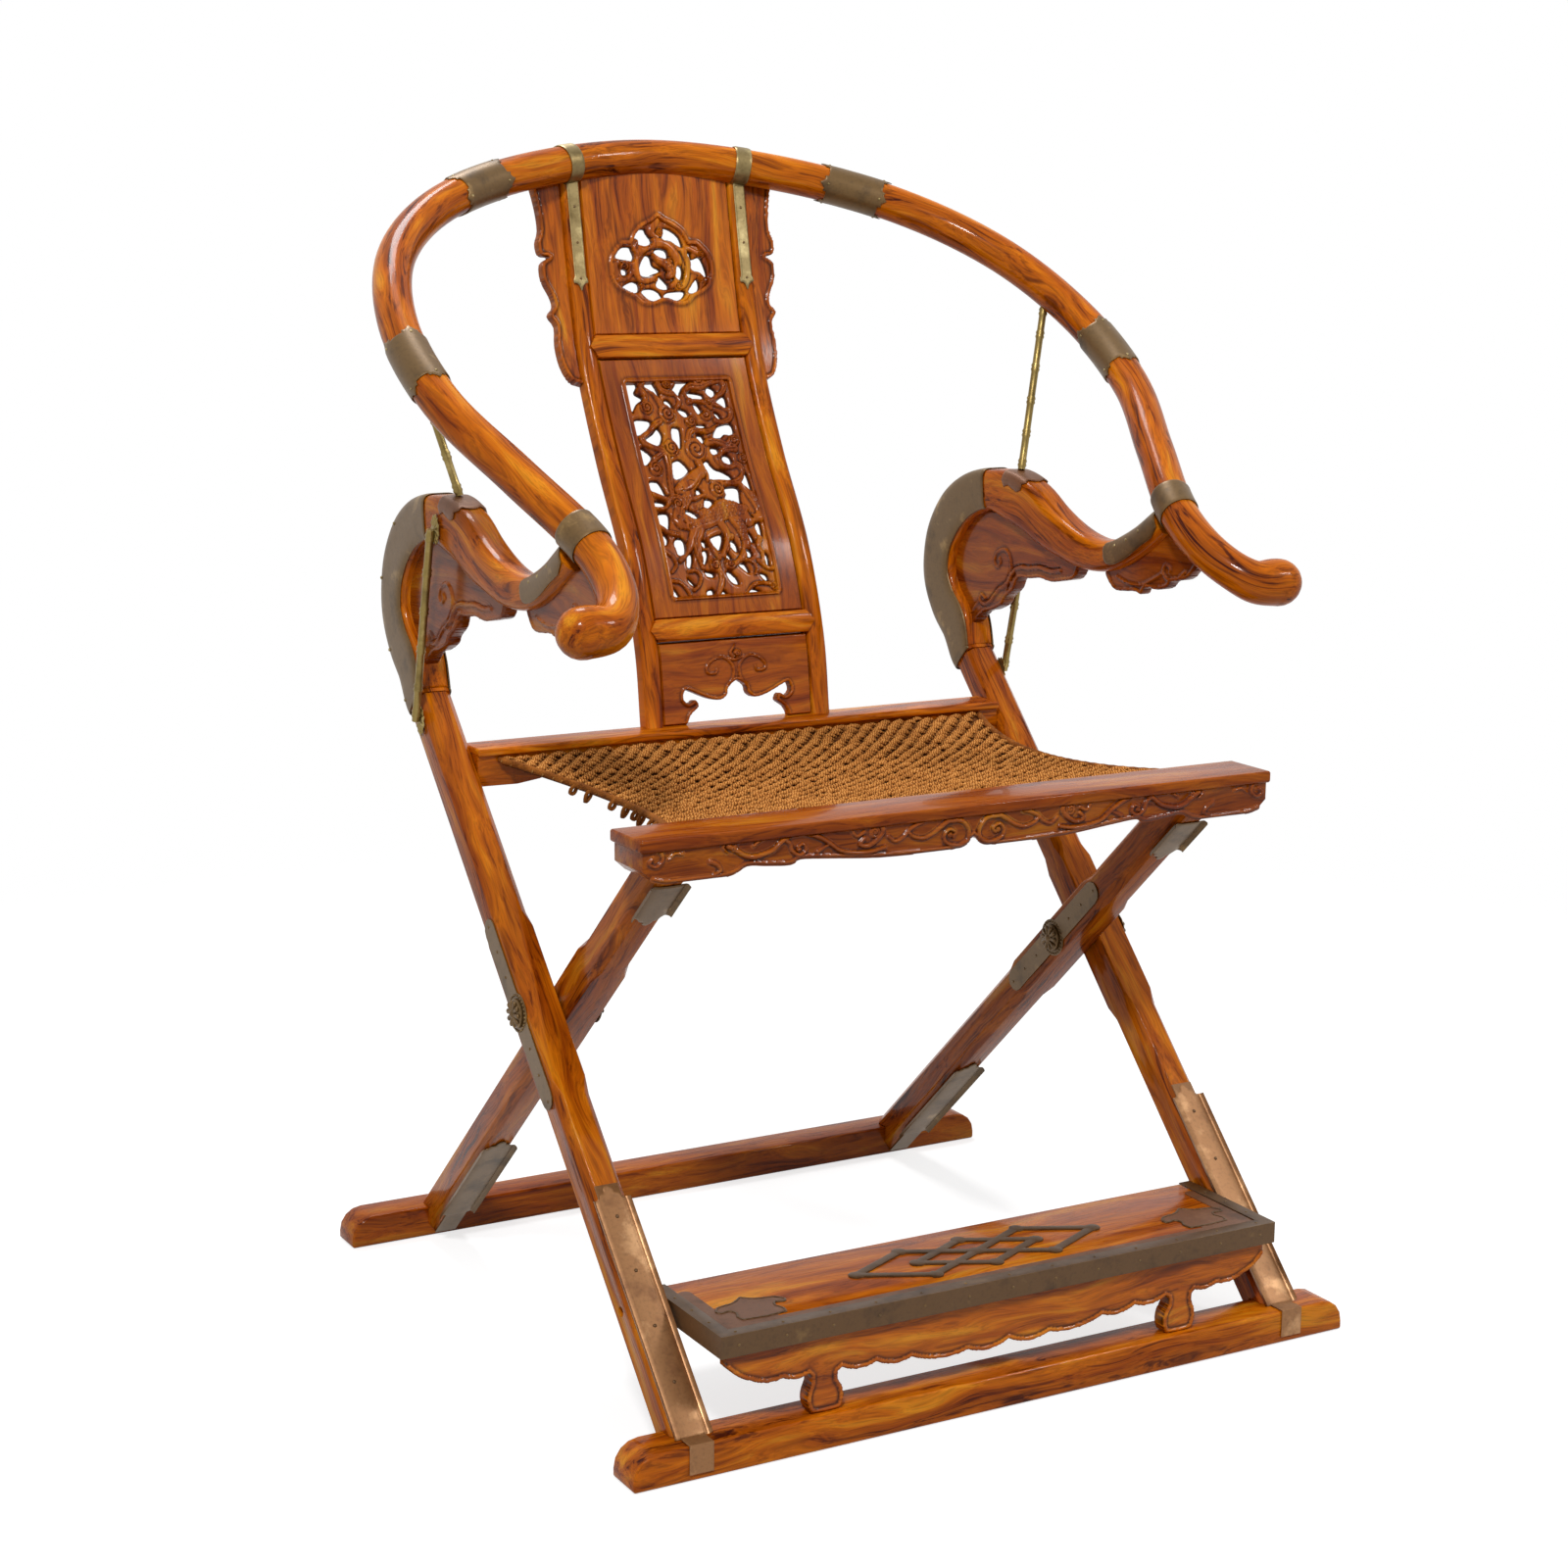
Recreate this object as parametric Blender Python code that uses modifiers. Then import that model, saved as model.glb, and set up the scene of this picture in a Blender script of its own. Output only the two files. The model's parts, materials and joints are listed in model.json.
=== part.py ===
"""Folding horseshoe chair: two crossed hardwood frames on a pin, a horseshoe arm rail,
a framed curved back, a woven rope seat and a hinged footrest with brass fittings.

Metres, +Z up. The sitter looks along -Y, and left and right are as seen from the front,
so left pieces lie at -X. The origin is on the floor under the middle of the chair.
"""

import math

import bmesh
import bpy
from mathutils import Matrix, Vector

# Clearances
FIT_GAP = 0.0003
KNOT_SPACING_SHARE = 0.05
CORNER_STEPS = 4
EYE_STEPS = 6
OVERRUN = 0.02
FLOOR_GAP = 0.0005

# Floor stretchers
BASE_HALF_LENGTH = 0.360
BASE_HEIGHT = 0.030
BASE_END_RADIUS = 0.022
FRONT_BASE_DEPTH = 0.0396
FRONT_BASE_FACE_Y = -0.352
REAR_BASE_DEPTH = 0.038
REAR_BASE_FACE_Y = 0.2641
BASE_EDGE = 0.002

# Crossed legs and the pin they turn on
PIVOT_Y = -0.0408
PIVOT_Z = 0.3112
OUTER_LEG_X = 0.300
OUTER_LEG_WIDTH = 0.033
OUTER_LEG_THICKNESS = 0.034
OUTER_LEG_ANGLE = math.radians(45.95)
OUTER_LEG_REACH = 0.330
INNER_LEG_X = 0.2635
INNER_LEG_WIDTH = 0.035
INNER_LEG_THICKNESS = 0.035
INNER_LEG_ANGLE = math.radians(42.9)
INNER_LEG_HOUSING = 0.012
LEG_CHAMFER = 0.0065
PIVOT_BLOCK_HALF = 0.076
PIVOT_BLOCK_CHAMFER = 0.0015
CHAMFER_RUN = 0.016

PIN_RADIUS = 0.005
PIN_CLEARANCE = 0.0004
PIN_HEAD_RADIUS = 0.013
PIN_HEAD_HEIGHT = 0.004
PIN_DOME_SHARE = 0.6
PIN_SIDES = 20
PIVOT_PLATE_LENGTH = 0.190
PIVOT_PLATE_WIDTH = 0.022
PIVOT_PLATE_EYE_RADIUS = 0.018
PIVOT_PLATE_THICKNESS = 0.0012

# Seat rails and rope seat
FRONT_RAIL_HALF_LENGTH = 0.3143
FRONT_RAIL_FACE_Y = -0.2752
FRONT_RAIL_DEPTH = 0.0573
FRONT_RAIL_TOP_Z = 0.5101
FRONT_RAIL_LIP = 0.0105
FRONT_RAIL_SETBACK = 0.003
FRONT_RAIL_APRON_DROP = 0.0265
FRONT_RAIL_EDGE_SHARES = (
    (0.0, 0.62), (0.05, 0.95), (0.12, 1.0), (0.30, 0.96), (0.45, 0.80), (0.54, 0.72),
    (0.57, 0.86), (0.64, 0.80), (0.70, 0.74), (0.76, 1.0), (0.92, 1.0), (0.97, 0.90), (1.0, 0.60),
)
REAR_RAIL_FACE_Y = 0.117
REAR_RAIL_DEPTH = 0.0394
REAR_RAIL_TOP_Z = 0.5145
REAR_RAIL_LIP = 0.0074
REAR_RAIL_SETBACK = 0.004
REAR_RAIL_APRON_DROP = 0.0285
REAR_RAIL_EDGE_SHARES = (
    (0.0, 0.66), (0.55, 0.68), (0.72, 0.74), (0.78, 0.90), (0.86, 1.0), (1.0, 0.98),
)
RAIL_EDGE = 0.0015

ROPE_SEAT_HALF_WIDTH = 0.264
ROPE_SEAT_WAIST = 0.037
ROPE_SEAT_THICKNESS = 0.009
ROPE_SEAT_SAG = 0.010
ROPE_SEAT_FRONT_DROP = 0.003
ROPE_SEAT_STATIONS = 8

# Horseshoe arm rail: shares of its spread and of its run from the tips to the back
ARM_RAIL_RADIUS = 0.0175
ARM_SPREAD = 0.358
ARM_FRONT_Y = -0.2350
ARM_BACK_Y = 0.3342
ARM_BACK_Z = 1.0459
ARM_SLOPE_SHARE = 0.655
ARM_PLAN_SHARES = (
    (0.0, 1.0), (0.361, 0.966), (0.679, 0.884), (0.897, 0.759), (0.998, 0.600), (0.996, 0.437),
    (0.910, 0.290), (0.831, 0.160), (0.829, 0.070), (0.885, 0.009), (0.964, 0.0),
)
ARM_LAST = len(ARM_PLAN_SHARES) - 1
ARM_STEPS = 5
ARM_RAIL_RESOLUTION = 4
SHOULDER_JOINT_SHARE = 1.64
ARM_JOINT_SHARE = 4.585
UPPER_SLEEVE_SHARES = (1.35, 1.93)
ARM_SLEEVE_SHARES = (4.22, 4.88)
BACK_RING_SHARES = (0.66, 0.78)
ARM_RING_SHARES = (6.76, 7.12)
ARM_KNOB_RADIUS = 0.0215
ARM_KNOB_START = 8.4
ARM_KNOB_TURNS = (25, 50, 70, 84)
BRASS_SHEET = 0.0012

# Curved bend and goose-neck above each outer leg: places from the pin, then their thickness
POST_THICKNESS_X = 0.033
BEND_PLACES = (
    (0.2489, 0.2704, 0.0480), (0.2699, 0.2914, 0.0490), (0.2834, 0.3164, 0.0490),
    (0.2829, 0.3424, 0.0490), (0.2744, 0.3639, 0.0490), (0.2554, 0.3864, 0.0480),
    (0.2279, 0.4034, 0.0440), (0.1945, 0.4123, 0.0410),
)
NECK_PLACES = (
    (0.1589, 0.4094, 0.0490), (0.1269, 0.4004, 0.0490),
    (0.0969, 0.3864, 0.0440), (0.0659, 0.3758, 0.0380), (0.0359, 0.3684, 0.0350),
    (0.0049, 0.3668, 0.0310), (-0.0261, 0.3728, 0.0285), (-0.0561, 0.3868, 0.0275),
    (-0.0881, 0.4079, 0.0275),
)
NECK_FRONT_THICKNESS_X = 0.028
ARM_STRAP_WIDTH = 0.018
ARM_STRAP_STATIONS = 4
BEND_START_RUN = 0.010
BEND_START_SWELL = 0.004
BEND_HOLLOW = 8
BEND_SQUARENESS_SHARE = 5.0
NECK_ROUND_SHARE = 2.2
POST_SIDES = 16

BEND_SPANDREL_THICKNESS = 0.012
BEND_SPANDREL_PLACES = (
    (0.0428, 0.3528), (0.0503, 0.3398), (0.0703, 0.3350), (0.0888, 0.3318), (0.1088, 0.3333),
    (0.1258, 0.3308), (0.1458, 0.3288), (0.1538, 0.3168), (0.1688, 0.3068), (0.1748, 0.2988),
    (0.1938, 0.2908), (0.2088, 0.2868), (0.2323, 0.2678), (0.2388, 0.2638), (0.2834, 0.3164),
    (0.2744, 0.3639), (0.2279, 0.4034), (0.1589, 0.4094), (0.0969, 0.3864), (0.0659, 0.3758),
)
ARM_SPANDREL_THICKNESS = 0.0096
ARM_SPANDREL_PLACES = (
    (0.0019, 0.3507), (-0.0117, 0.3380), (-0.0277, 0.3370), (-0.0466, 0.3389), (-0.0561, 0.3372),
    (-0.0636, 0.3442), (-0.0821, 0.3446), (-0.0957, 0.3481), (-0.1036, 0.3550), (-0.1223, 0.3586),
    (-0.1337, 0.3664), (-0.1450, 0.3800), (-0.1337, 0.4015), (-0.1200, 0.3990), (-0.1050, 0.3925),
    (-0.0960, 0.3950), (-0.0850, 0.4000), (-0.0561, 0.3868), (-0.0261, 0.3728), (0.0000, 0.3690),
)

# Rods between rail, neck and leg, placed from the pin
ROD_RADIUS = 0.0035
ROD_NODE_RADIUS = 0.0045
ROD_NODE_LENGTH = 0.004
ROD_NODE_SHARES = (0.30, 0.62)
ROD_SIDES = 10
UPPER_ROD_FOOT = (0.1538, 0.4356)
UPPER_ROD_RAIL_SHARE = 3.58
UPPER_ROD_PLATE_LENGTH = 0.040
UPPER_ROD_PLATE_WIDTH = 0.030
LOWER_ROD_TOP = (0.1673, 0.4048)
LOWER_ROD_BOTTOM = (0.2104, 0.2248)
LOWER_ROD_FLOWER_RADIUS = 0.009

# Curved back: shares of its height and of its rake, bottom to top
BACK_HALF_WIDTH = 0.1005
BACK_STILE_WIDTH = 0.0185
BACK_STILE_DEPTH = 0.016
BACK_FOOT_SETBACK = 0.022
BACK_TOP_FORWARD = 0.002
BACK_CURVE_SHARES = (
    (0.0, 0.0), (0.070, 0.1475), (0.248, 0.315), (0.523, 0.476), (0.754, 0.638), (0.867, 0.771),
    (1.0, 1.0),
)
BACK_CHORDS = 20
BACK_FOOT_RUN = 0.008
STILE_EDGE = 0.004
CROSS_RAIL_HEIGHT = 0.021
UPPER_CROSS_RAIL_DROP = 0.1735
LOWER_CROSS_RAIL_RISE = 0.0905
PANEL_THICKNESS = 0.008
PANEL_RECESS = 0.004
CARVING_SINK = 0.0015
WINDOW_HALF_WIDTH = 0.059
WINDOW_MARGIN_TOP = 0.021
WINDOW_MARGIN_BOTTOM = 0.018
MEDALLION_HALF_WIDTH = 0.0555
MEDALLION_HEIGHT = 0.085
MEDALLION_RISE = 0.030
MEDALLION_SHARES = (
    (0.0, 1.0), (0.22, 0.92), (0.48, 0.80), (0.58, 0.69), (0.85, 0.62), (1.0, 0.42), (0.92, 0.22),
    (0.66, 0.11), (0.56, 0.08), (0.32, 0.0), (0.08, 0.02),
)
ARCH_HALF_WIDTH = 0.0588
ARCH_HEIGHT = 0.0392
ARCH_SHARES = (
    (0.0, 1.0), (0.16, 0.85), (0.19, 0.67), (0.32, 0.55), (0.555, 0.615), (0.90, 0.84), (0.97, 0.825),
    (1.0, 0.645), (0.90, 0.52), (0.784, 0.60), (0.724, 0.43), (0.87, 0.26), (0.944, 0.03), (0.944, -0.4),
)
WING_WIDTH = 0.031
WING_THICKNESS = 0.009
WING_DROP = 0.206
WING_SHARES = (
    (1.0, 1.06), (1.0, 0.93), (0.84, 0.80), (0.80, 0.70), (0.93, 0.64), (0.86, 0.585), (0.56, 0.575),
    (0.84, 0.545), (0.84, 0.47), (0.62, 0.40), (0.56, 0.35), (0.76, 0.31), (0.56, 0.26),
    (0.62, 0.18), (0.56, 0.09), (0.34, 0.02), (-0.4, 0.0),
)
BACK_STRAP_WIDTH = 0.012
BACK_STRAP_DROP = 0.100

# Brass shoes on the feet of the legs
SHOE_WIDTH = 0.022
OUTER_SHOE_LENGTH = 0.228
OUTER_SHOE_DROP = 0.024
INNER_SHOE_LENGTH = 0.160

# Footrest
FOOTREST_HALF_LENGTH = 0.2804
FOOTREST_FACE_Y = -0.3484
FOOTREST_DEPTH = 0.1249
FOOTREST_TOP_Z = 0.1156
FOOTREST_THICKNESS = 0.0192
FOOTREST_STRIP = 0.013
FOOTREST_PIN_Y = -0.2400
FOOTREST_PIN_Z = 0.1060
FOOTREST_PIN_RADIUS = 0.004
FOOTREST_PIN_INSET = 0.018
FOOTREST_PIN_SIDES = 12
APRON_SETBACK = 0.004
APRON_THICKNESS = 0.014
APRON_HALF_LENGTH = 0.272
APRON_EDGE_SHARES = (
    (0.0, 0.58), (0.06, 0.64), (0.17, 0.66), (0.30, 0.60), (0.40, 0.51), (0.43, 0.56),
    (0.54, 0.47), (0.585, 0.46), (0.62, 0.56), (0.615, 0.72), (0.595, 0.86), (0.60, 1.0),
    (0.705, 1.0), (0.725, 0.86), (0.70, 0.72), (0.69, 0.56), (0.72, 0.46), (0.78, 0.49),
    (0.80, 0.44), (0.88, 0.46), (0.92, 0.40), (0.97, 0.34), (1.0, 0.16),
)

# Finishes: linear colour, roughness, metallic
ROSEWOOD = ("oiled_rosewood", (0.37, 0.13, 0.03), 0.28, 0.0)
PANEL_WOOD = ("carved_panel_rosewood", (0.28, 0.08, 0.02), 0.30, 0.0)
BRASS = ("aged_brass", (0.22, 0.17, 0.08), 0.42, 1.0)
BRIGHT_BRASS = ("rubbed_brass", (0.55, 0.40, 0.14), 0.32, 1.0)
STEEL = ("iron_pin", (0.30, 0.28, 0.25), 0.45, 1.0)
ROPE = ("twisted_rope", (0.33, 0.20, 0.08), 0.85, 0.0)

for stale in list(bpy.data.objects):
    bpy.data.objects.remove(stale, do_unlink=True)

PARTS = bpy.data.collections.new("folding_horseshoe_chair")
CUTTERS = bpy.data.collections.new("cutters")
for group in (PARTS, CUTTERS):
    bpy.context.scene.collection.children.link(group)

SIDES = (("left", -1), ("right", 1))

# World axes of a drawing that stands across the chair, along it, or lies flat
ALONG = Matrix(((0, 0, 1), (1, 0, 0), (0, 1, 0))).to_4x4()
ACROSS = Matrix(((1, 0, 0), (0, 0, -1), (0, 1, 0))).to_4x4()
FLAT = Matrix.Identity(4)


# Frames: the empties that carry the pieces
def empty(name, place):
    holder = bpy.data.objects.new(name, None)
    holder.location = place
    PARTS.objects.link(holder)
    return holder


OUTER = empty("outer_frame_origin", (0, 0, 0))
INNER = empty("inner_frame_pivot", (0, PIVOT_Y, PIVOT_Z))
FOOTREST = empty("footrest_hinge", (0, FOOTREST_PIN_Y, FOOTREST_PIN_Z))


# Building blocks
def finish_of(spec):
    name, colour, roughness, metallic = spec
    found = bpy.data.materials.get(name)
    if found:
        return found
    made = bpy.data.materials.new(name)
    made.use_nodes = True
    shader = made.node_tree.nodes["Principled BSDF"]
    shader.inputs["Base Color"].default_value = (*colour, 1)
    shader.inputs["Roughness"].default_value = roughness
    shader.inputs["Metallic"].default_value = metallic
    return made


def place_mesh(name, mesh, matrix=FLAT):
    piece = bpy.data.objects.new(name, mesh)
    piece.matrix_world = matrix
    return piece


def part(piece, holder, spec):
    """Puts a piece in the chair's collection under the empty that carries it."""
    PARTS.objects.link(piece)
    home = piece.matrix_world.copy()
    piece.parent = holder
    piece.matrix_parent_inverse = Matrix.Translation(-holder.location)
    piece.matrix_basis = home
    piece.data.materials.clear()
    piece.data.materials.append(finish_of(spec))
    piece.data.shade_smooth()
    piece.data.set_sharp_from_angle(angle=math.radians(35))
    return piece


def cutter(piece):
    CUTTERS.objects.link(piece)
    piece.hide_render = True
    piece.display_type = "WIRE"
    return piece


def combine(piece, other, operation):
    modifier = piece.modifiers.new(operation.lower(), "BOOLEAN")
    modifier.operation = operation
    modifier.object = other
    return piece


def cut(piece, *others):
    for other in others:
        combine(piece, other, "DIFFERENCE")
    return piece


def join(piece, *others):
    for other in others:
        combine(piece, other, "UNION")
    return piece


def soften(piece, width, segments=1, limit=math.radians(50)):
    bevel = piece.modifiers.new("edges", "BEVEL")
    bevel.width = width
    bevel.segments = segments
    bevel.limit_method = "ANGLE"
    bevel.angle_limit = limit
    return piece


def mesh_of_curve(data, matrix=FLAT):
    """A curve's evaluated mesh, with its caps welded to its sides."""
    guide = bpy.data.objects.new("guide", data)
    bpy.context.scene.collection.objects.link(guide)
    bpy.context.view_layer.update()
    mesh = bpy.data.meshes.new_from_object(guide.evaluated_get(bpy.context.evaluated_depsgraph_get()))
    bpy.data.objects.remove(guide, do_unlink=True)
    shape = bmesh.new()
    shape.from_mesh(mesh)
    bmesh.ops.remove_doubles(shape, verts=shape.verts, dist=FIT_GAP / 10)
    bmesh.ops.recalc_face_normals(shape, faces=shape.faces)
    shape.to_mesh(mesh)
    shape.free()
    mesh.transform(matrix)
    return mesh


def slab(name, outline, low, high, axes):
    """A flat outline given thickness from low to high along the axis it faces."""
    data = bpy.data.curves.new(name, "CURVE")
    data.dimensions = "2D"
    data.fill_mode = "BOTH"
    data.extrude = abs(high - low) / 2
    spline = data.splines.new("POLY")
    spline.points.add(len(outline) - 1)
    for point, (across, up) in zip(spline.points, outline):
        point.co = (across, up, 0, 1)
    spline.use_cyclic_u = True
    middle = (high + low) / 2
    shift = {id(ALONG): (middle, 0, 0), id(ACROSS): (0, middle, 0), id(FLAT): (0, 0, middle)}
    return place_mesh(name, mesh_of_curve(data, Matrix.Translation(shift[id(axes)]) @ axes))


def block(name, low, high):
    shape = bmesh.new()
    size = [b - a for a, b in zip(low, high)]
    middle = [(a + b) / 2 for a, b in zip(low, high)]
    bmesh.ops.create_cube(shape, size=1, matrix=Matrix.Translation(middle) @ Matrix.Diagonal((*size, 1)))
    mesh = bpy.data.meshes.new(name)
    shape.to_mesh(mesh)
    shape.free()
    return place_mesh(name, mesh)


def tube(name, points, radius, resolution, swell=None):
    data = bpy.data.curves.new(name, "CURVE")
    data.dimensions = "3D"
    data.twist_mode = "Z_UP"
    data.bevel_depth = radius
    data.bevel_resolution = resolution
    data.use_fill_caps = True
    spline = data.splines.new("POLY")
    spline.points.add(len(points) - 1)
    for number, place in enumerate(points):
        spline.points[number].co = (*place, 1)
        spline.points[number].radius = swell[number] if swell else 1
    return place_mesh(name, mesh_of_curve(data))


def pin(name, radius, low_x, high_x, y, z, sides=PIN_SIDES):
    shape = bmesh.new()
    turn = Matrix.Translation(((low_x + high_x) / 2, y, z)) @ Matrix.Rotation(math.pi / 2, 4, "Y")
    bmesh.ops.create_cone(
        shape, cap_ends=True, segments=sides, radius1=radius, radius2=radius,
        depth=high_x - low_x, matrix=turn,
    )
    mesh = bpy.data.meshes.new(name)
    shape.to_mesh(mesh)
    shape.free()
    return place_mesh(name, mesh)


def loft(name, rings):
    """A closed skin through rings of equal count, for sections that change along the piece."""
    shape = bmesh.new()
    rows = [[shape.verts.new(place) for place in ring] for ring in rings]
    for near, far in zip(rows, rows[1:]):
        for number in range(len(near)):
            after = (number + 1) % len(near)
            shape.faces.new((near[number], near[after], far[after], far[number]))
    shape.faces.new(rows[0])
    shape.faces.new(rows[-1])
    bmesh.ops.recalc_face_normals(shape, faces=shape.faces)
    mesh = bpy.data.meshes.new(name)
    shape.to_mesh(mesh)
    shape.free()
    return place_mesh(name, mesh)


def turned(name, profile, start, end, sides):
    """A profile of (radius, distance) pairs turned about the line from start to end."""
    mesh = bpy.data.meshes.new(name)
    places = [(radius, 0, distance) for radius, distance in reversed(profile)]
    mesh.from_pydata(places, [(n, n + 1) for n in range(len(places) - 1)], [])
    aim = (Vector(end) - Vector(start)).to_track_quat("Z", "Y").to_matrix().to_4x4()
    piece = place_mesh(name, mesh, Matrix.Translation(start) @ aim)
    screw = piece.modifiers.new("turn", "SCREW")
    screw.steps = sides
    screw.render_steps = sides
    screw.use_merge_vertices = True
    screw.merge_threshold = FIT_GAP / 10
    return piece


def offset_path(path, distance):
    """A path moved sideways, to the left of its direction, with its corners mitred."""
    moved = []
    last = len(path) - 1
    for number, place in enumerate(path):
        before = (Vector(place) - Vector(path[max(number - 1, 0)])) if number else None
        after = (Vector(path[min(number + 1, last)]) - Vector(place)) if number < last else None
        normals = [Vector((-step.y, step.x)).normalized() for step in (before, after) if step]
        mean = sum(normals, Vector((0, 0))).normalized()
        moved.append(tuple(Vector(place) + mean * distance / mean.dot(normals[0])))
    return moved


def band(path, near, far):
    return offset_path(path, near) + offset_path(path, far)[::-1]


def smooth(points, place):
    """A point on the smooth curve through evenly counted points."""
    last = len(points) - 1
    start = min(max(int(math.floor(place)), 0), last - 1)
    share = place - start
    first, second = Vector(points[start]), Vector(points[start + 1])
    before = Vector(points[start - 1]) if start else 2 * first - second
    after = Vector(points[start + 2]) if start + 2 <= last else 2 * second - first
    return 0.5 * (
        2 * first + (second - before) * share
        + (2 * before - 5 * first + 4 * second - after) * share**2
        + (3 * first - before - 3 * second + after) * share**3
    )


def rounded_square(middle, along, half_across, half_x, power, side, sides=POST_SIDES):
    """A section of a post: near square at a high power and round at two."""
    normal = Vector((0, -along.y, along.x))
    ring = []
    for number in range(sides):
        turn = 2 * math.pi * (number + 0.5) / sides
        wide = math.copysign(abs(math.cos(turn)) ** (2 / power), math.cos(turn))
        tall = math.copysign(abs(math.sin(turn)) ** (2 / power), math.sin(turn))
        ring.append(Vector(middle) + Vector((side * wide * half_x, 0, 0)) + normal * tall * half_across)
    return ring


# The horseshoe rail's line
def arm_control(number):
    wide, run = ARM_PLAN_SHARES[abs(number)]
    y = ARM_FRONT_Y + run * (ARM_BACK_Y - ARM_FRONT_Y)
    z = ARM_BACK_Z + ARM_SLOPE_SHARE * (y - ARM_BACK_Y)
    return (math.copysign(wide * ARM_SPREAD, number), y, z)


ARM_CONTROLS = [arm_control(number) for number in range(-ARM_LAST, ARM_LAST + 1)]


ARM_LINE = [smooth(ARM_CONTROLS, number / ARM_STEPS) for number in range(2 * ARM_LAST * ARM_STEPS + 1)]


def arm_point(place):
    """The rail's centre, where place counts control points from the middle of the back.

    Every length of rail and every sleeve follows the same chords, so that they nest.
    """
    along = (place + ARM_LAST) * ARM_STEPS
    start = min(max(int(math.floor(along)), 0), len(ARM_LINE) - 2)
    return ARM_LINE[start].lerp(ARM_LINE[start + 1], along - start)


def arm_places(start, end):
    inside = [n / ARM_STEPS for n in range(-ARM_LAST * ARM_STEPS, ARM_LAST * ARM_STEPS + 1)]
    close = KNOT_SPACING_SHARE / ARM_STEPS
    return [start] + [n for n in inside if start + close < n < end - close] + [end]


def arm_tube(name, start, end, radius):
    return tube(name, [arm_point(n) for n in arm_places(start, end)], radius, ARM_RAIL_RESOLUTION)


def trimmed(start, end):
    """The same stretch, shortened where it meets a neighbour by half the gap between them."""
    trim = FIT_GAP * ARM_LAST / ARM_SPREAD / 4
    moved = ((start, trim), (end, -trim))
    return tuple(place if abs(place) == ARM_LAST else place + step for place, step in moved)


RAIL_SPACE = cutter(arm_tube("arm_rail_space", -ARM_LAST, ARM_LAST, ARM_RAIL_RADIUS + FIT_GAP))


# Lines of the legs
def outer_leg_point(distance, across=0.0):
    """A point (y, z) on the outer leg: distance up from the pin, across towards its front face."""
    lean = Vector((math.cos(OUTER_LEG_ANGLE), math.sin(OUTER_LEG_ANGLE)))
    return Vector((PIVOT_Y, PIVOT_Z)) + lean * distance + Vector((-lean.y, lean.x)) * across


def inner_leg_point(distance, across=0.0):
    """A point (y, z) on the inner leg: distance up from the pin, across towards its rear face."""
    lean = Vector((-math.cos(INNER_LEG_ANGLE), math.sin(INNER_LEG_ANGLE)))
    return Vector((PIVOT_Y, PIVOT_Z)) + lean * distance + Vector((lean.y, -lean.x)) * across


def leg_rings(point, x, width, thickness, low, high):
    """Eight-sided sections, slim and chamfered, with a full square block about the pin."""
    block_end = PIVOT_BLOCK_HALF
    run = CHAMFER_RUN
    stations = (
        (low, 0), (-block_end - run, 0), (-block_end, 1), (block_end, 1), (block_end + run, 0), (high, 0),
    )
    rings = []
    for distance, square in stations:
        chamfer = PIVOT_BLOCK_CHAMFER if square else LEG_CHAMFER
        half_x, half = width / 2, thickness / 2
        corners = (
            (half_x, half - chamfer), (half_x - chamfer, half), (chamfer - half_x, half),
            (-half_x, half - chamfer), (-half_x, chamfer - half), (chamfer - half_x, -half),
            (half_x - chamfer, -half), (half_x, chamfer - half),
        )
        rings.append([(x + dx, *point(distance, across)) for dx, across in corners])
    return rings


def from_pin(place):
    return (PIVOT_Y + place[0], PIVOT_Z + place[1])


# Floor stretchers
def base_outline():
    corner = BASE_END_RADIUS
    half = [(0, 0), (BASE_HALF_LENGTH, 0)]
    for number in range(CORNER_STEPS + 1):
        turn = math.pi / 2 * number / CORNER_STEPS
        half.append((
            BASE_HALF_LENGTH - corner + corner * math.cos(turn),
            BASE_HEIGHT - corner + corner * math.sin(turn),
        ))
    return half


def build_base(name, face_y, depth, holder):
    half = base_outline()
    outline = half[1:] + [(-x, z) for x, z in reversed(half[1:])]
    piece = slab(name, outline, face_y, face_y + depth, ACROSS)
    return part(soften(piece, BASE_EDGE), holder, ROSEWOOD)


def base_space(name, face_y, depth):
    far = BASE_HALF_LENGTH + OVERRUN
    return cutter(block(
        name,
        (-far, face_y - FIT_GAP, -OVERRUN),
        (far, face_y + depth + FIT_GAP, BASE_HEIGHT + FIT_GAP),
    ))


build_base("front_floor_stretcher", FRONT_BASE_FACE_Y, FRONT_BASE_DEPTH, OUTER)
build_base("rear_floor_stretcher", REAR_BASE_FACE_Y, REAR_BASE_DEPTH, INNER)
FRONT_BASE_SPACE = base_space("front_stretcher_space", FRONT_BASE_FACE_Y, FRONT_BASE_DEPTH)
REAR_BASE_SPACE = base_space("rear_stretcher_space", REAR_BASE_FACE_Y, REAR_BASE_DEPTH)
HOUSING_Z = FRONT_RAIL_TOP_Z - FRONT_RAIL_LIP - INNER_LEG_HOUSING
FAR = BASE_HALF_LENGTH * 2
FLOOR = cutter(block("floor_space", (-FAR, -FAR, -FAR), (FAR, FAR, FLOOR_GAP)))
FRONT_TRIM = cutter(block(
    "front_face_trim", (-FAR, -FAR, -OVERRUN), (FAR, FRONT_BASE_FACE_Y, BASE_HEIGHT * 2),
))
REAR_TRIM = cutter(block(
    "rear_face_trim", (-FAR, REAR_BASE_FACE_Y + REAR_BASE_DEPTH / 2, -OVERRUN), (FAR, FAR, BASE_HEIGHT),
))
SEAT_TRIM = cutter(block(
    "inner_leg_top_trim", (-FAR, -FAR, HOUSING_Z - FIT_GAP), (FAR, 0, ARM_BACK_Z),
))


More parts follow.
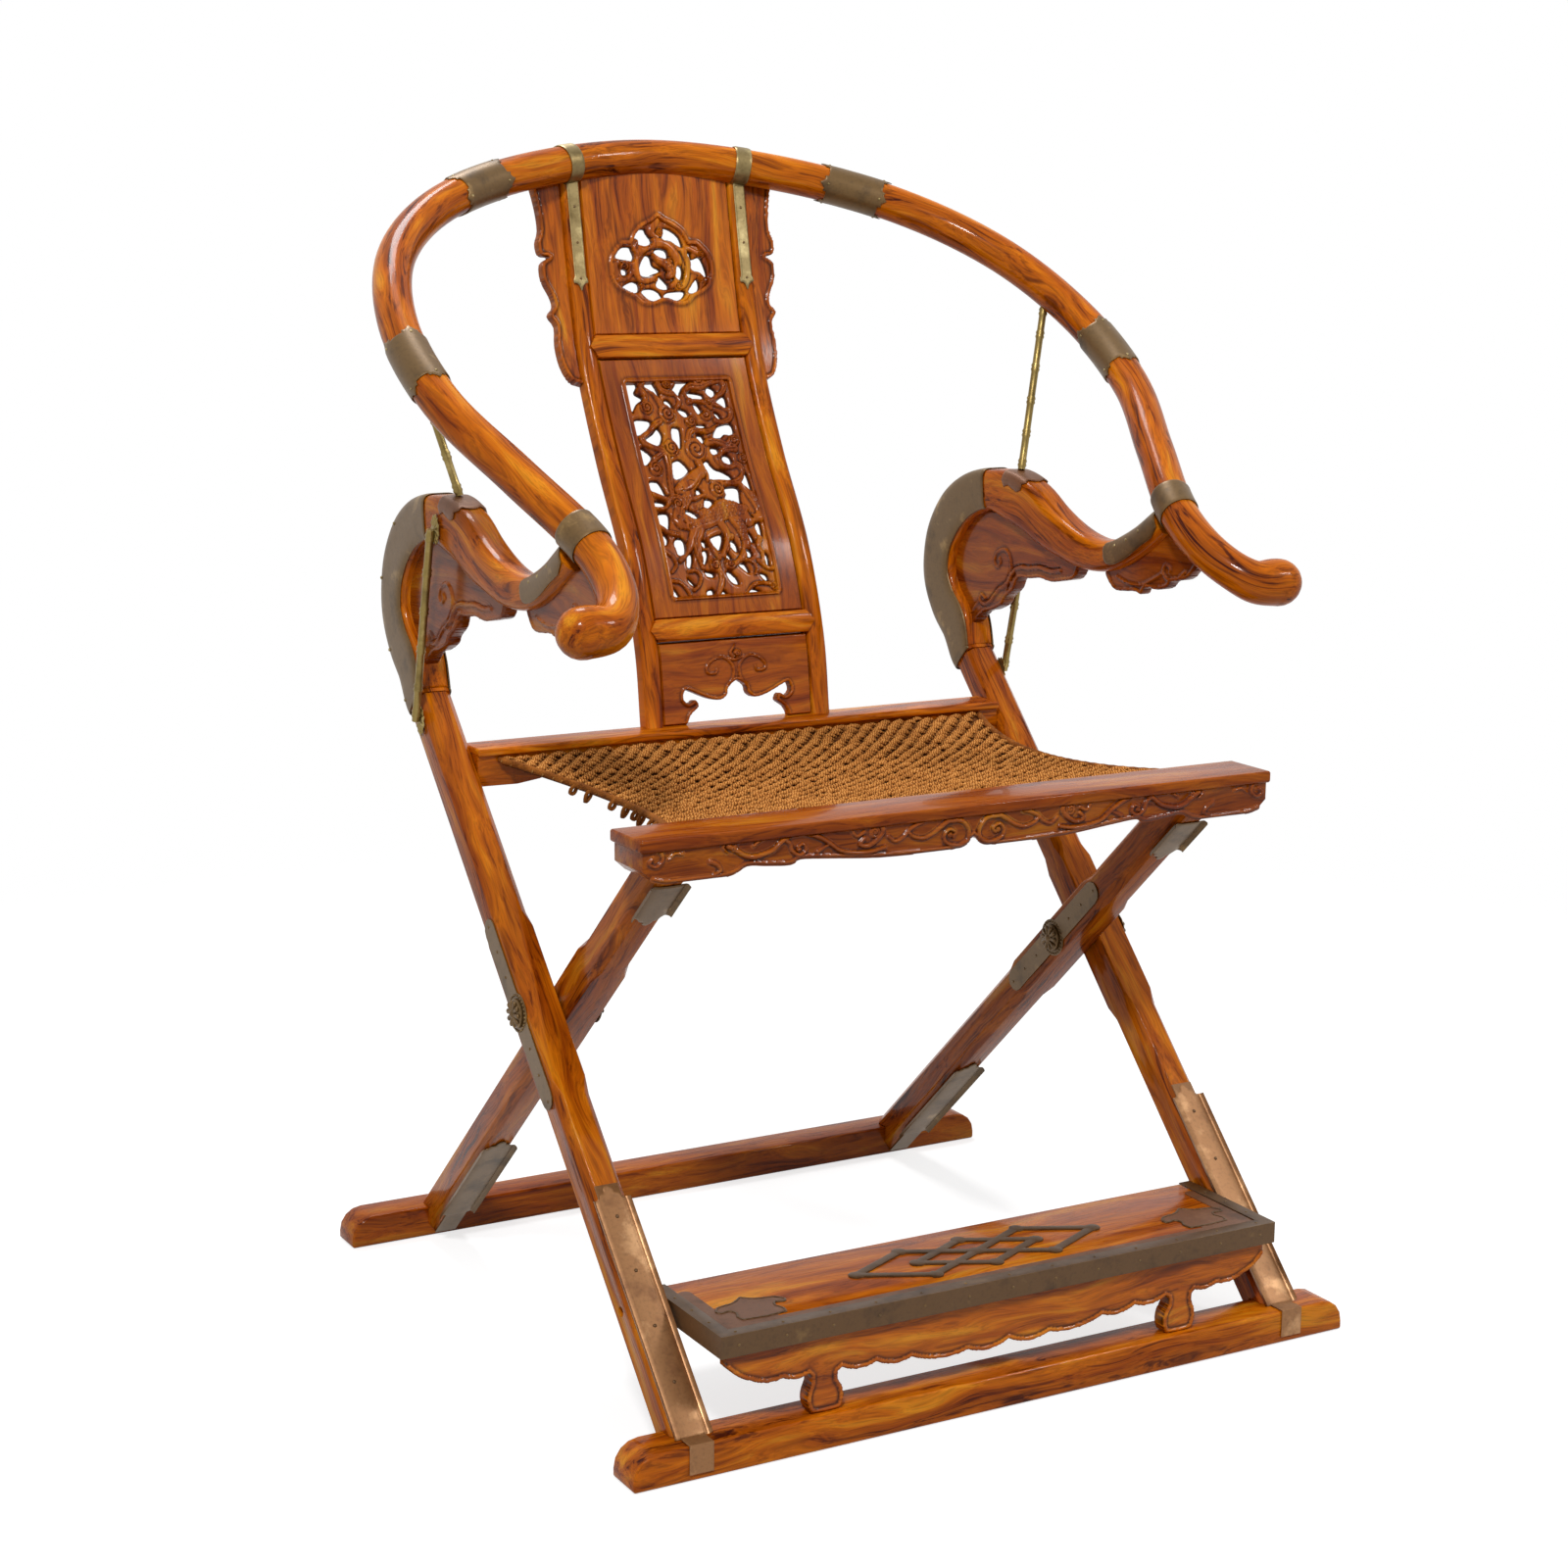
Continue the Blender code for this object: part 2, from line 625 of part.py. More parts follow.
HOUSING_TRIM = cutter(block("housing_trim", (-FAR, -FAR, HOUSING_Z), (FAR, 0, ARM_BACK_Z)))


# Legs, their pins and pivot plates
PIN_HOLE_RADIUS = PIN_RADIUS + PIN_CLEARANCE
OUTER_FACE_X = OUTER_LEG_X + OUTER_LEG_WIDTH / 2
INNER_FACE_X = INNER_LEG_X - INNER_LEG_WIDTH / 2
PLATE_STACK = FIT_GAP + PIVOT_PLATE_THICKNESS + FIT_GAP


def pivot_plate_outline(angle):
    """A long strap with a round eye in its middle and a rounded tip at each end."""
    half = PIVOT_PLATE_LENGTH / 2
    strap = PIVOT_PLATE_WIDTH / 2
    eye = PIVOT_PLATE_EYE_RADIUS
    spread = math.asin(strap / eye)
    right = []
    for number in range(EYE_STEPS + 1):
        turn = -math.pi / 2 + math.pi * number / EYE_STEPS
        right.append((half - strap + strap * math.cos(turn), strap * math.sin(turn)))
    top = []
    for number in range(EYE_STEPS + 1):
        turn = spread + (math.pi - 2 * spread) * number / EYE_STEPS
        top.append((eye * math.cos(turn), eye * math.sin(turn)))
    upper = right + top
    outline = upper + [(-x, -y) for x, y in upper]
    lean = Matrix.Rotation(angle, 2)
    return [tuple(Vector((PIVOT_Y, PIVOT_Z)) + lean @ Vector(place)) for place in outline]


def build_pivot(side_name, side):
    near = FIT_GAP
    far = FIT_GAP + PIVOT_PLATE_THICKNESS
    outer = sorted((side * (OUTER_FACE_X + near), side * (OUTER_FACE_X + far)))
    inner = sorted((side * (INNER_FACE_X - near), side * (INNER_FACE_X - far)))
    hole = cutter(pin(
        "pin_hole_" + side_name, PIN_HOLE_RADIUS,
        min(side * FAR, 0), max(side * FAR, 0), PIVOT_Y, PIVOT_Z,
    ))
    plate = slab("outer_pivot_plate_" + side_name, pivot_plate_outline(OUTER_LEG_ANGLE), *outer, ALONG)
    part(cut(plate, hole), OUTER, BRASS)
    plate = slab("inner_pivot_plate_" + side_name, pivot_plate_outline(-INNER_LEG_ANGLE), *inner, ALONG)
    part(cut(plate, hole), INNER, BRASS)
    low, high = INNER_FACE_X - PLATE_STACK, OUTER_FACE_X + PLATE_STACK
    length = high - low + 2 * PIN_HEAD_HEIGHT
    dome = PIN_HEAD_RADIUS * PIN_DOME_SHARE
    profile = (
        (0, 0), (dome, 0), (PIN_HEAD_RADIUS, PIN_HEAD_HEIGHT / 2), (PIN_HEAD_RADIUS, PIN_HEAD_HEIGHT),
        (PIN_RADIUS, PIN_HEAD_HEIGHT), (PIN_RADIUS, length - PIN_HEAD_HEIGHT),
        (PIN_HEAD_RADIUS, length - PIN_HEAD_HEIGHT), (PIN_HEAD_RADIUS, length - PIN_HEAD_HEIGHT / 2),
        (dome, length), (0, length),
    )
    start = (side * (low - PIN_HEAD_HEIGHT), PIVOT_Y, PIVOT_Z)
    end = (side * (high + PIN_HEAD_HEIGHT), PIVOT_Y, PIVOT_Z)
    part(turned("pivot_pin_" + side_name, profile, start, end, PIN_SIDES), OUTER, BRASS)
    return hole


def build_legs(side_name, side, hole):
    foot_hole = cutter(pin(
        "footrest_pin_hole_" + side_name, FOOTREST_PIN_RADIUS + PIN_CLEARANCE,
        min(side * FAR, 0), max(side * FAR, 0), FOOTREST_PIN_Y, FOOTREST_PIN_Z,
    ))
    low = -(PIVOT_Z + OVERRUN * 2) / math.sin(OUTER_LEG_ANGLE)
    rings = leg_rings(
        outer_leg_point, side * OUTER_LEG_X, OUTER_LEG_WIDTH, OUTER_LEG_THICKNESS, low, OUTER_LEG_REACH,
    )
    leg = loft("outer_leg_" + side_name, rings)
    part(cut(leg, hole, foot_hole, FRONT_BASE_SPACE, FLOOR, FRONT_TRIM), OUTER, ROSEWOOD)
    low = -(PIVOT_Z + OVERRUN * 2) / math.sin(INNER_LEG_ANGLE)
    high = (HOUSING_Z + OVERRUN * 2 - PIVOT_Z) / math.sin(INNER_LEG_ANGLE)
    rings = leg_rings(
        inner_leg_point, side * INNER_LEG_X, INNER_LEG_WIDTH, INNER_LEG_THICKNESS, low, high,
    )
    leg = loft("inner_leg_" + side_name, rings)
    part(cut(leg, hole, REAR_BASE_SPACE, FLOOR, REAR_TRIM, SEAT_TRIM), INNER, ROSEWOOD)
    rings = leg_rings(
        inner_leg_point, side * INNER_LEG_X, INNER_LEG_WIDTH + 2 * FIT_GAP,
        INNER_LEG_THICKNESS + 2 * FIT_GAP, 0, high,
    )
    housing = cutter(loft("inner_leg_housing_" + side_name, rings[3:]))
    return foot_hole, cut(housing, HOUSING_TRIM)


def build_shoes(side_name, side):
    half = SHOE_WIDTH / 2
    face = OUTER_LEG_THICKNESS / 2
    foot = (BASE_HEIGHT - outer_leg_point(0, face).y) / math.sin(OUTER_LEG_ANGLE)
    path = [
        (FRONT_BASE_FACE_Y, BASE_HEIGHT - OUTER_SHOE_DROP), (FRONT_BASE_FACE_Y, BASE_HEIGHT),
        tuple(outer_leg_point(foot, face)), tuple(outer_leg_point(foot + OUTER_SHOE_LENGTH, face)),
    ]
    centre = side * OUTER_LEG_X
    plate = slab(
        "outer_shoe_" + side_name, band(path, FIT_GAP, FIT_GAP + BRASS_SHEET),
        centre - half, centre + half, ALONG,
    )
    part(plate, OUTER, BRASS)
    face = -INNER_LEG_THICKNESS / 2
    foot = -(PIVOT_Z + face * math.cos(INNER_LEG_ANGLE)) / math.sin(INNER_LEG_ANGLE)
    path = [tuple(inner_leg_point(foot, face)), tuple(inner_leg_point(foot + INNER_SHOE_LENGTH, face))]
    centre = side * INNER_LEG_X
    plate = slab(
        "inner_shoe_" + side_name, band(path, FIT_GAP, FIT_GAP + BRASS_SHEET),
        centre - half, centre + half, ALONG,
    )
    part(cut(plate, FLOOR, REAR_BASE_SPACE), INNER, BRASS)


FOOT_HOLES = []
HOUSINGS = []
for side_label, side_sign in SIDES:
    pin_hole = build_pivot(side_label, side_sign)
    foot_pin_hole, leg_housing = build_legs(side_label, side_sign, pin_hole)
    FOOT_HOLES.append(foot_pin_hole)
    HOUSINGS.append(leg_housing)
    build_shoes(side_label, side_sign)


# Seat rails
def apron_outline(half_length, top, drop, shares):
    lower = [(half_length * across, top - drop * down) for across, down in shares]
    half = lower + [(half_length, top)]
    return half + [(-x, z) for x, z in reversed(half)][:-1]


def build_front_rail():
    lip_z = FRONT_RAIL_TOP_Z - FRONT_RAIL_LIP
    back_y = FRONT_RAIL_FACE_Y + FRONT_RAIL_DEPTH
    lip = block(
        "front_seat_rail", (-FRONT_RAIL_HALF_LENGTH, FRONT_RAIL_FACE_Y, lip_z),
        (FRONT_RAIL_HALF_LENGTH, back_y, FRONT_RAIL_TOP_Z),
    )
    outline = apron_outline(
        FRONT_RAIL_HALF_LENGTH - FRONT_RAIL_SETBACK, lip_z + RAIL_EDGE, FRONT_RAIL_APRON_DROP + RAIL_EDGE,
        FRONT_RAIL_EDGE_SHARES,
    )
    apron = cutter(slab(
        "front_rail_apron", outline,
        FRONT_RAIL_FACE_Y + FRONT_RAIL_SETBACK, back_y - FRONT_RAIL_SETBACK, ACROSS,
    ))
    part(cut(join(soften(lip, RAIL_EDGE), apron), *HOUSINGS), INNER, ROSEWOOD)


def build_rear_rail():
    lip_z = REAR_RAIL_TOP_Z - REAR_RAIL_LIP
    back_y = REAR_RAIL_FACE_Y + REAR_RAIL_DEPTH
    half = OUTER_LEG_X - OUTER_LEG_WIDTH / 2 - FIT_GAP
    lip = block("rear_seat_rail", (-half, REAR_RAIL_FACE_Y, lip_z), (half, back_y, REAR_RAIL_TOP_Z))
    outline = apron_outline(
        half - FIT_GAP, lip_z + RAIL_EDGE, REAR_RAIL_APRON_DROP + RAIL_EDGE, REAR_RAIL_EDGE_SHARES,
    )
    apron = cutter(slab(
        "rear_rail_apron", outline, REAR_RAIL_FACE_Y + REAR_RAIL_SETBACK, back_y - REAR_RAIL_SETBACK, ACROSS,
    ))
    part(join(soften(lip, RAIL_EDGE), apron), OUTER, ROSEWOOD)


build_front_rail()
build_rear_rail()


# Rope seat: a drawn-in, sagging sheet between the seat rails
def build_rope_seat():
    front = FRONT_RAIL_FACE_Y + FRONT_RAIL_DEPTH + FIT_GAP
    back = REAR_RAIL_FACE_Y + REAR_RAIL_SETBACK - FIT_GAP
    front_z = FRONT_RAIL_TOP_Z - ROPE_SEAT_FRONT_DROP
    back_z = REAR_RAIL_TOP_Z - REAR_RAIL_LIP - FIT_GAP
    rings = []
    for number in range(ROPE_SEAT_STATIONS + 1):
        share = number / ROPE_SEAT_STATIONS
        hollow = 4 * share * (1 - share)
        y = front + (back - front) * share
        top = front_z + (back_z - front_z) * share - ROPE_SEAT_SAG * hollow
        edge = ROPE_SEAT_HALF_WIDTH - ROPE_SEAT_WAIST * hollow
        low = top - ROPE_SEAT_THICKNESS
        middle = edge / 2
        rings.append([
            (-edge, y, low), (-middle, y, low), (0, y, low), (middle, y, low), (edge, y, low),
            (edge, y, top), (middle, y, top), (0, y, top), (-middle, y, top), (-edge, y, top),
        ])
    part(loft("rope_seat", rings), OUTER, ROPE)


build_rope_seat()


# Arm rail: five lengths scarfed under brass sleeves, with turned-out knobs
def knob_share(place):
    """How much thicker the rail is at a place: it swells towards the knob at its tip."""
    share = min(max((abs(place) - ARM_KNOB_START) / (ARM_LAST - ARM_KNOB_START), 0), 1)
    return 1 + (ARM_KNOB_RADIUS / ARM_RAIL_RADIUS - 1) * share * share * (3 - 2 * share)


def knob_end(points, swell):
    """Rounds the last end off with a half ball."""
    tip = points[-1]
    along = (tip - points[-2]).normalized()
    for turn in map(math.radians, ARM_KNOB_TURNS):
        points.append(tip + along * ARM_KNOB_RADIUS * math.sin(turn))
        swell.append(math.cos(turn) * ARM_KNOB_RADIUS / ARM_RAIL_RADIUS)


def build_arm_rail():
    whole = (
        ("arm_rail_back", -SHOULDER_JOINT_SHARE, SHOULDER_JOINT_SHARE),
        ("arm_rail_shoulder_left", -ARM_JOINT_SHARE, -SHOULDER_JOINT_SHARE),
        ("arm_rail_shoulder_right", SHOULDER_JOINT_SHARE, ARM_JOINT_SHARE),
        ("arm_rail_front_left", -ARM_LAST, -ARM_JOINT_SHARE),
        ("arm_rail_front_right", ARM_JOINT_SHARE, ARM_LAST),
    )
    for name, start, end in whole:
        start, end = trimmed(start, end)
        places = arm_places(start, end)
        points = [arm_point(n) for n in places]
        swell = [knob_share(n) for n in places]
        if end > ARM_LAST - 1:
            knob_end(points, swell)
        elif start < 1 - ARM_LAST:
            points.reverse()
            swell.reverse()
            knob_end(points, swell)
        part(tube(name, points, ARM_RAIL_RADIUS, ARM_RAIL_RESOLUTION, swell), OUTER, ROSEWOOD)


def rail_shell(name, shares, side):
    start, end = sorted(side * share for share in shares)
    return arm_tube(name, start, end, ARM_RAIL_RADIUS + FIT_GAP + BRASS_SHEET)


SLEEVES = (("shoulder_sleeve_", UPPER_SLEEVE_SHARES), ("arm_sleeve_", ARM_SLEEVE_SHARES))


def build_sleeves():
    for side_name, side in SIDES:
        for label, shares in SLEEVES:
            part(cut(rail_shell(label + side_name, shares, side), RAIL_SPACE), OUTER, BRASS)


build_arm_rail()
build_sleeves()


# Bend and goose-neck: one line from the leg's top round the bend and forward to the rail
def post_line():
    start = [
        (*outer_leg_point(OUTER_LEG_REACH + FIT_GAP / 2), OUTER_LEG_THICKNESS),
        (*outer_leg_point(OUTER_LEG_REACH + BEND_START_RUN), OUTER_LEG_THICKNESS + BEND_START_SWELL),
    ]
    return start + [(*from_pin(place[:2]), place[2]) for place in (*BEND_PLACES, *NECK_PLACES)]


POST_LINE = post_line()
POST_LAST = len(POST_LINE) - 1
POST_JOINT = POST_LAST - len(NECK_PLACES)


def post_direction(number):
    if number == 0:
        return Vector((math.cos(OUTER_LEG_ANGLE), math.sin(OUTER_LEG_ANGLE)))
    before = Vector(POST_LINE[number - 1][:2])
    after = Vector(POST_LINE[min(number + 1, POST_LAST)][:2])
    return (after - before).normalized()


def post_rings(first, last, side, grow=0.0, over=0.0):
    """Sections of the post between two stations, square in the bend and round at the front."""
    rings = []
    for number in range(first, last + 1):
        y, z, thickness = POST_LINE[number]
        along = post_direction(number)
        share = max(0, number - POST_JOINT) / (POST_LAST - POST_JOINT)
        power = BEND_SQUARENESS_SHARE + (NECK_ROUND_SHARE - BEND_SQUARENESS_SHARE) * share
        width = POST_THICKNESS_X + (NECK_FRONT_THICKNESS_X - POST_THICKNESS_X) * share
        step = (number == first) - (number == last)
        shifts = [step * FIT_GAP / 2]
        if over and step:
            shifts.insert(1 if step < 0 else 0, -step * over)
        for shift in shifts:
            place = Vector((y, z)) + along * shift
            rings.append(rounded_square(
                (side * OUTER_LEG_X, *place), along, thickness / 2 + grow, width / 2 + grow, power, side,
            ))
    return rings


def post_edge(first, last, which, inset=0.0):
    """The line (y, z) of the post's upper or hollow side, from one station to another."""
    edge = []
    for number in range(first, last, 1 if last > first else -1):
        y, z, thickness = POST_LINE[number]
        along = post_direction(number)
        edge.append(tuple(Vector((y, z)) + Vector((-along.y, along.x)) * which * (thickness / 2 - inset)))
    return edge


def around(shares, side):
    """The space a rail ring needs: a little longer at both ends."""
    start, end = sorted(side * share for share in shares)
    more = FIT_GAP * ARM_LAST / ARM_SPREAD
    return arm_tube("ring_space", start - more, end + more, ARM_RAIL_RADIUS + BRASS_SHEET + 2 * FIT_GAP)


def build_post(side_name, side):
    part(loft("post_bend_" + side_name, post_rings(0, POST_JOINT, side)), OUTER, ROSEWOOD)
    bend_space = cutter(loft(
        "bend_space_" + side_name, post_rings(0, POST_JOINT, side, FIT_GAP, OVERRUN / 4),
    ))
    neck = loft("goose_neck_" + side_name, post_rings(POST_JOINT, POST_LAST, side))
    ring_space = cutter(around(ARM_RING_SHARES, side))
    part(cut(neck, RAIL_SPACE, ring_space), OUTER, ROSEWOOD)
    neck_space = cutter(loft(
        "neck_space_" + side_name, post_rings(POST_JOINT, POST_LAST, side, FIT_GAP, OVERRUN / 4),
    ))
    build_spandrels(side_name, side, bend_space, neck_space)
    build_bend_plate(side_name, side, bend_space)
    build_arm_strap(side_name, side)


def build_spandrels(side_name, side, bend_space, neck_space):
    centre = side * OUTER_LEG_X
    half = BEND_SPANDREL_THICKNESS / 2
    outline = [from_pin(place) for place in BEND_SPANDREL_PLACES]
    piece = slab("bend_spandrel_" + side_name, outline, centre - half, centre + half, ALONG)
    leg_space = cutter(loft("leg_space_" + side_name, leg_rings(
        outer_leg_point, centre, OUTER_LEG_WIDTH + 2 * FIT_GAP, OUTER_LEG_THICKNESS + 2 * FIT_GAP,
        0, OUTER_LEG_REACH + FIT_GAP,
    )[3:]))
    part(cut(piece, bend_space, neck_space, leg_space), OUTER, PANEL_WOOD)
    half = ARM_SPANDREL_THICKNESS / 2
    outline = [from_pin(place) for place in ARM_SPANDREL_PLACES]
    piece = slab("arm_spandrel_" + side_name, outline, centre - half, centre + half, ALONG)
    part(cut(piece, neck_space, RAIL_SPACE), OUTER, PANEL_WOOD)


def build_bend_plate(side_name, side, bend_space):
    """Sheet brass folded over the back of the bend and down both its faces."""
    shell = loft(
        "bend_plate_" + side_name, post_rings(0, POST_JOINT, side, FIT_GAP + BRASS_SHEET),
    )
    edge = post_edge(0, POST_JOINT + 1, 1, BRASS_SHEET)
    ends = [
        tuple(Vector(edge[place]) + post_direction(number) * step * OVERRUN)
        for place, number, step in ((0, 0, -1), (-1, POST_JOINT, 1))
    ]
    outline = [ends[0], *edge, ends[1], from_pin(BEND_SPANDREL_PLACES[BEND_HOLLOW])]
    centre = side * OUTER_LEG_X
    wide = POST_THICKNESS_X
    mouth = cutter(slab("bend_plate_mouth_" + side_name, outline, centre - wide, centre + wide, ALONG))
    part(cut(shell, bend_space, mouth), OUTER, BRASS)


def build_arm_strap(side_name, side):
    ring = rail_shell("arm_strap_" + side_name, ARM_RING_SHARES, side)
    centre = side * OUTER_LEG_X
    half = ARM_STRAP_WIDTH / 2
    edge = post_edge(POST_LAST, POST_LAST - ARM_STRAP_STATIONS, -1)
    strip = cutter(slab(
        "arm_strip_" + side_name, band(edge, FIT_GAP, FIT_GAP + BRASS_SHEET),
        centre - half, centre + half, ALONG,
    ))
    part(cut(join(ring, strip), RAIL_SPACE), OUTER, BRASS)


for side_label, side_sign in SIDES:
    build_post(side_label, side_sign)


# Brass rods with bamboo joints
def rod_profile(length):
    profile = [(0, 0), (ROD_RADIUS, 0)]
    for share in ROD_NODE_SHARES:
        middle = length * share
        for radius, step in ((ROD_RADIUS, -1), (ROD_NODE_RADIUS, 0), (ROD_RADIUS, 1)):
            profile.append((radius, middle + step * ROD_NODE_LENGTH / 2))
    return profile + [(ROD_RADIUS, length), (0, length)]


def build_rods(side_name, side):
    foot_y, foot_z = from_pin(UPPER_ROD_FOOT)
    start = Vector((side * OUTER_LEG_X, foot_y, foot_z))
    end = arm_point(side * UPPER_ROD_RAIL_SHARE)
    rod = turned("upper_rod_" + side_name, rod_profile((end - start).length), start, end, ROD_SIDES)
    spread = Vector((UPPER_ROD_PLATE_WIDTH, UPPER_ROD_PLATE_LENGTH, BRASS_SHEET)) / 2
    plate = cutter(block("upper_rod_plate_" + side_name, start - spread, start + spread))
    part(cut(join(rod, plate), RAIL_SPACE), OUTER, BRIGHT_BRASS)
    x = side * (OUTER_FACE_X + 2 * FIT_GAP + BRASS_SHEET + ROD_NODE_RADIUS)
    top, bottom = (Vector((x, *from_pin(place))) for place in (LOWER_ROD_TOP, LOWER_ROD_BOTTOM))
    rod = turned("lower_rod_" + side_name, rod_profile((bottom - top).length), top, bottom, ROD_SIDES)
    inner_x, outer_x = side * (OUTER_FACE_X + FIT_GAP), x
    for number, place in enumerate((top, bottom)):
        flower = cutter(pin(
            f"rod_flower_{number}_{side_name}", LOWER_ROD_FLOWER_RADIUS,
            min(inner_x, outer_x), max(inner_x, outer_x), place.y, place.z, ROD_SIDES,
        ))
        join(rod, flower)
    part(rod, OUTER, BRIGHT_BRASS)


for side_label, side_sign in SIDES:
    build_rods(side_label, side_sign)


# Back
BACK_TOP = arm_point(BACK_RING_SHARES[0])
BACK_FOOT_Y = REAR_RAIL_FACE_Y + BACK_FOOT_SETBACK
BACK_HEIGHT = BACK_TOP.z - REAR_RAIL_TOP_Z
BACK_RAKE = BACK_TOP.y - BACK_TOP_FORWARD - BACK_FOOT_Y
BACK_CONTROLS = [
    (BACK_FOOT_Y + BACK_RAKE * rake, REAR_RAIL_TOP_Z + BACK_HEIGHT * rise)
    for rake, rise in BACK_CURVE_SHARES
]


def back_point(height):
    """The front of the back (y, z) at a height above the rear seat rail."""
    low, high = 0.0, len(BACK_CONTROLS) - 1.0
    target = REAR_RAIL_TOP_Z + height
    for _ in range(40):
        middle = (low + high) / 2
        if smooth(BACK_CONTROLS, middle).y < target:
            low = middle
        else:
            high = middle
    return tuple(smooth(BACK_CONTROLS, low))


BACK_KNOTS = [BACK_HEIGHT * number / BACK_CHORDS for number in range(BACK_CHORDS + 1)]
BACK_LINE = [Vector(back_point(height)) for height in BACK_KNOTS]


def back_path(low, high):
    """The front of the back between two heights: all its pieces follow the same chords."""
    def at(height):
        along = height / BACK_HEIGHT * BACK_CHORDS
        start = min(max(int(math.floor(along)), 0), BACK_CHORDS - 1)
        return tuple(BACK_LINE[start].lerp(BACK_LINE[start + 1], along - start))
    close = CROSS_RAIL_HEIGHT * KNOT_SPACING_SHARE
    knots = [knot for knot in BACK_KNOTS if low + close < knot < high - close]
    return [at(height) for height in (low, *knots, high)]


def back_slab(name, low, high, near, far, left, right):
    """A curved slab between two depths behind the front of the back."""
    return slab(name, band(back_path(low, high), -near, -far), left, right, ALONG)


BEHIND_RAIL_Y = ARM_BACK_Y + 2 * ARM_RAIL_RADIUS
PANEL_HALF = BACK_HALF_WIDTH - BACK_STILE_WIDTH - FIT_GAP
UPPER_RAIL_HEIGHT = BACK_HEIGHT - UPPER_CROSS_RAIL_DROP
HALF_RAIL = CROSS_RAIL_HEIGHT / 2


SEAT_RAIL_SPACE = cutter(block(
    "rear_rail_top_space", (-FAR, REAR_RAIL_FACE_Y, 0), (FAR, ARM_BACK_Y, REAR_RAIL_TOP_Z + FIT_GAP),
))
STRAP_SPACES = {name: cutter(around(BACK_RING_SHARES, side)) for name, side in SIDES}


def build_stiles():
    for side_name, side in SIDES:
        left, right = sorted((side * BACK_HALF_WIDTH, side * (BACK_HALF_WIDTH - BACK_STILE_WIDTH)))
        stile = back_slab(
            "back_stile_" + side_name, -BACK_FOOT_RUN, BACK_HEIGHT, 0, BACK_STILE_DEPTH, left, right,
        )
        soften(stile, STILE_EDGE, 1, math.radians(60))
        part(cut(stile, RAIL_SPACE, STRAP_SPACES[side_name], SEAT_RAIL_SPACE), OUTER, ROSEWOOD)


def build_cross_rails():
    rails = {"upper_back_rail": UPPER_RAIL_HEIGHT, "lower_back_rail": LOWER_CROSS_RAIL_RISE}
    for name, middle in rails.items():
        low, high = middle - HALF_RAIL + FIT_GAP, middle + HALF_RAIL - FIT_GAP
        rail = back_slab(name, low, high, 0, BACK_STILE_DEPTH, -PANEL_HALF, PANEL_HALF)
        part(soften(rail, STILE_EDGE / 2, 1), OUTER, ROSEWOOD)


def back_panel(name, low, high, near=PANEL_RECESS, far=PANEL_RECESS + PANEL_THICKNESS, half=None):
    half = PANEL_HALF if half is None else half
    return back_slab(name, low, high, near, far, -half, half)


def build_panels():
    front = REAR_RAIL_FACE_Y
    sink = PANEL_RECESS + CARVING_SINK
    low = UPPER_RAIL_HEIGHT + HALF_RAIL
    panel = back_panel("upper_back_panel", low, BACK_HEIGHT)
    base = REAR_RAIL_TOP_Z + low + MEDALLION_RISE
    half = [(MEDALLION_HALF_WIDTH * a, base + MEDALLION_HEIGHT * b) for a, b in MEDALLION_SHARES]
    outline = half[::-1] + [(-x, z) for x, z in half[1:]]
    drawn = cutter(slab("medallion", outline, front, BEHIND_RAIL_Y, ACROSS))
    field = cutter(back_panel("medallion_field", low, BACK_HEIGHT, -OVERRUN / 2, sink))
    combine(field, drawn, "INTERSECT")
    part(cut(panel, field, RAIL_SPACE, *STRAP_SPACES.values()), OUTER, PANEL_WOOD)

    low, high = LOWER_CROSS_RAIL_RISE + HALF_RAIL, UPPER_RAIL_HEIGHT - HALF_RAIL
    panel = back_panel("middle_back_panel", low, high)
    window = cutter(back_panel(
        "window_field", low + WINDOW_MARGIN_BOTTOM, high - WINDOW_MARGIN_TOP,
        -OVERRUN / 2, sink, WINDOW_HALF_WIDTH,
    ))
    part(cut(panel, window), OUTER, PANEL_WOOD)

    panel = back_panel("lower_back_panel", -BACK_FOOT_RUN, LOWER_CROSS_RAIL_RISE - HALF_RAIL)
    half = [(ARCH_HALF_WIDTH * a, REAR_RAIL_TOP_Z + ARCH_HEIGHT * b) for a, b in ARCH_SHARES]
    outline = half[::-1] + [(-x, z) for x, z in half[1:]]
    arch = cutter(slab("panel_arch", outline, front, BEHIND_RAIL_Y, ACROSS))
    part(cut(panel, arch, SEAT_RAIL_SPACE), OUTER, PANEL_WOOD)


def build_wings():
    near = BACK_STILE_DEPTH - WING_THICKNESS
    for side_name, side in SIDES:
        edge = BACK_HALF_WIDTH + FIT_GAP
        left, right = sorted((side * edge, side * (edge + WING_WIDTH)))
        wing = back_slab(
            "back_wing_" + side_name, BACK_HEIGHT - WING_DROP, BACK_HEIGHT,
            near, near + WING_THICKNESS, left, right,
        )
        base = REAR_RAIL_TOP_Z + BACK_HEIGHT - WING_DROP
        outline = [(side * (edge + WING_WIDTH * a), base + WING_DROP * b) for a, b in WING_SHARES]
        outline.append((side * (edge - OVERRUN), outline[0][1]))
        drawn = cutter(slab(
            "wing_outline_" + side_name, outline, REAR_RAIL_FACE_Y, BEHIND_RAIL_Y, ACROSS,
        ))
        combine(wing, drawn, "INTERSECT")
        part(cut(wing, RAIL_SPACE, STRAP_SPACES[side_name]), OUTER, PANEL_WOOD)


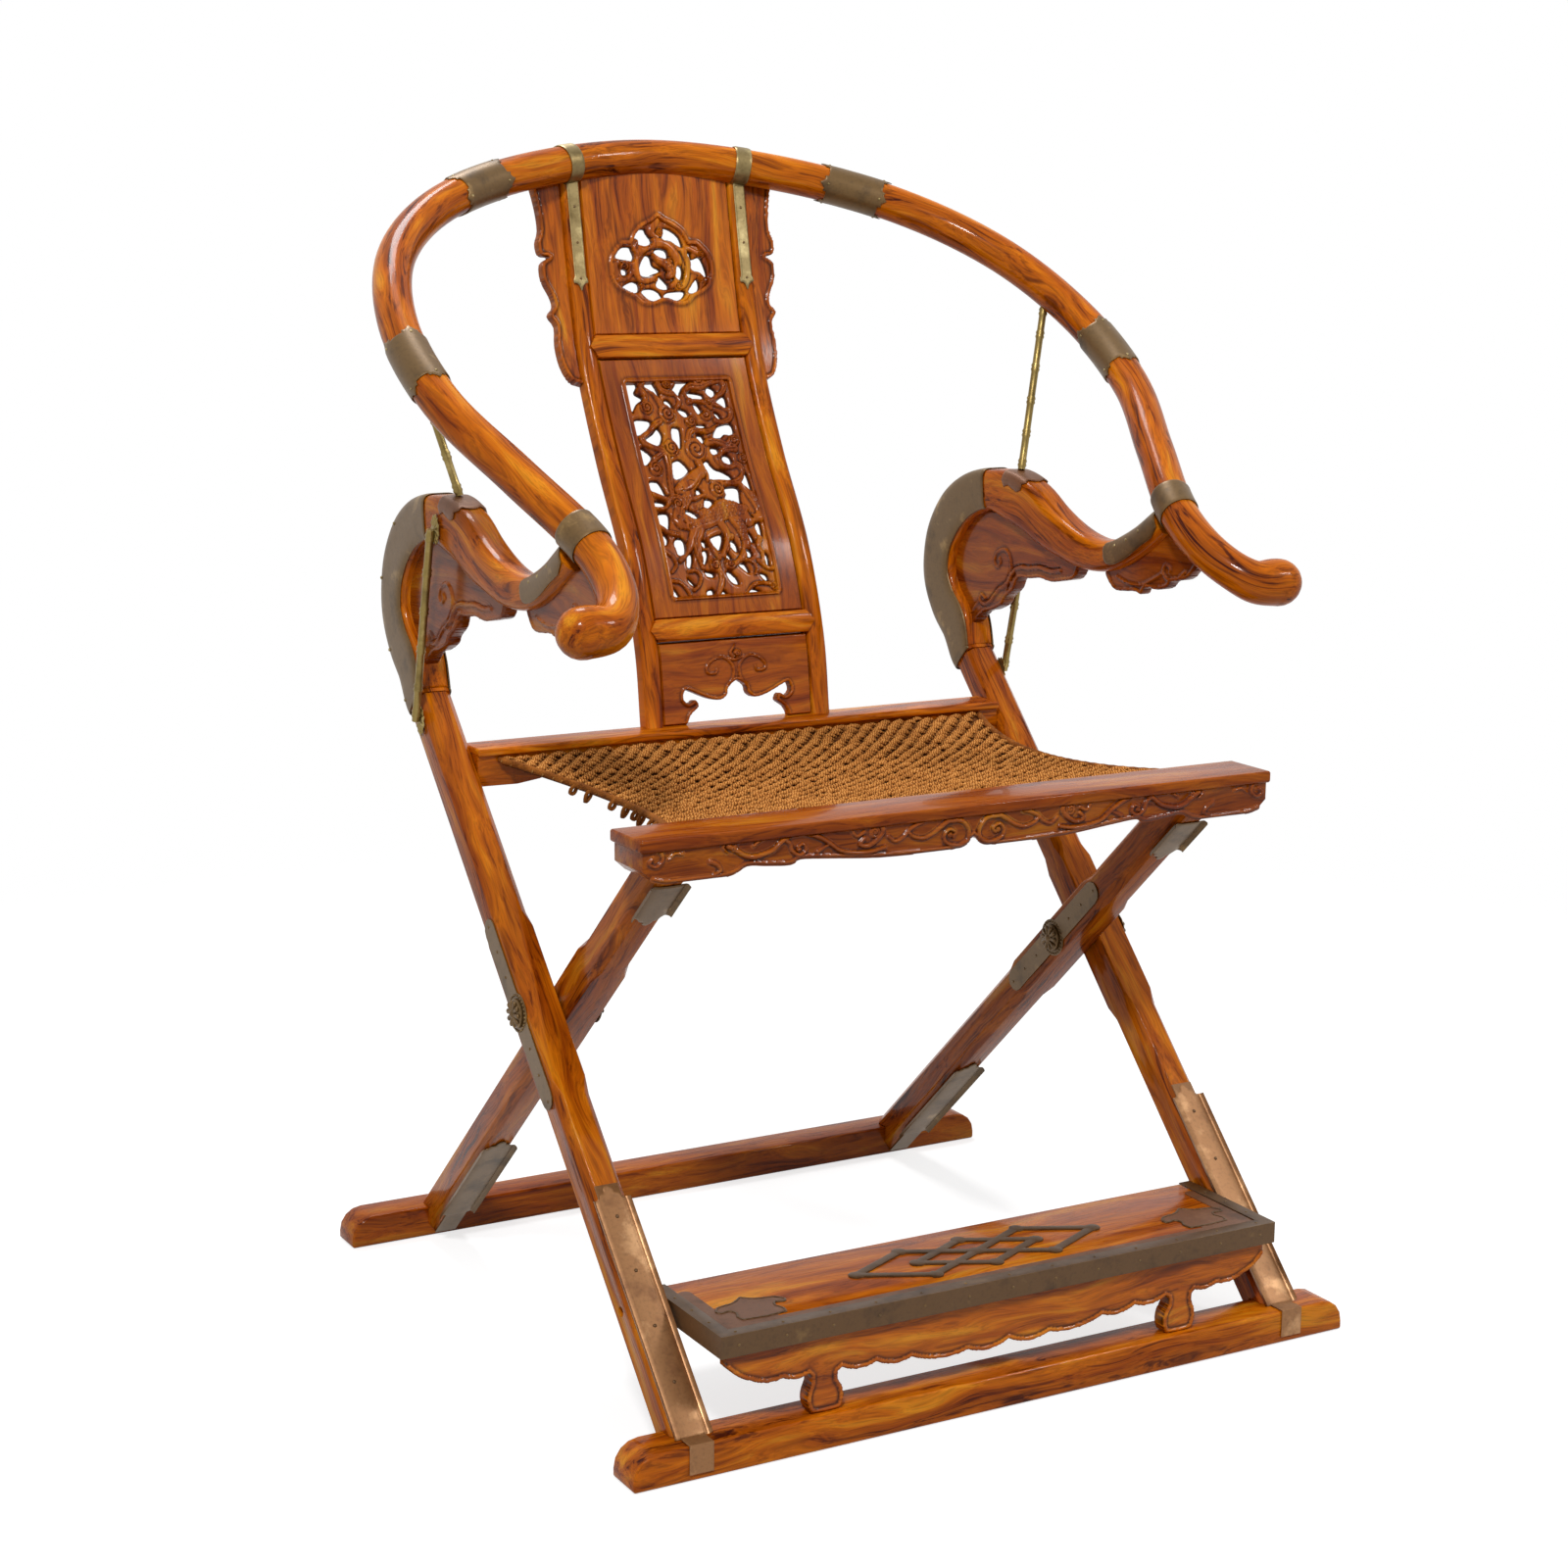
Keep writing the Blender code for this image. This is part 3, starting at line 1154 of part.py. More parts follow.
def build_back_straps():
    for side_name, side in SIDES:
        ring = rail_shell("back_strap_" + side_name, BACK_RING_SHARES, side)
        middle = side * (BACK_HALF_WIDTH - BACK_STILE_WIDTH / 2)
        strip = cutter(back_slab(
            "back_strip_" + side_name, BACK_HEIGHT - ARM_RAIL_RADIUS - BACK_STRAP_DROP, BACK_HEIGHT,
            -FIT_GAP - BRASS_SHEET, -FIT_GAP,
            middle - BACK_STRAP_WIDTH / 2, middle + BACK_STRAP_WIDTH / 2,
        ))
        part(cut(join(ring, strip), RAIL_SPACE), OUTER, BRIGHT_BRASS)


build_stiles()
build_cross_rails()
build_panels()
build_wings()
build_back_straps()


# Footrest
def build_footrest():
    half, front = FOOTREST_HALF_LENGTH, FOOTREST_FACE_Y
    back, top = FOOTREST_FACE_Y + FOOTREST_DEPTH, FOOTREST_TOP_Z
    low = FOOTREST_TOP_Z - FOOTREST_THICKNESS
    sheet = BRASS_SHEET
    board = block(
        "footrest_board", (sheet + FIT_GAP - half, front + sheet + FIT_GAP, low),
        (half - sheet - FIT_GAP, back, top - sheet - FIT_GAP),
    )
    part(cut(board, *FOOT_HOLES), FOOTREST, ROSEWOOD)
    edging = block("footrest_edging", (-half, front, low), (half, back, top))
    hollow = cutter(block(
        "footrest_board_space", (sheet - half, front + sheet, low - OVERRUN),
        (half - sheet, back + OVERRUN, top - sheet),
    ))
    strip = FOOTREST_STRIP
    window = cutter(block(
        "footrest_top_space", (strip - half, front + strip, low - OVERRUN),
        (half - strip, back + OVERRUN, top + OVERRUN),
    ))
    part(cut(edging, hollow, window, *FOOT_HOLES), FOOTREST, BRASS)
    drop = low - FIT_GAP - BASE_HEIGHT - FIT_GAP
    outline = apron_outline(APRON_HALF_LENGTH, low - FIT_GAP, drop, APRON_EDGE_SHARES)
    apron = slab(
        "footrest_apron", outline, front + APRON_SETBACK, front + APRON_SETBACK + APRON_THICKNESS, ACROSS,
    )
    part(apron, FOOTREST, ROSEWOOD)
    for side_name, side in SIDES:
        inner, outer = side * (half - FOOTREST_PIN_INSET), side * OUTER_LEG_X
        piece = pin(
            "footrest_pin_" + side_name, FOOTREST_PIN_RADIUS, min(inner, outer), max(inner, outer),
            FOOTREST_PIN_Y, FOOTREST_PIN_Z, FOOTREST_PIN_SIDES,
        )
        part(piece, OUTER, STEEL)


build_footrest()
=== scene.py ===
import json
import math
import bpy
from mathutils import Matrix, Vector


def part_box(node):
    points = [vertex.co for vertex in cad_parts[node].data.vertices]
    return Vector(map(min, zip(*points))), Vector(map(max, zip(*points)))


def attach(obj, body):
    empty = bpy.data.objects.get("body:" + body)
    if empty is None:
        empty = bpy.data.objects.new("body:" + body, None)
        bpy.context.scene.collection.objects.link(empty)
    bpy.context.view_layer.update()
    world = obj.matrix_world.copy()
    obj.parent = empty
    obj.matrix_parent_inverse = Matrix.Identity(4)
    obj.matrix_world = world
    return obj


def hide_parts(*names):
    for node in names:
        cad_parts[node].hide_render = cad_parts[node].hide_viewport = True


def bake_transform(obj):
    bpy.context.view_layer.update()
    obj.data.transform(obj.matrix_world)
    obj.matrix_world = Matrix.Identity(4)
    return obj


bl_info = {
    "name": "Folding horseshoe armchair",
    "version": (1, 0, 0),
    "blender": (4, 5, 0),
    "location": "View3D > Sidebar > Chair",
    "description": "Dresses a packed folding armchair with carved rosewood, brass and a woven rope seat",
    "category": "Object",
}

import bmesh
import bpy
import numpy as np
from mathutils import Matrix, Vector

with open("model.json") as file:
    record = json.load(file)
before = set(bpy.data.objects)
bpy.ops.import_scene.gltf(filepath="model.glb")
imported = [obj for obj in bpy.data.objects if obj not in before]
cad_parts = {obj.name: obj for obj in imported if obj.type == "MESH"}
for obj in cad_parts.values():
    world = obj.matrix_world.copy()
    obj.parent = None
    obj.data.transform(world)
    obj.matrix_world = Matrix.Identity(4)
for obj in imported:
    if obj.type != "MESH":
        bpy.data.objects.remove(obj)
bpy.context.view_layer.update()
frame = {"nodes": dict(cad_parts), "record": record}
BODIES = {node: body for body, nodes in frame["record"]["behaviour"]["bodies"].items() for node in nodes}
MM = 0.001
TURN = 2 * math.pi
X, Y, Z = (1, 0, 0), (0, 1, 0), (0, 0, 1)

# Camera of the photograph
CAMERA_PLACE = (-1.2965, -2.2483, 1.007)
CAMERA_YAW = 29.53
CAMERA_PITCH = 11.55
CAMERA_ROLL = 0.468
FOCAL_PX = 2923.93
CENTRE_PX = (807.32, 800.95)
IMAGE_PX = 1600
SENSOR = 36.0

# Lines that the solids follow
PIVOT = Vector((-0.0408, 0.3112))
OUTER_LEG_X = 0.300
OUTER_LEG_WIDTH = 0.033
OUTER_LEG_THICKNESS = 0.034
OUTER_LEG_ANGLE = math.radians(45.95)
OUTER_LEG_REACH = 0.330
INNER_LEG_X = 0.2635
INNER_LEG_WIDTH = 0.035
INNER_LEG_THICKNESS = 0.035
INNER_LEG_ANGLE = math.radians(42.9)
BASE_HEIGHT = 0.030
FRONT_RAIL_FACE_Y = -0.2752
FRONT_RAIL_HALF_LENGTH = 0.3143
FRONT_RAIL_SETBACK = 0.003
FRONT_RAIL_TOP_Z = 0.5101
FRONT_RAIL_LIP = 0.0105
FRONT_RAIL_DEPTH = 0.0573
FRONT_RAIL_APRON_DROP = 0.0265
FRONT_RAIL_EDGE_SHARES = (
    (0.0, 0.62), (0.05, 0.95), (0.12, 1.0), (0.30, 0.96), (0.45, 0.80), (0.54, 0.72),
    (0.57, 0.86), (0.64, 0.80), (0.70, 0.74), (0.76, 1.0), (0.92, 1.0), (0.97, 0.90), (1.0, 0.60),
)
REAR_RAIL_FACE_Y = 0.117
REAR_RAIL_TOP_Z = 0.5145
REAR_RAIL_LIP = 0.0074
REAR_RAIL_SETBACK = 0.004
SEAT_HALF_WIDTH = 0.264
SEAT_WAIST = 0.037
SEAT_SAG = 0.010
SEAT_FRONT_DROP = 0.003
GAP = 0.0003
SHEET = 0.0012
RAIL_RADIUS = 0.0175
RAIL_SPREAD = 0.358
RAIL_FRONT_Y = -0.2350
RAIL_BACK_Y = 0.3342
RAIL_BACK_Z = 1.0459
RAIL_SLOPE = 0.655
RAIL_PLAN = (
    (0.0, 1.0), (0.361, 0.966), (0.679, 0.884), (0.897, 0.759), (0.998, 0.600), (0.996, 0.437),
    (0.910, 0.290), (0.831, 0.160), (0.829, 0.070), (0.885, 0.009), (0.964, 0.0),
)
RAIL_LAST = len(RAIL_PLAN) - 1
RAIL_STEPS = 5
KNOB_RADIUS = 0.0215
KNOB_START = 8.4
SHOULDER_JOINT = 1.64
ARM_JOINT = 4.585
UPPER_SLEEVE = (1.35, 1.93)
ARM_SLEEVE = (4.22, 4.88)
BACK_RING = (0.66, 0.78)
ARM_RING = (6.76, 7.12)
POST_WIDTH = 0.033
NECK_WIDTH = 0.028
BEND = (
    (0.2489, 0.2704, 0.0480), (0.2699, 0.2914, 0.0490), (0.2834, 0.3164, 0.0490),
    (0.2829, 0.3424, 0.0490), (0.2744, 0.3639, 0.0490), (0.2554, 0.3864, 0.0480),
    (0.2279, 0.4034, 0.0440), (0.1945, 0.4123, 0.0410),
)
NECK = (
    (0.1589, 0.4094, 0.0490), (0.1269, 0.4004, 0.0490),
    (0.0969, 0.3864, 0.0440), (0.0659, 0.3758, 0.0380), (0.0359, 0.3684, 0.0350),
    (0.0049, 0.3668, 0.0310), (-0.0261, 0.3728, 0.0285), (-0.0561, 0.3868, 0.0275),
    (-0.0881, 0.4079, 0.0275),
)
BACK_HALF_WIDTH = 0.1005
STILE_WIDTH = 0.0185
BACK_FOOT_Y = REAR_RAIL_FACE_Y + 0.022
BACK_CURVE = (
    (0.0, 0.0), (0.070, 0.1475), (0.248, 0.315), (0.523, 0.476), (0.754, 0.638), (0.867, 0.771),
    (1.0, 1.0),
)
CROSS_RAIL = 0.021
UPPER_DROP = 0.1735
LOWER_RISE = 0.0905
PANEL_HALF = BACK_HALF_WIDTH - STILE_WIDTH - GAP
PANEL_RECESS = 0.004
SIDES = (("left", -1), ("right", 1))

# Where small pieces sit: rods' ends (y, z from the pivot, and a place on the rail), plates and rings
UPPER_ROD_FOOT = (0.1538, 0.4356)
UPPER_ROD_PLACE = 3.58
LOWER_ROD_TOP = (0.1673, 0.4048)
LOWER_ROD_FOOT = (0.2104, 0.2248)
ROD_RADIUS = 0.0036
ROD_STAND_OFF = 0.0045
HEAD_PLATE_TOP_Z = 0.4592
# The sheet wrapped round a leg: past its sides, up from its face, and down at its edges
WRAP_MARGIN = 0.7 * MM
WRAP_RISE = 1.9 * MM
WRAP_ROLL = 5.2 * MM
FOOTREST_TOP_Z = 0.1141
EDGING_TOP_Z = 0.1156
BEAD_RING = 0.0158
BEADS = 28

# One stitch of the seat
STITCH_LENGTH = 0.0200
STRAND_RADIUS = 0.00185
STRAND_APART = 0.00175
ARCH_RISE = 0.0034

# How square the post is at the leg and at the neck's tip: the power of its rounded outline
LEG_POWER = 5.0
TIP_POWER = 2.2

# Light: what the floor gives off itself to the camera, and how much the white room lights the chair
FLOOR_GLOW = 0.74
ROOM_LIGHT = 0.31

# How near to an outline a point of a carving grid has to be, in grid steps, to be drawn onto it
SNAP = 0.62

OUTER_LEAN = Vector((math.cos(OUTER_LEG_ANGLE), math.sin(OUTER_LEG_ANGLE)))
INNER_LEAN = Vector((-math.cos(INNER_LEG_ANGLE), math.sin(INNER_LEG_ANGLE)))
# The outer side of the pivot plates and of the bends' plates
OUTER_FACE = OUTER_LEG_X + OUTER_LEG_WIDTH / 2 + GAP + SHEET
INNER_FACE = INNER_LEG_X - INNER_LEG_WIDTH / 2 - GAP - SHEET
# How far the figure moves along and across the fibres from one board to the next, in metres
BOARD_SHIFT = 0.37
BOARD_STEP = 0.01
# A height that stands for no wood at all
NOWHERE = -1e9


# Smooth lines
def smooth(points, place):
    """A point on the smooth curve through evenly counted points."""
    last = len(points) - 1
    start = min(max(int(math.floor(place)), 0), last - 1)
    share = place - start
    first, second = Vector(points[start]), Vector(points[start + 1])
    before = Vector(points[start - 1]) if start else 2 * first - second
    after = Vector(points[start + 2]) if start + 2 <= last else 2 * second - first
    return 0.5 * (
        2 * first + (second - before) * share
        + (2 * before - 5 * first + 4 * second - after) * share**2
        + (3 * first - before - 3 * second + after) * share**3
    )


def smooth_line(points, steps):
    """The smooth curve through the points, with that many steps between two of them."""
    return [smooth(points, n / steps) for n in range((len(points) - 1) * steps + 1)]


def flat_smooth(points, steps=3):
    """The smooth line through points (x, y)."""
    return [(p[0], p[1]) for p in smooth_line([Vector((*p, 0)) for p in points], steps)]


def closed(points, steps=3):
    """The smooth outline through points set round a void."""
    return flat_smooth((points[-1], *points, points[0], points[1]), steps)[steps:-steps - 1]


def round_again(points):
    """An outline with its first point once more at its end."""
    return [*points, points[0]]


def both_halves(points):
    """A whole outline from its right half."""
    return list(points[::-1]) + [(-x, y) for x, y in points[1:]]


def folded_over(points):
    """Both sides of an outline that is given on one side of its tip."""
    return [*points, *((x, -y) for x, y in points[:0:-1])]


def rectangle(left, low, right, high):
    return [(left, low), (right, low), (right, high), (left, high)]


def round_corners(left, low, right, high, size):
    corners = ((right, high, 0), (left, high, 90), (left, low, 180), (right, low, 270))
    return [(x + (size if x < 0 else -size) + size * math.cos(math.radians(turn + step)),
             y + (size if turn in (180, 270) else -size) + size * math.sin(math.radians(turn + step)))
            for x, y, turn in corners for step in (0, 30, 60, 90)]


def inset(line, by):
    """A line moved sideways, to its left where by is positive."""
    moved = []
    for before, here, after in zip(line[:1] + line[:-1], line, line[1:] + line[-1:]):
        run, rise = after[0] - before[0], after[1] - before[1]
        size = math.hypot(run, rise) or 1
        moved.append((here[0] - rise / size * by, here[1] + run / size * by))
    return moved


def rail_control(number):
    """A point that the rail's middle goes through, counted from its own middle to either end."""
    wide, run = RAIL_PLAN[abs(number)]
    y = RAIL_FRONT_Y + run * (RAIL_BACK_Y - RAIL_FRONT_Y)
    return (math.copysign(wide * RAIL_SPREAD, number), y, RAIL_BACK_Z + RAIL_SLOPE * (y - RAIL_BACK_Y))


RAIL_CONTROLS = [rail_control(number) for number in range(-RAIL_LAST, RAIL_LAST + 1)]
RAIL_LINE = smooth_line(RAIL_CONTROLS, RAIL_STEPS)


def rail_point(place):
    """The rail's centre on the chords that the solids follow."""
    along = (place + RAIL_LAST) * RAIL_STEPS
    start = min(max(int(math.floor(along)), 0), len(RAIL_LINE) - 2)
    return RAIL_LINE[start].lerp(RAIL_LINE[start + 1], along - start)


def rail_middle(place):
    """The rail's middle as a smooth curve."""
    return smooth(RAIL_CONTROLS, place + RAIL_LAST)


def leg_point(lean, distance, across=0.0):
    """A place on a leg (y, z): along it from the pivot, and off its middle towards its upper side."""
    return PIVOT + lean * distance + Vector((-lean.y, lean.x)) * across


BACK_TOP = rail_point(BACK_RING[0])
BACK_HEIGHT = BACK_TOP.z - REAR_RAIL_TOP_Z
BACK_RAKE = BACK_TOP.y - 0.002 - BACK_FOOT_Y
BACK_CONTROLS = [
    (BACK_FOOT_Y + BACK_RAKE * rake, REAR_RAIL_TOP_Z + BACK_HEIGHT * rise) for rake, rise in BACK_CURVE
]
BACK_FINE = np.array([tuple(place) for place in smooth_line(BACK_CONTROLS, 24)])
UPPER_RAIL = BACK_HEIGHT - UPPER_DROP


def on_back(front):
    """Places on the curved back: across it, up from the seat rail, and out from that far behind its front."""
    def place(u, w, h):
        rise, depth, step = REAR_RAIL_TOP_Z + w, front - h, 0.003
        here, above, below = (np.interp(z, BACK_FINE[:, 1], BACK_FINE[:, 0]) for z in (rise, rise + step, rise - step))
        lean = (above - below) / (2 * step)
        size = np.sqrt(1 + lean * lean)
        return np.stack([u, here + depth / size, rise - depth * lean / size], axis=-1)
    return place


def on_plane(origin, across, up, out):
    """Places on a flat face, from an origin and three directions."""
    axes = [np.array(axis, float) for axis in (across, up, out)]
    return lambda u, w, h: np.array(origin) + sum(np.outer(run, axis) for run, axis in zip((u, w, h), axes))


def on_band(point, start, end, radius):
    """Places on a tube round a line: along it, round it, and out from its skin; and its length in millimetres."""
    middle = (start + end) / 2
    span = (point(end) - point(start)).length
    per_metre = (end - start) / span

    def place(u, w, h):
        spots = np.empty((len(u), 3))
        for number, (along, around, out) in enumerate(zip(u, w, h)):
            here = middle + along * per_metre
            step = (point(here + 0.02) - point(here - 0.02)).normalized()
            side = step.cross(Vector(Z)).normalized()
            up = side.cross(step)
            turn = around / radius
            spots[number] = point(here) + (side * math.sin(turn) + up * math.cos(turn)) * (radius + out)
        return spots
    return place, span / MM


# Node trees
def linear(code):
    """Linear colour of an sRGB hex value."""
    shares = [int(code[n:n + 2], 16) / 255 for n in (1, 3, 5)]
    return [s / 12.92 if s <= 0.04045 else ((s + 0.055) / 1.055) ** 2.4 for s in shares] + [1.0]


def add(tree, kind, values=None, links=None, stops=(), **settings):
    """Adds one node with its settings, its values, what is linked into it and its colour stops.

    A node that is linked from gives its first output in use.
    """
    node = tree.nodes.new(kind)
    for key, value in settings.items():
        setattr(node, key, value)
    for key, value in (values or {}).items():
        node.inputs[key].default_value = value
    for key, source in (links or {}).items():
        if isinstance(source, bpy.types.Node):
            source = next(socket for socket in source.outputs if socket.enabled)
        tree.links.new(source, node.inputs[key])
    if stops:
        band = node.color_ramp.elements
        while len(band) < len(stops):
            band.new(0.5)
        for stop, (place, code) in zip(band, stops):
            stop.position = place
            stop.color = linear(code) if isinstance(code, str) else (code, code, code, 1)
    return node


def material(name):
    """An empty material and its tree."""
    made = bpy.data.materials.new(name)
    made.use_nodes = True
    made.node_tree.nodes.clear()
    return made, made.node_tree


def oiled_rosewood(name, dark=0.0, carved=False, figure=1.0):
    """Sawn, carved and oil-polished rosewood: broad amber figure, a few near-black veins and a wet gloss.

    The grain attribute holds metres along and across the fibres: figure 20 to 40 mm wide, veins 2 to 4 mm,
    fibres 1 mm, which are drawn about twice as coarse as the real ones so that they show.
    """
    made, tree = material(name)
    grain = add(tree, "ShaderNodeAttribute", attribute_name="grain").outputs["Vector"]
    slow = add(tree, "ShaderNodeMapping", {"Scale": (6, 22, 22)}, {"Vector": grain})
    bend = add(tree, "ShaderNodeTexNoise", {"Scale": 1.0, "Detail": 2.0}, {"Vector": slow}).outputs["Color"]
    swirl = add(tree, "ShaderNodeVectorMath", {1: (0.5, 0.5, 0.5)}, {0: bend}, operation="SUBTRACT")
    pull = add(tree, "ShaderNodeVectorMath", {1: (0.02, 0.045, 0.045)}, {0: swirl}, operation="MULTIPLY")
    moved = add(tree, "ShaderNodeVectorMath", links={0: grain, 1: pull}, operation="ADD")
    layers = []
    for scale, detail in (((5, 60, 60), 3.0), ((7, 330, 330), 3.0), ((26, 900, 900), 2.0)):
        long_way = add(tree, "ShaderNodeMapping", {"Scale": scale}, {"Vector": moved})
        layers.append(add(tree, "ShaderNodeTexNoise", {"Scale": 1.0, "Detail": detail, "Roughness": 0.6},
                          {"Vector": long_way}))
    broad, vein, fibre = layers
    rings = add(tree, "ShaderNodeTexWave", {"Scale": 13.0, "Distortion": 2.0, "Detail": 2.0, "Detail Scale": 1.5},
                {"Vector": moved}, wave_type="RINGS", rings_direction="X", wave_profile="SAW").outputs["Fac"]
    wood = add(tree, "ShaderNodeValToRGB", links={"Fac": broad}, stops=(
        (0.30, "#7a2c03"), (0.44, "#ad5004"), (0.57, "#d27008"), (0.70, "#f0a024")))
    ring = add(tree, "ShaderNodeValToRGB", links={"Fac": rings}, stops=(
        (0.0, "#6a2703"), (0.14, "#bd5c06"), (0.8, "#d8780e"), (1.0, "#9c4405")))
    body = add(tree, "ShaderNodeMix", {0: 0.30}, {6: wood, 7: ring}, data_type="RGBA")
    lines = add(tree, "ShaderNodeValToRGB", links={"Fac": fibre}, stops=((0.36, 0.50), (0.55, 1.0)))
    fine = add(tree, "ShaderNodeMix", {0: 0.55}, {6: body, 7: lines}, data_type="RGBA", blend_type="MULTIPLY")
    group = add(tree, "ShaderNodeMapRange", {"From Min": 0.60, "From Max": 0.36, "To Max": figure}, {"Value": broad})
    thin = add(tree, "ShaderNodeMapRange", {"From Min": 0.50, "From Max": 0.38}, {"Value": vein})
    streak = add(tree, "ShaderNodeMath", links={0: group, 1: thin}, operation="MULTIPLY")
    colour = add(tree, "ShaderNodeMix", {7: linear("#431203")}, {0: streak, 6: fine}, data_type="RGBA")
    if carved:
        # Painted shade: the hollow attribute darkens recesses and cut rims towards near black
        deep = add(tree, "ShaderNodeAttribute", attribute_name="hollow").outputs["Fac"]
        colour = add(tree, "ShaderNodeMix", {7: linear("#1c0500")}, {0: deep, 6: colour}, data_type="RGBA")
    if dark:
        colour = add(tree, "ShaderNodeMix", {0: dark, 7: linear("#5c1d04")}, {6: colour}, data_type="RGBA")
    bump = add(tree, "ShaderNodeBump", {"Strength": 0.08, "Distance": 0.0004}, {"Height": fibre})
    rough = add(tree, "ShaderNodeMapRange", {"To Min": 0.20, "To Max": 0.36}, {"Value": vein})
    # Oil leaves a thin film over open pores: it is thicker and duller where the wood is carved
    shader = add(tree, "ShaderNodeBsdfPrincipled", {
        "IOR": 1.50, "Specular IOR Level": 0.03,
        "Coat Weight": 0.34 if carved else 0.17, "Coat Roughness": 0.14 if carved else 0.07,
    }, {"Base Color": colour, "Normal": bump, "Roughness": rough})
    add(tree, "ShaderNodeOutputMaterial", links={"Surface": shader})
    return made


def brass(name, base, worn, deep, rough, wear, metal=0.62):
    """Hammered sheet brass, decades old: a dull brown oxide skin with verdigris pits, rubbed paler in patches."""
    made, tree = material(name)
    place = add(tree, "ShaderNodeTexCoord").outputs["Object"]
    cloud = add(tree, "ShaderNodeTexNoise", {"Scale": 30.0, "Detail": 5.0, "Roughness": 0.6}, {"Vector": place})
    pits = add(tree, "ShaderNodeTexNoise", {"Scale": 360.0, "Detail": 3.0}, {"Vector": place})
    skin = add(tree, "ShaderNodeValToRGB", links={"Fac": cloud}, stops=(
        (0.28, deep), (0.46, base), (wear, base), (wear + 0.12, worn)))
    tone = add(tree, "ShaderNodeValToRGB", links={"Fac": pits}, stops=((0.30, 0.62), (0.50, 1.0)))
    colour = add(tree, "ShaderNodeMix", {0: 0.5}, {6: skin, 7: tone}, data_type="RGBA", blend_type="MULTIPLY")
    dull = add(tree, "ShaderNodeMapRange", {"From Min": 0.3, "From Max": 0.7, "To Min": rough + 0.10, "To Max": rough},
               {"Value": cloud})
    bump = add(tree, "ShaderNodeBump", {"Strength": 0.15, "Distance": 0.0003}, {"Height": pits})
    shader = add(tree, "ShaderNodeBsdfPrincipled", {"Metallic": metal},
                 {"Base Color": colour, "Normal": bump, "Roughness": dull})
    add(tree, "ShaderNodeOutputMaterial", links={"Surface": shader})
    return made


def palm_rope(name, light, middle, deep):
    """Two-ply rope of twisted palm fibre, dry and hairy: plies 2 mm wide wind round each stitch."""
    made, tree = material(name)
    lay = add(tree, "ShaderNodeAttribute", attribute_name="lay").outputs["Vector"]
    place = add(tree, "ShaderNodeTexCoord").outputs["Object"]
    turn = add(tree, "ShaderNodeTexWave", {"Scale": 1.0, "Distortion": 0.6, "Detail": 1.0}, {"Vector": lay},
               bands_direction="X").outputs["Fac"]
    low = add(tree, "ShaderNodeSeparateXYZ", links={"Vector": lay}).outputs["Z"]
    tuft = add(tree, "ShaderNodeTexNoise", {"Scale": 55.0, "Detail": 3.0}, {"Vector": place})
    hair = add(tree, "ShaderNodeTexNoise", {"Scale": 700.0, "Detail": 3.0, "Roughness": 0.7}, {"Vector": place})
    mixed = add(tree, "ShaderNodeMath", {1: 0.42}, {0: turn}, operation="MULTIPLY")
    hairy = add(tree, "ShaderNodeMath", {1: 0.55}, {0: hair, 2: mixed}, operation="MULTIPLY_ADD")
    patchy = add(tree, "ShaderNodeMath", {1: 0.45}, {0: tuft, 2: hairy}, operation="MULTIPLY_ADD")
    tone = add(tree, "ShaderNodeValToRGB", links={"Fac": patchy}, stops=((0.40, deep), (0.66, middle), (0.92, light)))
    # Painted shade: the third value of the lay attribute darkens the rope where strands dip under the warp, and the
    # ground beneath the stitches
    shaded = add(tree, "ShaderNodeMix", {7: linear("#2a1203")}, {0: low, 6: tone}, data_type="RGBA")
    bump = add(tree, "ShaderNodeBump", {"Strength": 0.8, "Distance": 0.0009}, {"Height": hairy})
    shader = add(tree, "ShaderNodeBsdfPrincipled", {"Roughness": 0.85, "Specular IOR Level": 0.12},
                 {"Base Color": shaded, "Normal": bump})
    add(tree, "ShaderNodeOutputMaterial", links={"Surface": shader})
    return made


def seen_straight(tree):
    """1 for rays from the camera, a gloss or a glass, and 0 for those that only carry light."""
    rays = add(tree, "ShaderNodeLightPath").outputs
    sharp = add(tree, "ShaderNodeMath", links={0: rays["Is Glossy Ray"], 1: rays["Is Transmission Ray"]},
                operation="MAXIMUM")
    return add(tree, "ShaderNodeMath", links={0: rays["Is Camera Ray"], 1: sharp}, operation="MAXIMUM")


def plain_floor():
    """Matt white paper sweep: white to the camera, with the chair's shadow kept, and no edge to its far side."""
    made, tree = material("white_paper_floor")
    glow = add(tree, "ShaderNodeMath", {1: FLOOR_GLOW}, {0: seen_straight(tree)}, operation="MULTIPLY")
    paper = add(tree, "ShaderNodeBsdfPrincipled", {
        "Base Color": (0.45, 0.45, 0.45, 1), "Roughness": 0.95, "Specular IOR Level": 0.0,
        "Emission Color": (1, 1, 1, 1),
    }, {"Emission Strength": glow})
    place = add(tree, "ShaderNodeTexCoord").outputs["Object"]
    far = add(tree, "ShaderNodeVectorMath", links={0: place}, operation="LENGTH")
    fade = add(tree, "ShaderNodeMapRange", {"From Min": 1.0, "From Max": 1.9}, {"Value": far.outputs["Value"]},
               interpolation_type="SMOOTHSTEP")
    both = add(tree, "ShaderNodeMixShader", links={0: fade, 1: paper, 2: add(tree, "ShaderNodeBsdfTransparent")})
    add(tree, "ShaderNodeOutputMaterial", links={"Surface": both})
    return made


FINISH = {}
TREES = {}


# Meshes
def linked(name, data):
    """A new object in the scene."""
    made = bpy.data.objects.new(name, data)
    bpy.context.scene.collection.objects.link(made)
    return made


def write(mesh, label, values, kind="FLOAT_VECTOR", key="vector"):
    """Writes an attribute of a mesh's points."""
    layer = mesh.attributes.get(label) or mesh.attributes.new(label, kind, "POINT")
    layer.data.foreach_set(key, np.asarray(values, np.float32).ravel())


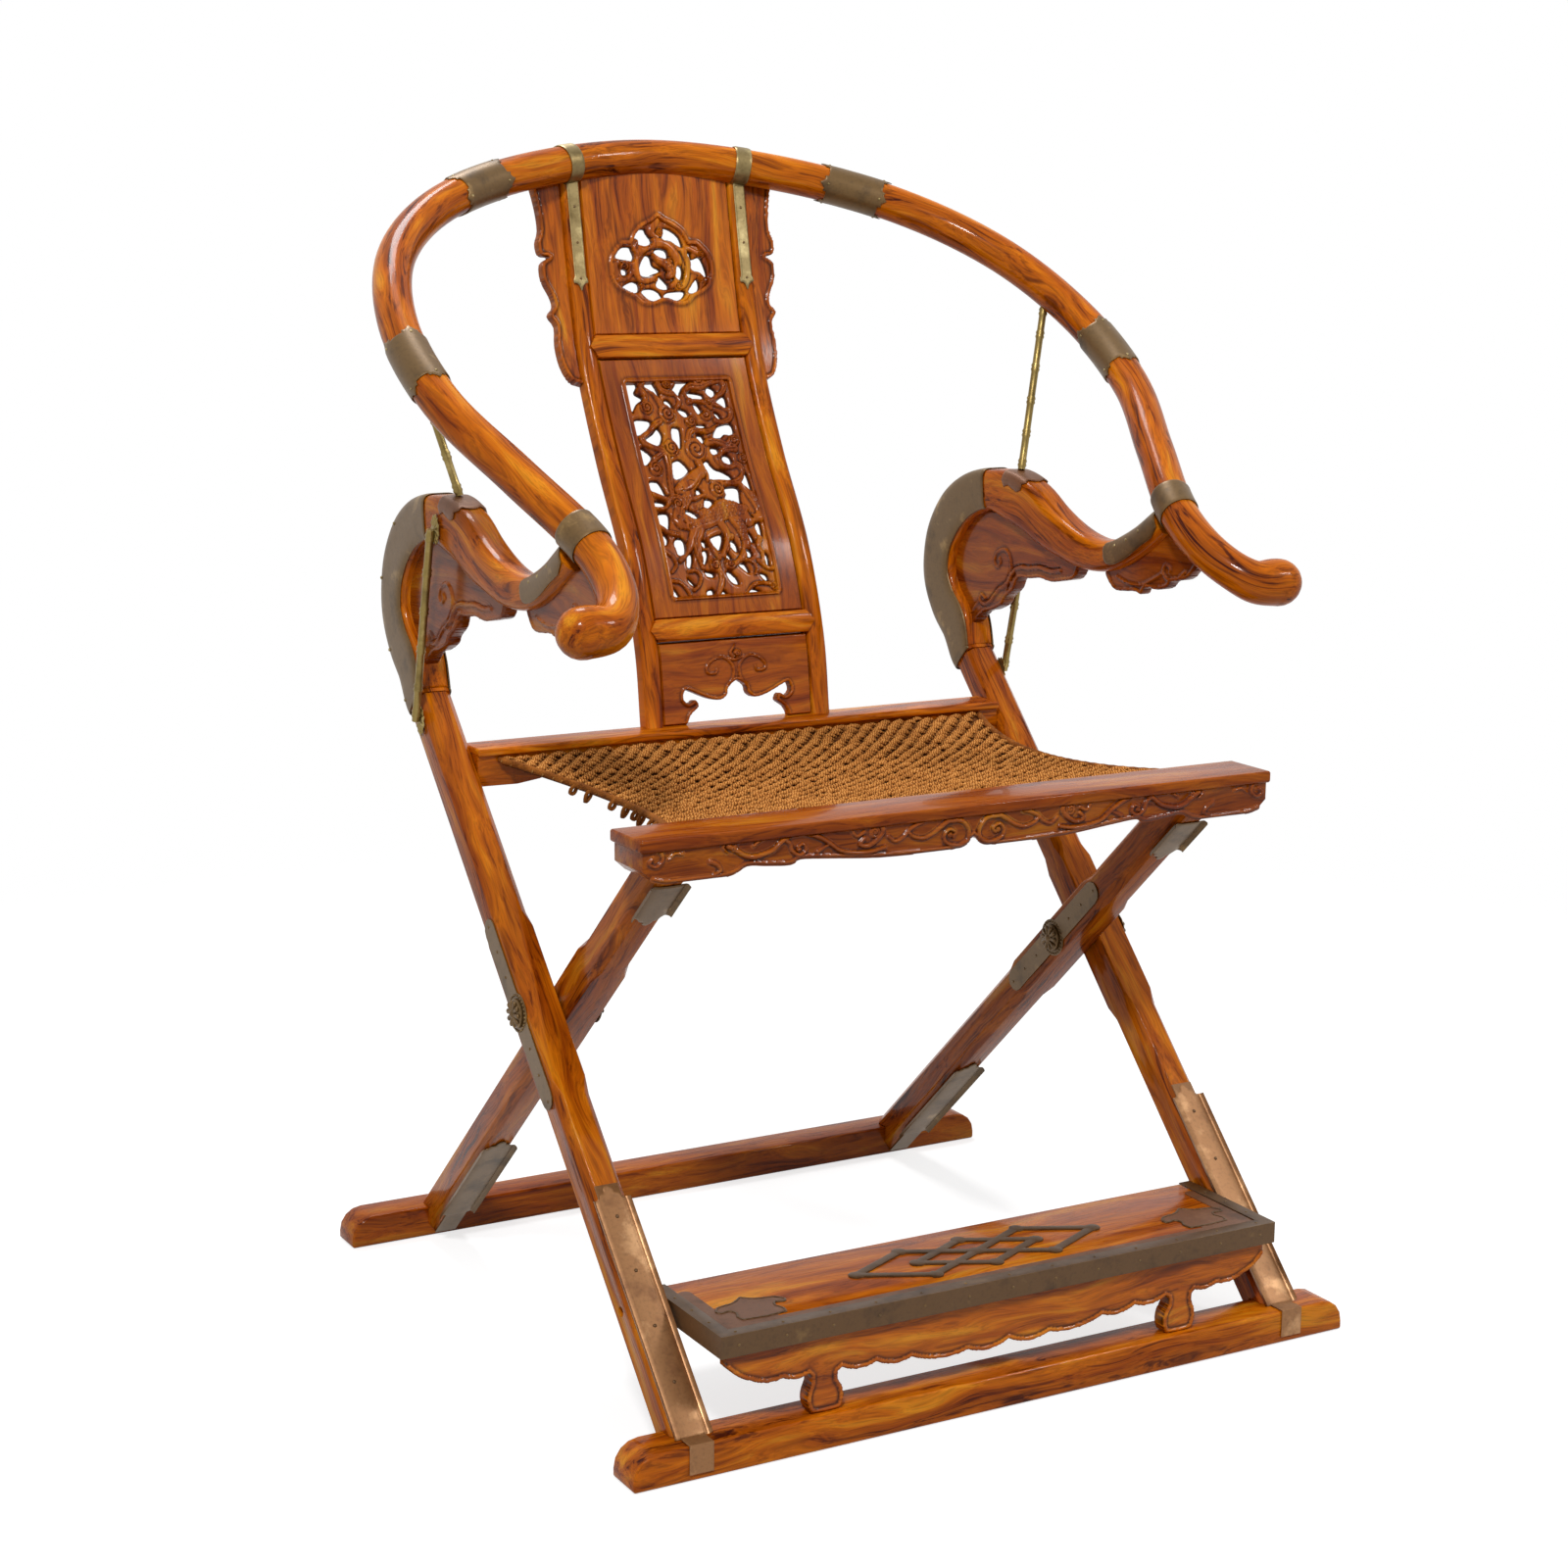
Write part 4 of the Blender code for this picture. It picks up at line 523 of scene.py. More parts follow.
def mesh_object(name, places, faces=(), hollow=None, **vectors):
    mesh = bpy.data.meshes.new(name)
    mesh.from_pydata([tuple(p) for p in places], [], [tuple(f) for f in faces])
    mesh.update()
    for label, values in vectors.items():
        write(mesh, label, values)
    # hollow carries the painted shade of carved recesses and rims
    if hollow is not None:
        write(mesh, "hollow", hollow, "FLOAT", "value")
    return linked(name, mesh)


def skin(rings, sides, first=0):
    """The faces of a closed bar whose rings of points follow one another."""
    faces = []
    for low in range(first, first + (rings - 1) * sides, sides):
        for corner in range(sides):
            after = (corner + 1) % sides
            faces.append((low + corner, low + sides + corner, low + sides + after, low + after))
    end = first + (rings - 1) * sides
    return faces + [tuple(range(first, first + sides)), tuple(range(end + sides - 1, end - 1, -1))]


def baked(piece):
    """The piece with its modifiers applied."""
    bpy.context.view_layer.update()
    mesh = bpy.data.meshes.new_from_object(piece.evaluated_get(bpy.context.evaluated_depsgraph_get()))
    piece.modifiers.clear()
    old, piece.data = piece.data, mesh
    bpy.data.meshes.remove(old)
    return piece


def shade(piece, angle=35):
    """Shades a piece smooth, with edges sharper than the angle kept."""
    for face in piece.data.polygons:
        face.use_smooth = True
    piece.data.set_sharp_from_angle(angle=math.radians(angle))
    return piece


def outward(piece, angle):
    """Turns the faces outwards and shades them smooth, with edges sharper than the angle kept."""
    shape = bmesh.new()
    shape.from_mesh(piece.data)
    bmesh.ops.recalc_face_normals(shape, faces=shape.faces)
    shape.to_mesh(piece.data)
    shape.free()
    return shade(piece, angle)


def lay_grain(piece, along, seed):
    """Writes the grain attribute of a straight piece: metres along and across the fibres."""
    along = Vector(along).normalized()
    across = along.orthogonal().normalized()
    turn = np.array([tuple(along), tuple(across), tuple(along.cross(across))])
    flat = np.empty(len(piece.data.vertices) * 3)
    piece.data.vertices.foreach_get("co", flat)
    places = flat.reshape(-1, 3)
    middle = (places.min(0) + places.max(0)) / 2
    heart = np.array((0, 0.031, 0.024)) + np.array((seed * BOARD_SHIFT, seed * 0.013, 0))
    write(piece.data, "grain", (places - middle) @ turn.T + heart)


def finish(piece, look, *nodes, like=None):
    """Gives a piece its material and the body of the node that it stands for or is like."""
    node = like or nodes[0]
    piece.data.materials.clear()
    piece.data.materials.append(FINISH[look])
    piece.data.polygons.foreach_set("material_index", [0] * len(piece.data.polygons))
    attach(piece, BODIES[node])
    if nodes:
        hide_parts(*nodes)
    return piece


def copy_of(node, name, bevel, segments=2):
    """A merged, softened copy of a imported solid."""
    source = frame["nodes"][node]
    mesh = source.data.copy()
    shape = bmesh.new()
    shape.from_mesh(mesh)
    shape.transform(source.matrix_world)
    bmesh.ops.remove_doubles(shape, verts=shape.verts, dist=1e-5)
    bmesh.ops.dissolve_limit(
        shape, angle_limit=math.radians(1), verts=shape.verts, edges=shape.edges, delimit=set(),
    )
    shape.to_mesh(mesh)
    shape.free()
    piece = linked(name, mesh)
    cut = piece.modifiers.new("edge", "BEVEL")
    cut.width = bevel
    cut.segments = segments
    cut.limit_method = "ANGLE"
    cut.angle_limit = math.radians(30)
    cut.use_clamp_overlap = True
    return shade(baked(piece))


def tube_mesh(name, points, radii, sides=24, seed=0.0, round_ends=(False, False)):
    """A round bar along a line, with grain that follows it."""
    points, radii = [Vector(p) for p in points], list(radii)
    for rounded in round_ends:
        points.reverse()
        radii.reverse()
        if rounded:
            here, size = points[-1], radii[-1]
            step = (here - points[-2]).normalized()
            for turn in map(math.radians, (15, 30, 45, 60, 74, 86)):
                points.append(here + step * size * math.sin(turn))
                radii.append(size * math.cos(turn))
    run, side = 0.0, None
    places, grain = [], []
    for number, (spot, size) in enumerate(zip(points, radii)):
        step = (points[min(number + 1, len(points) - 1)] - points[max(number - 1, 0)]).normalized()
        side = (side - step * side.dot(step)).normalized() if side else step.cross(Vector(Z)).normalized()
        up = side.cross(step)
        if number:
            run += (spot - points[number - 1]).length
        for corner in range(sides):
            turn = TURN * corner / sides
            across, tall = math.cos(turn) * size, math.sin(turn) * size
            places.append(spot + side * across + up * tall)
            grain.append((run + seed * BOARD_SHIFT, across + 0.012 + seed * BOARD_STEP, tall + 0.017))
    return outward(mesh_object(name, places, skin(len(points), sides), grain=grain), 40)


def joined(name, pieces):
    """Several meshes as one piece, with their attributes kept."""
    with bpy.context.temp_override(active_object=pieces[0], selected_editable_objects=pieces):
        bpy.ops.object.join()
    pieces[0].name = name
    pieces[0].data.name = name
    return pieces[0]


# Carving: strokes and hollows on a fine grid, cut out and given relief
def stroke(points, width, end_width=None, level=0.0, rise=None, steps=6, middle_width=None, kind="body"):
    """A rounded scroll: its line in millimetres, its width along it and how high it stands.

    A body stands by itself, relief only lifts what is there, and a cut sinks it.
    """
    line = flat_smooth(points, steps)
    last = end_width or width
    swell = 0 if middle_width is None else middle_width - (width + last) / 2
    shares = [number / (len(line) - 1) for number in range(len(line))]
    return {
        "line": line, "level": level, "rise": rise, "kind": kind,
        "sizes": [(width + (last - width) * share + swell * math.sin(math.pi * share)) / 2 for share in shares],
    }


def relief(points, width, end_width=None, rise=1.2, level=0.0, middle_width=None, steps=4):
    """A stroke that lifts what is there."""
    return stroke(points, width, end_width, level, rise, steps, middle_width, "relief")


def groove(points, width=1.0, depth=0.9, steps=4):
    """A cut line."""
    return stroke(points, width, None, 0.0, depth, steps, None, "cut")


def joint(sheet):
    """The dark line where a panel enters its frame."""
    return groove(round_again(sheet), 3.4, 2.4, 1)


def dot(x, y, width, rise, level=0.0, kind="relief"):
    """A round boss."""
    return stroke([(x - 0.1, y), (x + 0.1, y)], width, None, level, rise, 1, None, kind)


def spiral(x, y, size, turns, start, width, hand, depth):
    """The groove of a cloud scroll that winds in to its eye."""
    points = []
    count = max(6, int(turns * 8))
    for number in range(count + 1):
        share = number / count
        turn = math.radians(start) + hand * TURN * turns * share
        reach = size * (1 - 0.86 * share)
        points.append((x + reach * math.cos(turn), y + reach * math.sin(turn)))
    return stroke(points, width, width * 0.8, 0.0, depth, 3, None, "cut")


def cloud_band(points, width, end_width):
    """A streaming cloud: a rounded band with a line cut along it."""
    return [relief(points, width, end_width, 2.295, 0.4, steps=5), groove(points, width * 0.17, 1.0)]


def cloud_eye(x, y, size, start=0, hand=1, turns=1.7):
    """A cloud's eye: a raised disc with a spiral cut round its knob."""
    return [dot(x, y, size * 2, 2.5, 0.6), spiral(x, y, size * 0.86, turns, start, size * 0.20, hand, 1.5),
            dot(x, y, size * 0.5, 0.9)]


def scales(centres, size):
    """Overlapping scales, each a small cut arc."""
    arc = ((-0.5, 0.35), (-0.3, -0.25), (0.3, -0.25), (0.5, 0.35))
    return [groove([(x + size * a, y + size * b) for a, b in arc], 0.9, 0.75, 1) for x, y in centres]


def flipped(strokes):
    """Strokes mirrored left to right."""
    return [{**s, "line": [(-x, y) for x, y in s["line"]]} for s in strokes]


def placed(strokes, dx, dy):
    """Strokes moved."""
    return [{**s, "line": [(dx + x, dy + y) for x, y in s["line"]]} for s in strokes]


def from_segment(u, w, start, end):
    """How far points are from a segment, and which share of it lies nearest."""
    ex, ey = end[0] - start[0], end[1] - start[1]
    size = ex * ex + ey * ey or 1e-12
    share = np.clip(((u - start[0]) * ex + (w - start[1]) * ey) / size, 0, 1)
    return np.hypot(u - start[0] - share * ex, w - start[1] - share * ey), share


def polygon_distance(u, w, outline):
    """Signed distance to an outline, positive inside."""
    best = np.full(u.shape, -NOWHERE)
    inside = np.zeros(u.shape, bool)
    for (ax, ay), (bx, by) in zip(outline, outline[1:] + outline[:1]):
        best = np.minimum(best, from_segment(u, w, (ax, ay), (bx, by))[0])
        if ay != by:
            inside ^= ((ay > w) != (by > w)) & (u < ax + (w - ay) / (by - ay) * (bx - ax))
    return np.where(inside, best, -best)


def height_field(u, w, pitch, strokes, sheet, holes, ground, rounded):
    """How far in each point of the grid lies, and how high it stands, in millimetres."""
    inside = sheet.copy()
    for hole in holes:
        inside = np.minimum(inside, -polygon_distance(u, w, hole))
    worn = rounded[1] * (1 - np.clip(inside / rounded[0], 0, 1)) ** 2 if rounded else (
        0.6 * (1 - np.clip(inside / 1.2, 0, 1)))
    height = np.where(inside > -pitch, ground - worn, NOWHERE)
    lifted, sunk = np.zeros(u.shape), np.zeros(u.shape)
    origin = (u[0, 0], w[0, 0])
    for mark in strokes:
        line, sizes = mark["line"], mark["sizes"]
        for start, end, ra, rb in zip(line, line[1:], sizes, sizes[1:]):
            reach = max(ra, rb) + 2 * pitch
            (i0, i1), (j0, j1) = (
                (max(int((min(a, b) - reach - o) / pitch), 0), max(int((max(a, b) + reach - o) / pitch) + 2, 0))
                for a, b, o in zip(start, end, origin))
            part = np.s_[j0:j1, i0:i1]
            if not u[part].size:
                continue
            away, share = from_segment(u[part], w[part], start, end)
            radius = ra + (rb - ra) * share
            crown = radius * 0.9 if mark["rise"] is None else mark["rise"]
            curve = crown * np.sqrt(np.clip(1 - (away / radius) ** 2, 0, 1))
            near = radius - away
            if mark["kind"] == "cut":
                sunk[part] = np.maximum(sunk[part], np.where(near > 0, curve, 0))
            elif mark["kind"] == "relief":
                lifted[part] = np.maximum(lifted[part], np.where(near > 0, mark["level"] + curve, 0))
            else:
                inside[part] = np.maximum(inside[part], near)
                height[part] = np.where(near > -pitch, np.maximum(height[part], mark["level"] + curve), height[part])
    return inside, height + lifted - sunk


def carve(name, box, pitch, strokes, place, back, solid=None, holes=(), both=False, ground=0.0, rounded=None,
          seed=0.0, grain_up=True):
    """A carved sheet: solid is the outline kept at ground level, holes are cut through it, and the
    strokes stand on it or bridge its holes. Rounded gives how far in and how deep the edges of the holes
    are worn round. All in millimetres, laid in space by place."""
    left, low, right, high = box
    u, w = np.meshgrid(np.arange(left, right + pitch / 2, pitch), np.arange(low, high + pitch / 2, pitch))
    sheet = np.full(u.shape, NOWHERE) if solid is None else polygon_distance(u, w, solid)
    inside, height = height_field(u, w, pitch, strokes, sheet, holes, ground, rounded)
    if solid is not None:
        inside = np.minimum(inside, sheet)
    gy, gx = np.gradient(inside, pitch)
    slope = np.maximum(gx * gx + gy * gy, 0.25)
    snap = np.abs(inside) < SNAP * pitch
    u = np.where(snap, u - inside * gx / slope, u)
    w = np.where(snap, w - inside * gy / slope, w)
    corners = (np.s_[:-1, :-1], np.s_[:-1, 1:], np.s_[1:, 1:], np.s_[1:, :-1])
    cells = np.all([(inside > -SNAP * pitch)[corner] for corner in corners], axis=0)
    cells &= sum(inside[corner] for corner in corners) > -0.2 * pitch
    number = np.arange(u.size).reshape(u.shape)
    used, quads = np.unique(np.stack([number[corner] for corner in corners], axis=-1)[cells], return_inverse=True)
    quads = quads.reshape(-1, 4)
    flat_u, flat_w = u.ravel()[used] * MM, w.ravel()[used] * MM
    tall = height.ravel()[used]
    tall = np.where(tall < NOWHERE / 2, ground - 0.6, tall)
    shift = len(used)
    edges = np.concatenate([quads[:, pair] for pair in ([0, 1], [1, 2], [2, 3], [3, 0])])
    keys = np.sort(edges, axis=1)
    _, first, counts = np.unique(keys[:, 0] * (shift + 1) + keys[:, 1], return_index=True, return_counts=True)
    rim_edges = edges[first[counts == 1]]
    top = place(flat_u, flat_w, tall * MM)
    base = place(flat_u, flat_w, (-back - (tall if both else 0)) * MM * np.ones(shift))
    faces = [*quads, *(quads[:, ::-1] + shift), *((b, a, a + shift, b + shift) for a, b in rim_edges)]
    along, across = (flat_w, flat_u) if grain_up else (flat_u, flat_w)
    grain = np.stack([along + seed * BOARD_SHIFT, across + 0.02 + seed * BOARD_STEP, tall * MM + 0.03], axis=-1)
    # Painted shade: hollows are darkened by how far they lie under what is within three steps of them, and so are the
    # cut rims behind; the hollow attribute carries it
    around = np.pad(np.where(height < NOWHERE / 2, ground - 1.0, height), 3, mode="edge")
    mean = sum(around[j:j + u.shape[0], i:i + u.shape[1]] for j in range(7) for i in range(7)) / 49
    deep = np.clip((mean.ravel()[used] - tall) / 0.7, 0, 1) * 0.9
    # Painted shade under the sheet, and more of it on the walls of the cut rims
    behind = np.full(shift, 0.15)
    if solid is None or rounded:
        behind[np.unique(rim_edges)] = 0.8
    piece = mesh_object(name, [*top, *base], faces, [*deep, *behind], grain=[*grain, *grain])
    return outward(piece, 50)


# Geometry Nodes: studs and stitches set on points
def node_group(name, inputs):
    tree = bpy.data.node_groups.new(name, "GeometryNodeTree")
    for label, kind in (("Geometry", "NodeSocketGeometry"), *inputs, ("Material", "NodeSocketMaterial")):
        tree.interface.new_socket(label, in_out="INPUT", socket_type=kind)
    tree.interface.new_socket("Geometry", in_out="OUTPUT", socket_type="NodeSocketGeometry")
    return tree, tree.nodes.new("NodeGroupInput").outputs


def set_on_points(tree, given, form, turn, size):
    """Ends a tree: the form stands on every point, turned and sized, and has the material."""
    put = add(tree, "GeometryNodeInstanceOnPoints", links={
        "Points": given["Geometry"], "Instance": form, "Rotation": turn, "Scale": size,
    })
    real = add(tree, "GeometryNodeRealizeInstances", links={"Geometry": put})
    made = add(tree, "GeometryNodeSetMaterial", links={"Geometry": real, "Material": given["Material"]})
    add(tree, "NodeGroupOutput", links={0: made})
    return tree


def stud_tree():
    """A low dome on every point, turned to face outwards."""
    tree, given = node_group("brass_studs", (("Radius", "NodeSocketFloat"), ("Height Share", "NodeSocketFloat")))
    dome = add(tree, "GeometryNodeMeshUVSphere", {"Segments": 8, "Rings": 6}, {"Radius": given["Radius"]})
    smooth_dome = add(tree, "GeometryNodeSetShadeSmooth", links={"Geometry": dome})
    facing = add(tree, "GeometryNodeInputNamedAttribute", {"Name": "facing"}, data_type="FLOAT_VECTOR")
    turn = add(tree, "FunctionNodeAlignRotationToVector", links={"Vector": facing}, axis="Z")
    size = add(tree, "ShaderNodeCombineXYZ", {"X": 1.0, "Y": 1.0}, {"Z": given["Height Share"]})
    return set_on_points(tree, given, smooth_dome, turn, size)


def stitch_tree():
    """One rope stitch on every point, turned and sized by the point's own attributes."""
    tree, given = node_group("rope_stitches", (("Stitch", "NodeSocketObject"),))
    form = add(tree, "GeometryNodeObjectInfo", links={"Object": given["Stitch"]}, transform_space="ORIGINAL")
    turn = add(tree, "GeometryNodeInputNamedAttribute", {"Name": "turn"}, data_type="FLOAT_VECTOR")
    size = add(tree, "GeometryNodeInputNamedAttribute", {"Name": "size"}, data_type="FLOAT_VECTOR")
    angle = add(tree, "FunctionNodeEulerToRotation", links={"Euler": turn})
    return set_on_points(tree, given, form.outputs["Geometry"], angle, size)


def run_tree(piece, tree, values):
    """Applies a tree to a piece, its inputs set by socket identifier."""
    steps = piece.modifiers.new(tree.name, "NODES")
    steps.node_group = tree
    for socket in tree.interface.items_tree:
        if socket.in_out == "INPUT" and socket.name in values:
            steps[socket.identifier] = values[socket.name]
    return baked(piece)


def studs(name, spots, radius, like, look="worn_brass", height=0.55):
    """Rivet heads or beads at (place, facing) pairs, on the body of the node that is named."""
    piece = mesh_object(name, [spot for spot, _ in spots], facing=[tuple(facing) for _, facing in spots])
    run_tree(piece, TREES["stud"], {"Radius": radius, "Height Share": height, "Material": FINISH[look]})
    return finish(piece, look, like=like)


def facing_spot(place, u, w):
    """A spot on a surface, in metres, and the way that it faces."""
    spot, above = place(np.array([u, u]), np.array([w, w]), np.array([0.0, 0.01]))
    return spot, (Vector(above) - Vector(spot)).normalized()


# Settings
class ChairSizes(bpy.types.PropertyGroup):
    rivet_radius: bpy.props.FloatProperty(
        name="Rivet radius", description="Radius of the rivet heads", default=0.0017, subtype="DISTANCE", unit="LENGTH")
    bead_radius: bpy.props.FloatProperty(
        name="Bead radius", description="Radius of the beads round each boss", default=0.0012, subtype="DISTANCE",
        unit="LENGTH")
    stitch_gap: bpy.props.FloatProperty(
        name="Stitch length", description="Length of a rope strand over its warp", default=0.0168, subtype="DISTANCE",
        unit="LENGTH")
    edge_round: bpy.props.FloatProperty(
        name="Edge rounding", description="Rounding of the wood's edges", default=0.0012, subtype="DISTANCE",
        unit="LENGTH")


class ChairColours(bpy.types.PropertyGroup):
    brass_skin: bpy.props.StringProperty(
        name="Brass skin", description="sRGB colour of the patina", default="#6b502a")
    brass_worn: bpy.props.StringProperty(
        name="Brass worn", description="sRGB colour where it is rubbed", default="#9a7a48")
    rope_light: bpy.props.StringProperty(
        name="Rope light", description="sRGB colour of the strands' crowns", default="#e3a056")


def sizes():
    return bpy.context.scene.chair_sizes


class CHAIR_OT_finishes(bpy.types.Operator):
    """Makes the chair's materials and its node trees"""
    bl_idname = "chair.finishes"
    bl_label = "Finishes"

    def execute(self, context):
        tones = context.scene.chair_colours
        FINISH["rosewood"] = oiled_rosewood("oiled_rosewood_polished")
        FINISH["dark_rosewood"] = oiled_rosewood("oiled_rosewood_dark_bars", dark=0.35)
        FINISH["plain_rosewood"] = oiled_rosewood("oiled_rosewood_footboard", figure=0.35)
        # Painted shade: the front seat rail is darkened, as if its face were shaded under its lip
        FINISH["rail_rosewood_painted_shade"] = oiled_rosewood("oiled_rosewood_front_rail_painted_shade", dark=0.42, figure=0.8)
        FINISH["leg_rosewood"] = oiled_rosewood("oiled_rosewood_legs", dark=0.16)
        FINISH["carved_rosewood"] = oiled_rosewood("carved_rosewood", dark=0.04, carved=True, figure=0.7)
        # Painted shade: the middle and lower back panels are darkened all over, for the shade on the lower part of the
        # back
        FINISH["openwork_rosewood_painted_shade"] = oiled_rosewood("openwork_rosewood_painted_shade", dark=0.32, carved=True, figure=0.45)
        FINISH["bracket_rosewood"] = oiled_rosewood("bracket_rosewood", dark=0.42, carved=True, figure=0.5)
        FINISH["old_brass"] = brass("patinated_sheet_brass", tones.brass_skin, tones.brass_worn, "#463318", 0.36, 0.60,
                                    0.42)
        FINISH["worn_brass"] = brass("rubbed_sheet_brass", "#85734c", "#b3a071", "#655431", 0.32, 0.52, 0.8)
        FINISH["rod_brass"] = brass("turned_brass_rod", "#8d7843", "#ae9860", "#66542c", 0.30, 0.58, 0.75)
        # Painted highlight: the outer shoes' brass is partly its own warm brown and partly lightened for the highlight
        # on their rounded faces
        FINISH["shoe_brass"] = brass("warm_sheet_brass_painted_highlight", "#93673f", "#b98c60", "#6e4526", 0.36, 0.56, 0.5)
        FINISH["edging_brass"] = brass("brown_sheet_brass", "#5c4021", "#7a5b33", "#3f2a14", 0.40, 0.62, 0.40)
        FINISH["plate_brass"] = brass("thin_brown_brass", "#75492a", "#8f6240", "#55341c", 0.40, 0.60, 0.35)
        FINISH["iron"] = brass("forged_iron_pin", "#4c4742", "#6e6760", "#2c2825", 0.45, 0.66)
        FINISH["rope"] = palm_rope("twisted_palm_fibre_rope", tones.rope_light, "#b36c2a", "#5c2e0c")
        TREES["stud"] = stud_tree()
        TREES["stitch"] = stitch_tree()
        return {"FINISHED"}


class CHAIR_OT_stage(bpy.types.Operator):
    """Sets the camera of the photograph, the white floor and plain soft light"""
    bl_idname = "chair.stage"
    bl_label = "Stage"

    def execute(self, context):
        scene = context.scene
        scene.view_settings.view_transform = "Standard"
        lens = bpy.data.cameras.new("photo_camera")
        lens.sensor_width = SENSOR
        lens.lens = SENSOR * FOCAL_PX / IMAGE_PX
        lens.shift_x = (IMAGE_PX / 2 - CENTRE_PX[0]) / IMAGE_PX
        lens.shift_y = (CENTRE_PX[1] - IMAGE_PX / 2) / IMAGE_PX
        lens.clip_end = 50
        camera = linked("photo_camera", lens)
        turn = (Matrix.Rotation(math.radians(-CAMERA_YAW), 4, "Z")
                @ Matrix.Rotation(math.radians(90 - CAMERA_PITCH), 4, "X")
                @ Matrix.Rotation(math.radians(CAMERA_ROLL), 4, "Z"))
        camera.matrix_world = Matrix.Translation(CAMERA_PLACE) @ turn
        scene.camera = camera

        bpy.ops.mesh.primitive_plane_add(size=6)
        floor = context.active_object
        floor.name = "white_floor"
        floor.location.z = -0.0006
        floor.data.materials.append(plain_floor())

        world = bpy.data.worlds.new("white_room")
        scene.world = world
        world.use_nodes = True
        tree = world.node_tree
        tree.nodes.clear()
        level = add(tree, "ShaderNodeMapRange", {"To Min": ROOM_LIGHT, "To Max": 1.0}, {"Value": seen_straight(tree)})
        light = add(tree, "ShaderNodeBackground", {"Color": (1, 1, 1, 1)}, {"Strength": level})
        add(tree, "ShaderNodeOutputWorld", links={"Surface": light})

        for name, place, size, power, aim in (
            ("key_left_of_front", (-1.9, -2.3, 3.5), 0.5, 92, (0, 0, 0.55)),
            ("fill_right_of_front", (2.3, -2.3, 2.9), 0.5, 34, (0, 0, 0.55)),
            ("top_and_behind", (0.2, 1.5, 3.1), 0.8, 40, (0, 0, 0.5)),
        ):
            lamp = bpy.data.lights.new(name, "AREA")
            lamp.shape = "SQUARE"
            lamp.size = size
            lamp.energy = power
            piece = linked(name, lamp)
            piece.location = place
            piece.rotation_euler = (Vector(aim) - Vector(place)).to_track_quat("-Z", "Y").to_euler()
        return {"FINISHED"}


def swell(place):
    """How much thicker than elsewhere the rail is towards its knobs."""
    share = min(max((abs(place) - KNOB_START) / (RAIL_LAST - KNOB_START), 0), 1)
    return 1 + (KNOB_RADIUS / RAIL_RADIUS - 1) * share * share * (3 - 2 * share)


class CHAIR_OT_arm_rail(bpy.types.Operator):
    """Turns the horseshoe rail in five lengths, with its knobs"""
    bl_idname = "chair.arm_rail"
    bl_label = "Horseshoe rail"

    def execute(self, context):
        lengths = (
            ("arm_rail_back", -SHOULDER_JOINT, SHOULDER_JOINT),
            ("arm_rail_shoulder_left", -ARM_JOINT, -SHOULDER_JOINT),
            ("arm_rail_shoulder_right", SHOULDER_JOINT, ARM_JOINT),
            ("arm_rail_front_left", -RAIL_LAST, -ARM_JOINT),
            ("arm_rail_front_right", ARM_JOINT, RAIL_LAST),
        )
        trim = GAP * RAIL_LAST / RAIL_SPREAD / 4
        for number, (node, start, end) in enumerate(lengths):
            low = start if start == -RAIL_LAST else start + trim
            high = end if end == RAIL_LAST else end - trim
            count = int((high - low) * 10)
            spots = [low + (high - low) * n / count for n in range(count + 1)]
            line = [rail_middle(s) for s in spots]
            radii = [RAIL_RADIUS * swell(s) for s in spots]
            piece = tube_mesh(node + "_wood", line, radii, 32, number + 1, (start == -RAIL_LAST, end == RAIL_LAST))
            finish(piece, "rosewood", node)
        return {"FINISHED"}


def cloud_end(length, radius):
    """The outline of a sleeve laid flat: each end runs out in four lobed tabs."""
    half = length / 2
    wide = math.pi * radius / MM
    edge = []
    for number in range(97):
        turn = -1 + 2 * number / 96
        off = abs((turn * 2 + 0.5) % 1 - 0.5) * 2
        if off > 0.56:
            tab = 0.0
        elif off > 0.2:
            tab = 3.6 + 1.6 * math.cos(off / 0.56 * math.pi * 1.5)
        else:
            tab = 5.6 - 12 * off
        edge.append((half - 8.5 + min(tab, 5.6) * 1.5, turn * wide))
    return edge + [(-x, y) for x, y in reversed(edge)]


class CHAIR_OT_sleeves(bpy.types.Operator):
    """Wraps the rail's joints in brass, and rings it where the back and the necks meet it"""
    bl_idname = "chair.sleeves"
    bl_label = "Brass sleeves"

    def execute(self, context):
        outer = RAIL_RADIUS + GAP + SHEET
        wide = math.pi * outer / MM
        for side_name, side in SIDES:
            for label, (start, end) in (("shoulder_sleeve_", UPPER_SLEEVE), ("arm_sleeve_", ARM_SLEEVE)):
                node = label + side_name
                place, span = on_band(rail_middle, side * start, side * end, outer)
                piece = carve(node + "_brass", (-span / 2, -wide, span / 2, wide), 1.1, [], place, 1.1,
                              solid=cloud_end(span, outer), grain_up=False)
                finish(piece, "old_brass", node)
                spots = [facing_spot(place, way * (span / 2 - 9) * MM, math.radians(turn) * outer)
                         for way in (-1, 1) for turn in range(0, 360, 90)]
                studs(node + "_rivets", spots, sizes().rivet_radius * 0.8, node)
            for label, (start, end), node, look in (
                ("back", BACK_RING, "back_strap_", "worn_brass"), ("arm", ARM_RING, "arm_strap_", "old_brass"),
            ):
                place, span = on_band(rail_middle, side * start, side * end, outer)
                box = (-span / 2, -wide, span / 2, wide)
                ring = carve(f"{label}_ring_{side_name}", box, 1.4, [], place, 1.1, solid=rectangle(*box),
                             grain_up=False)
                finish(ring, look, like=node + side_name)
        return {"FINISHED"}


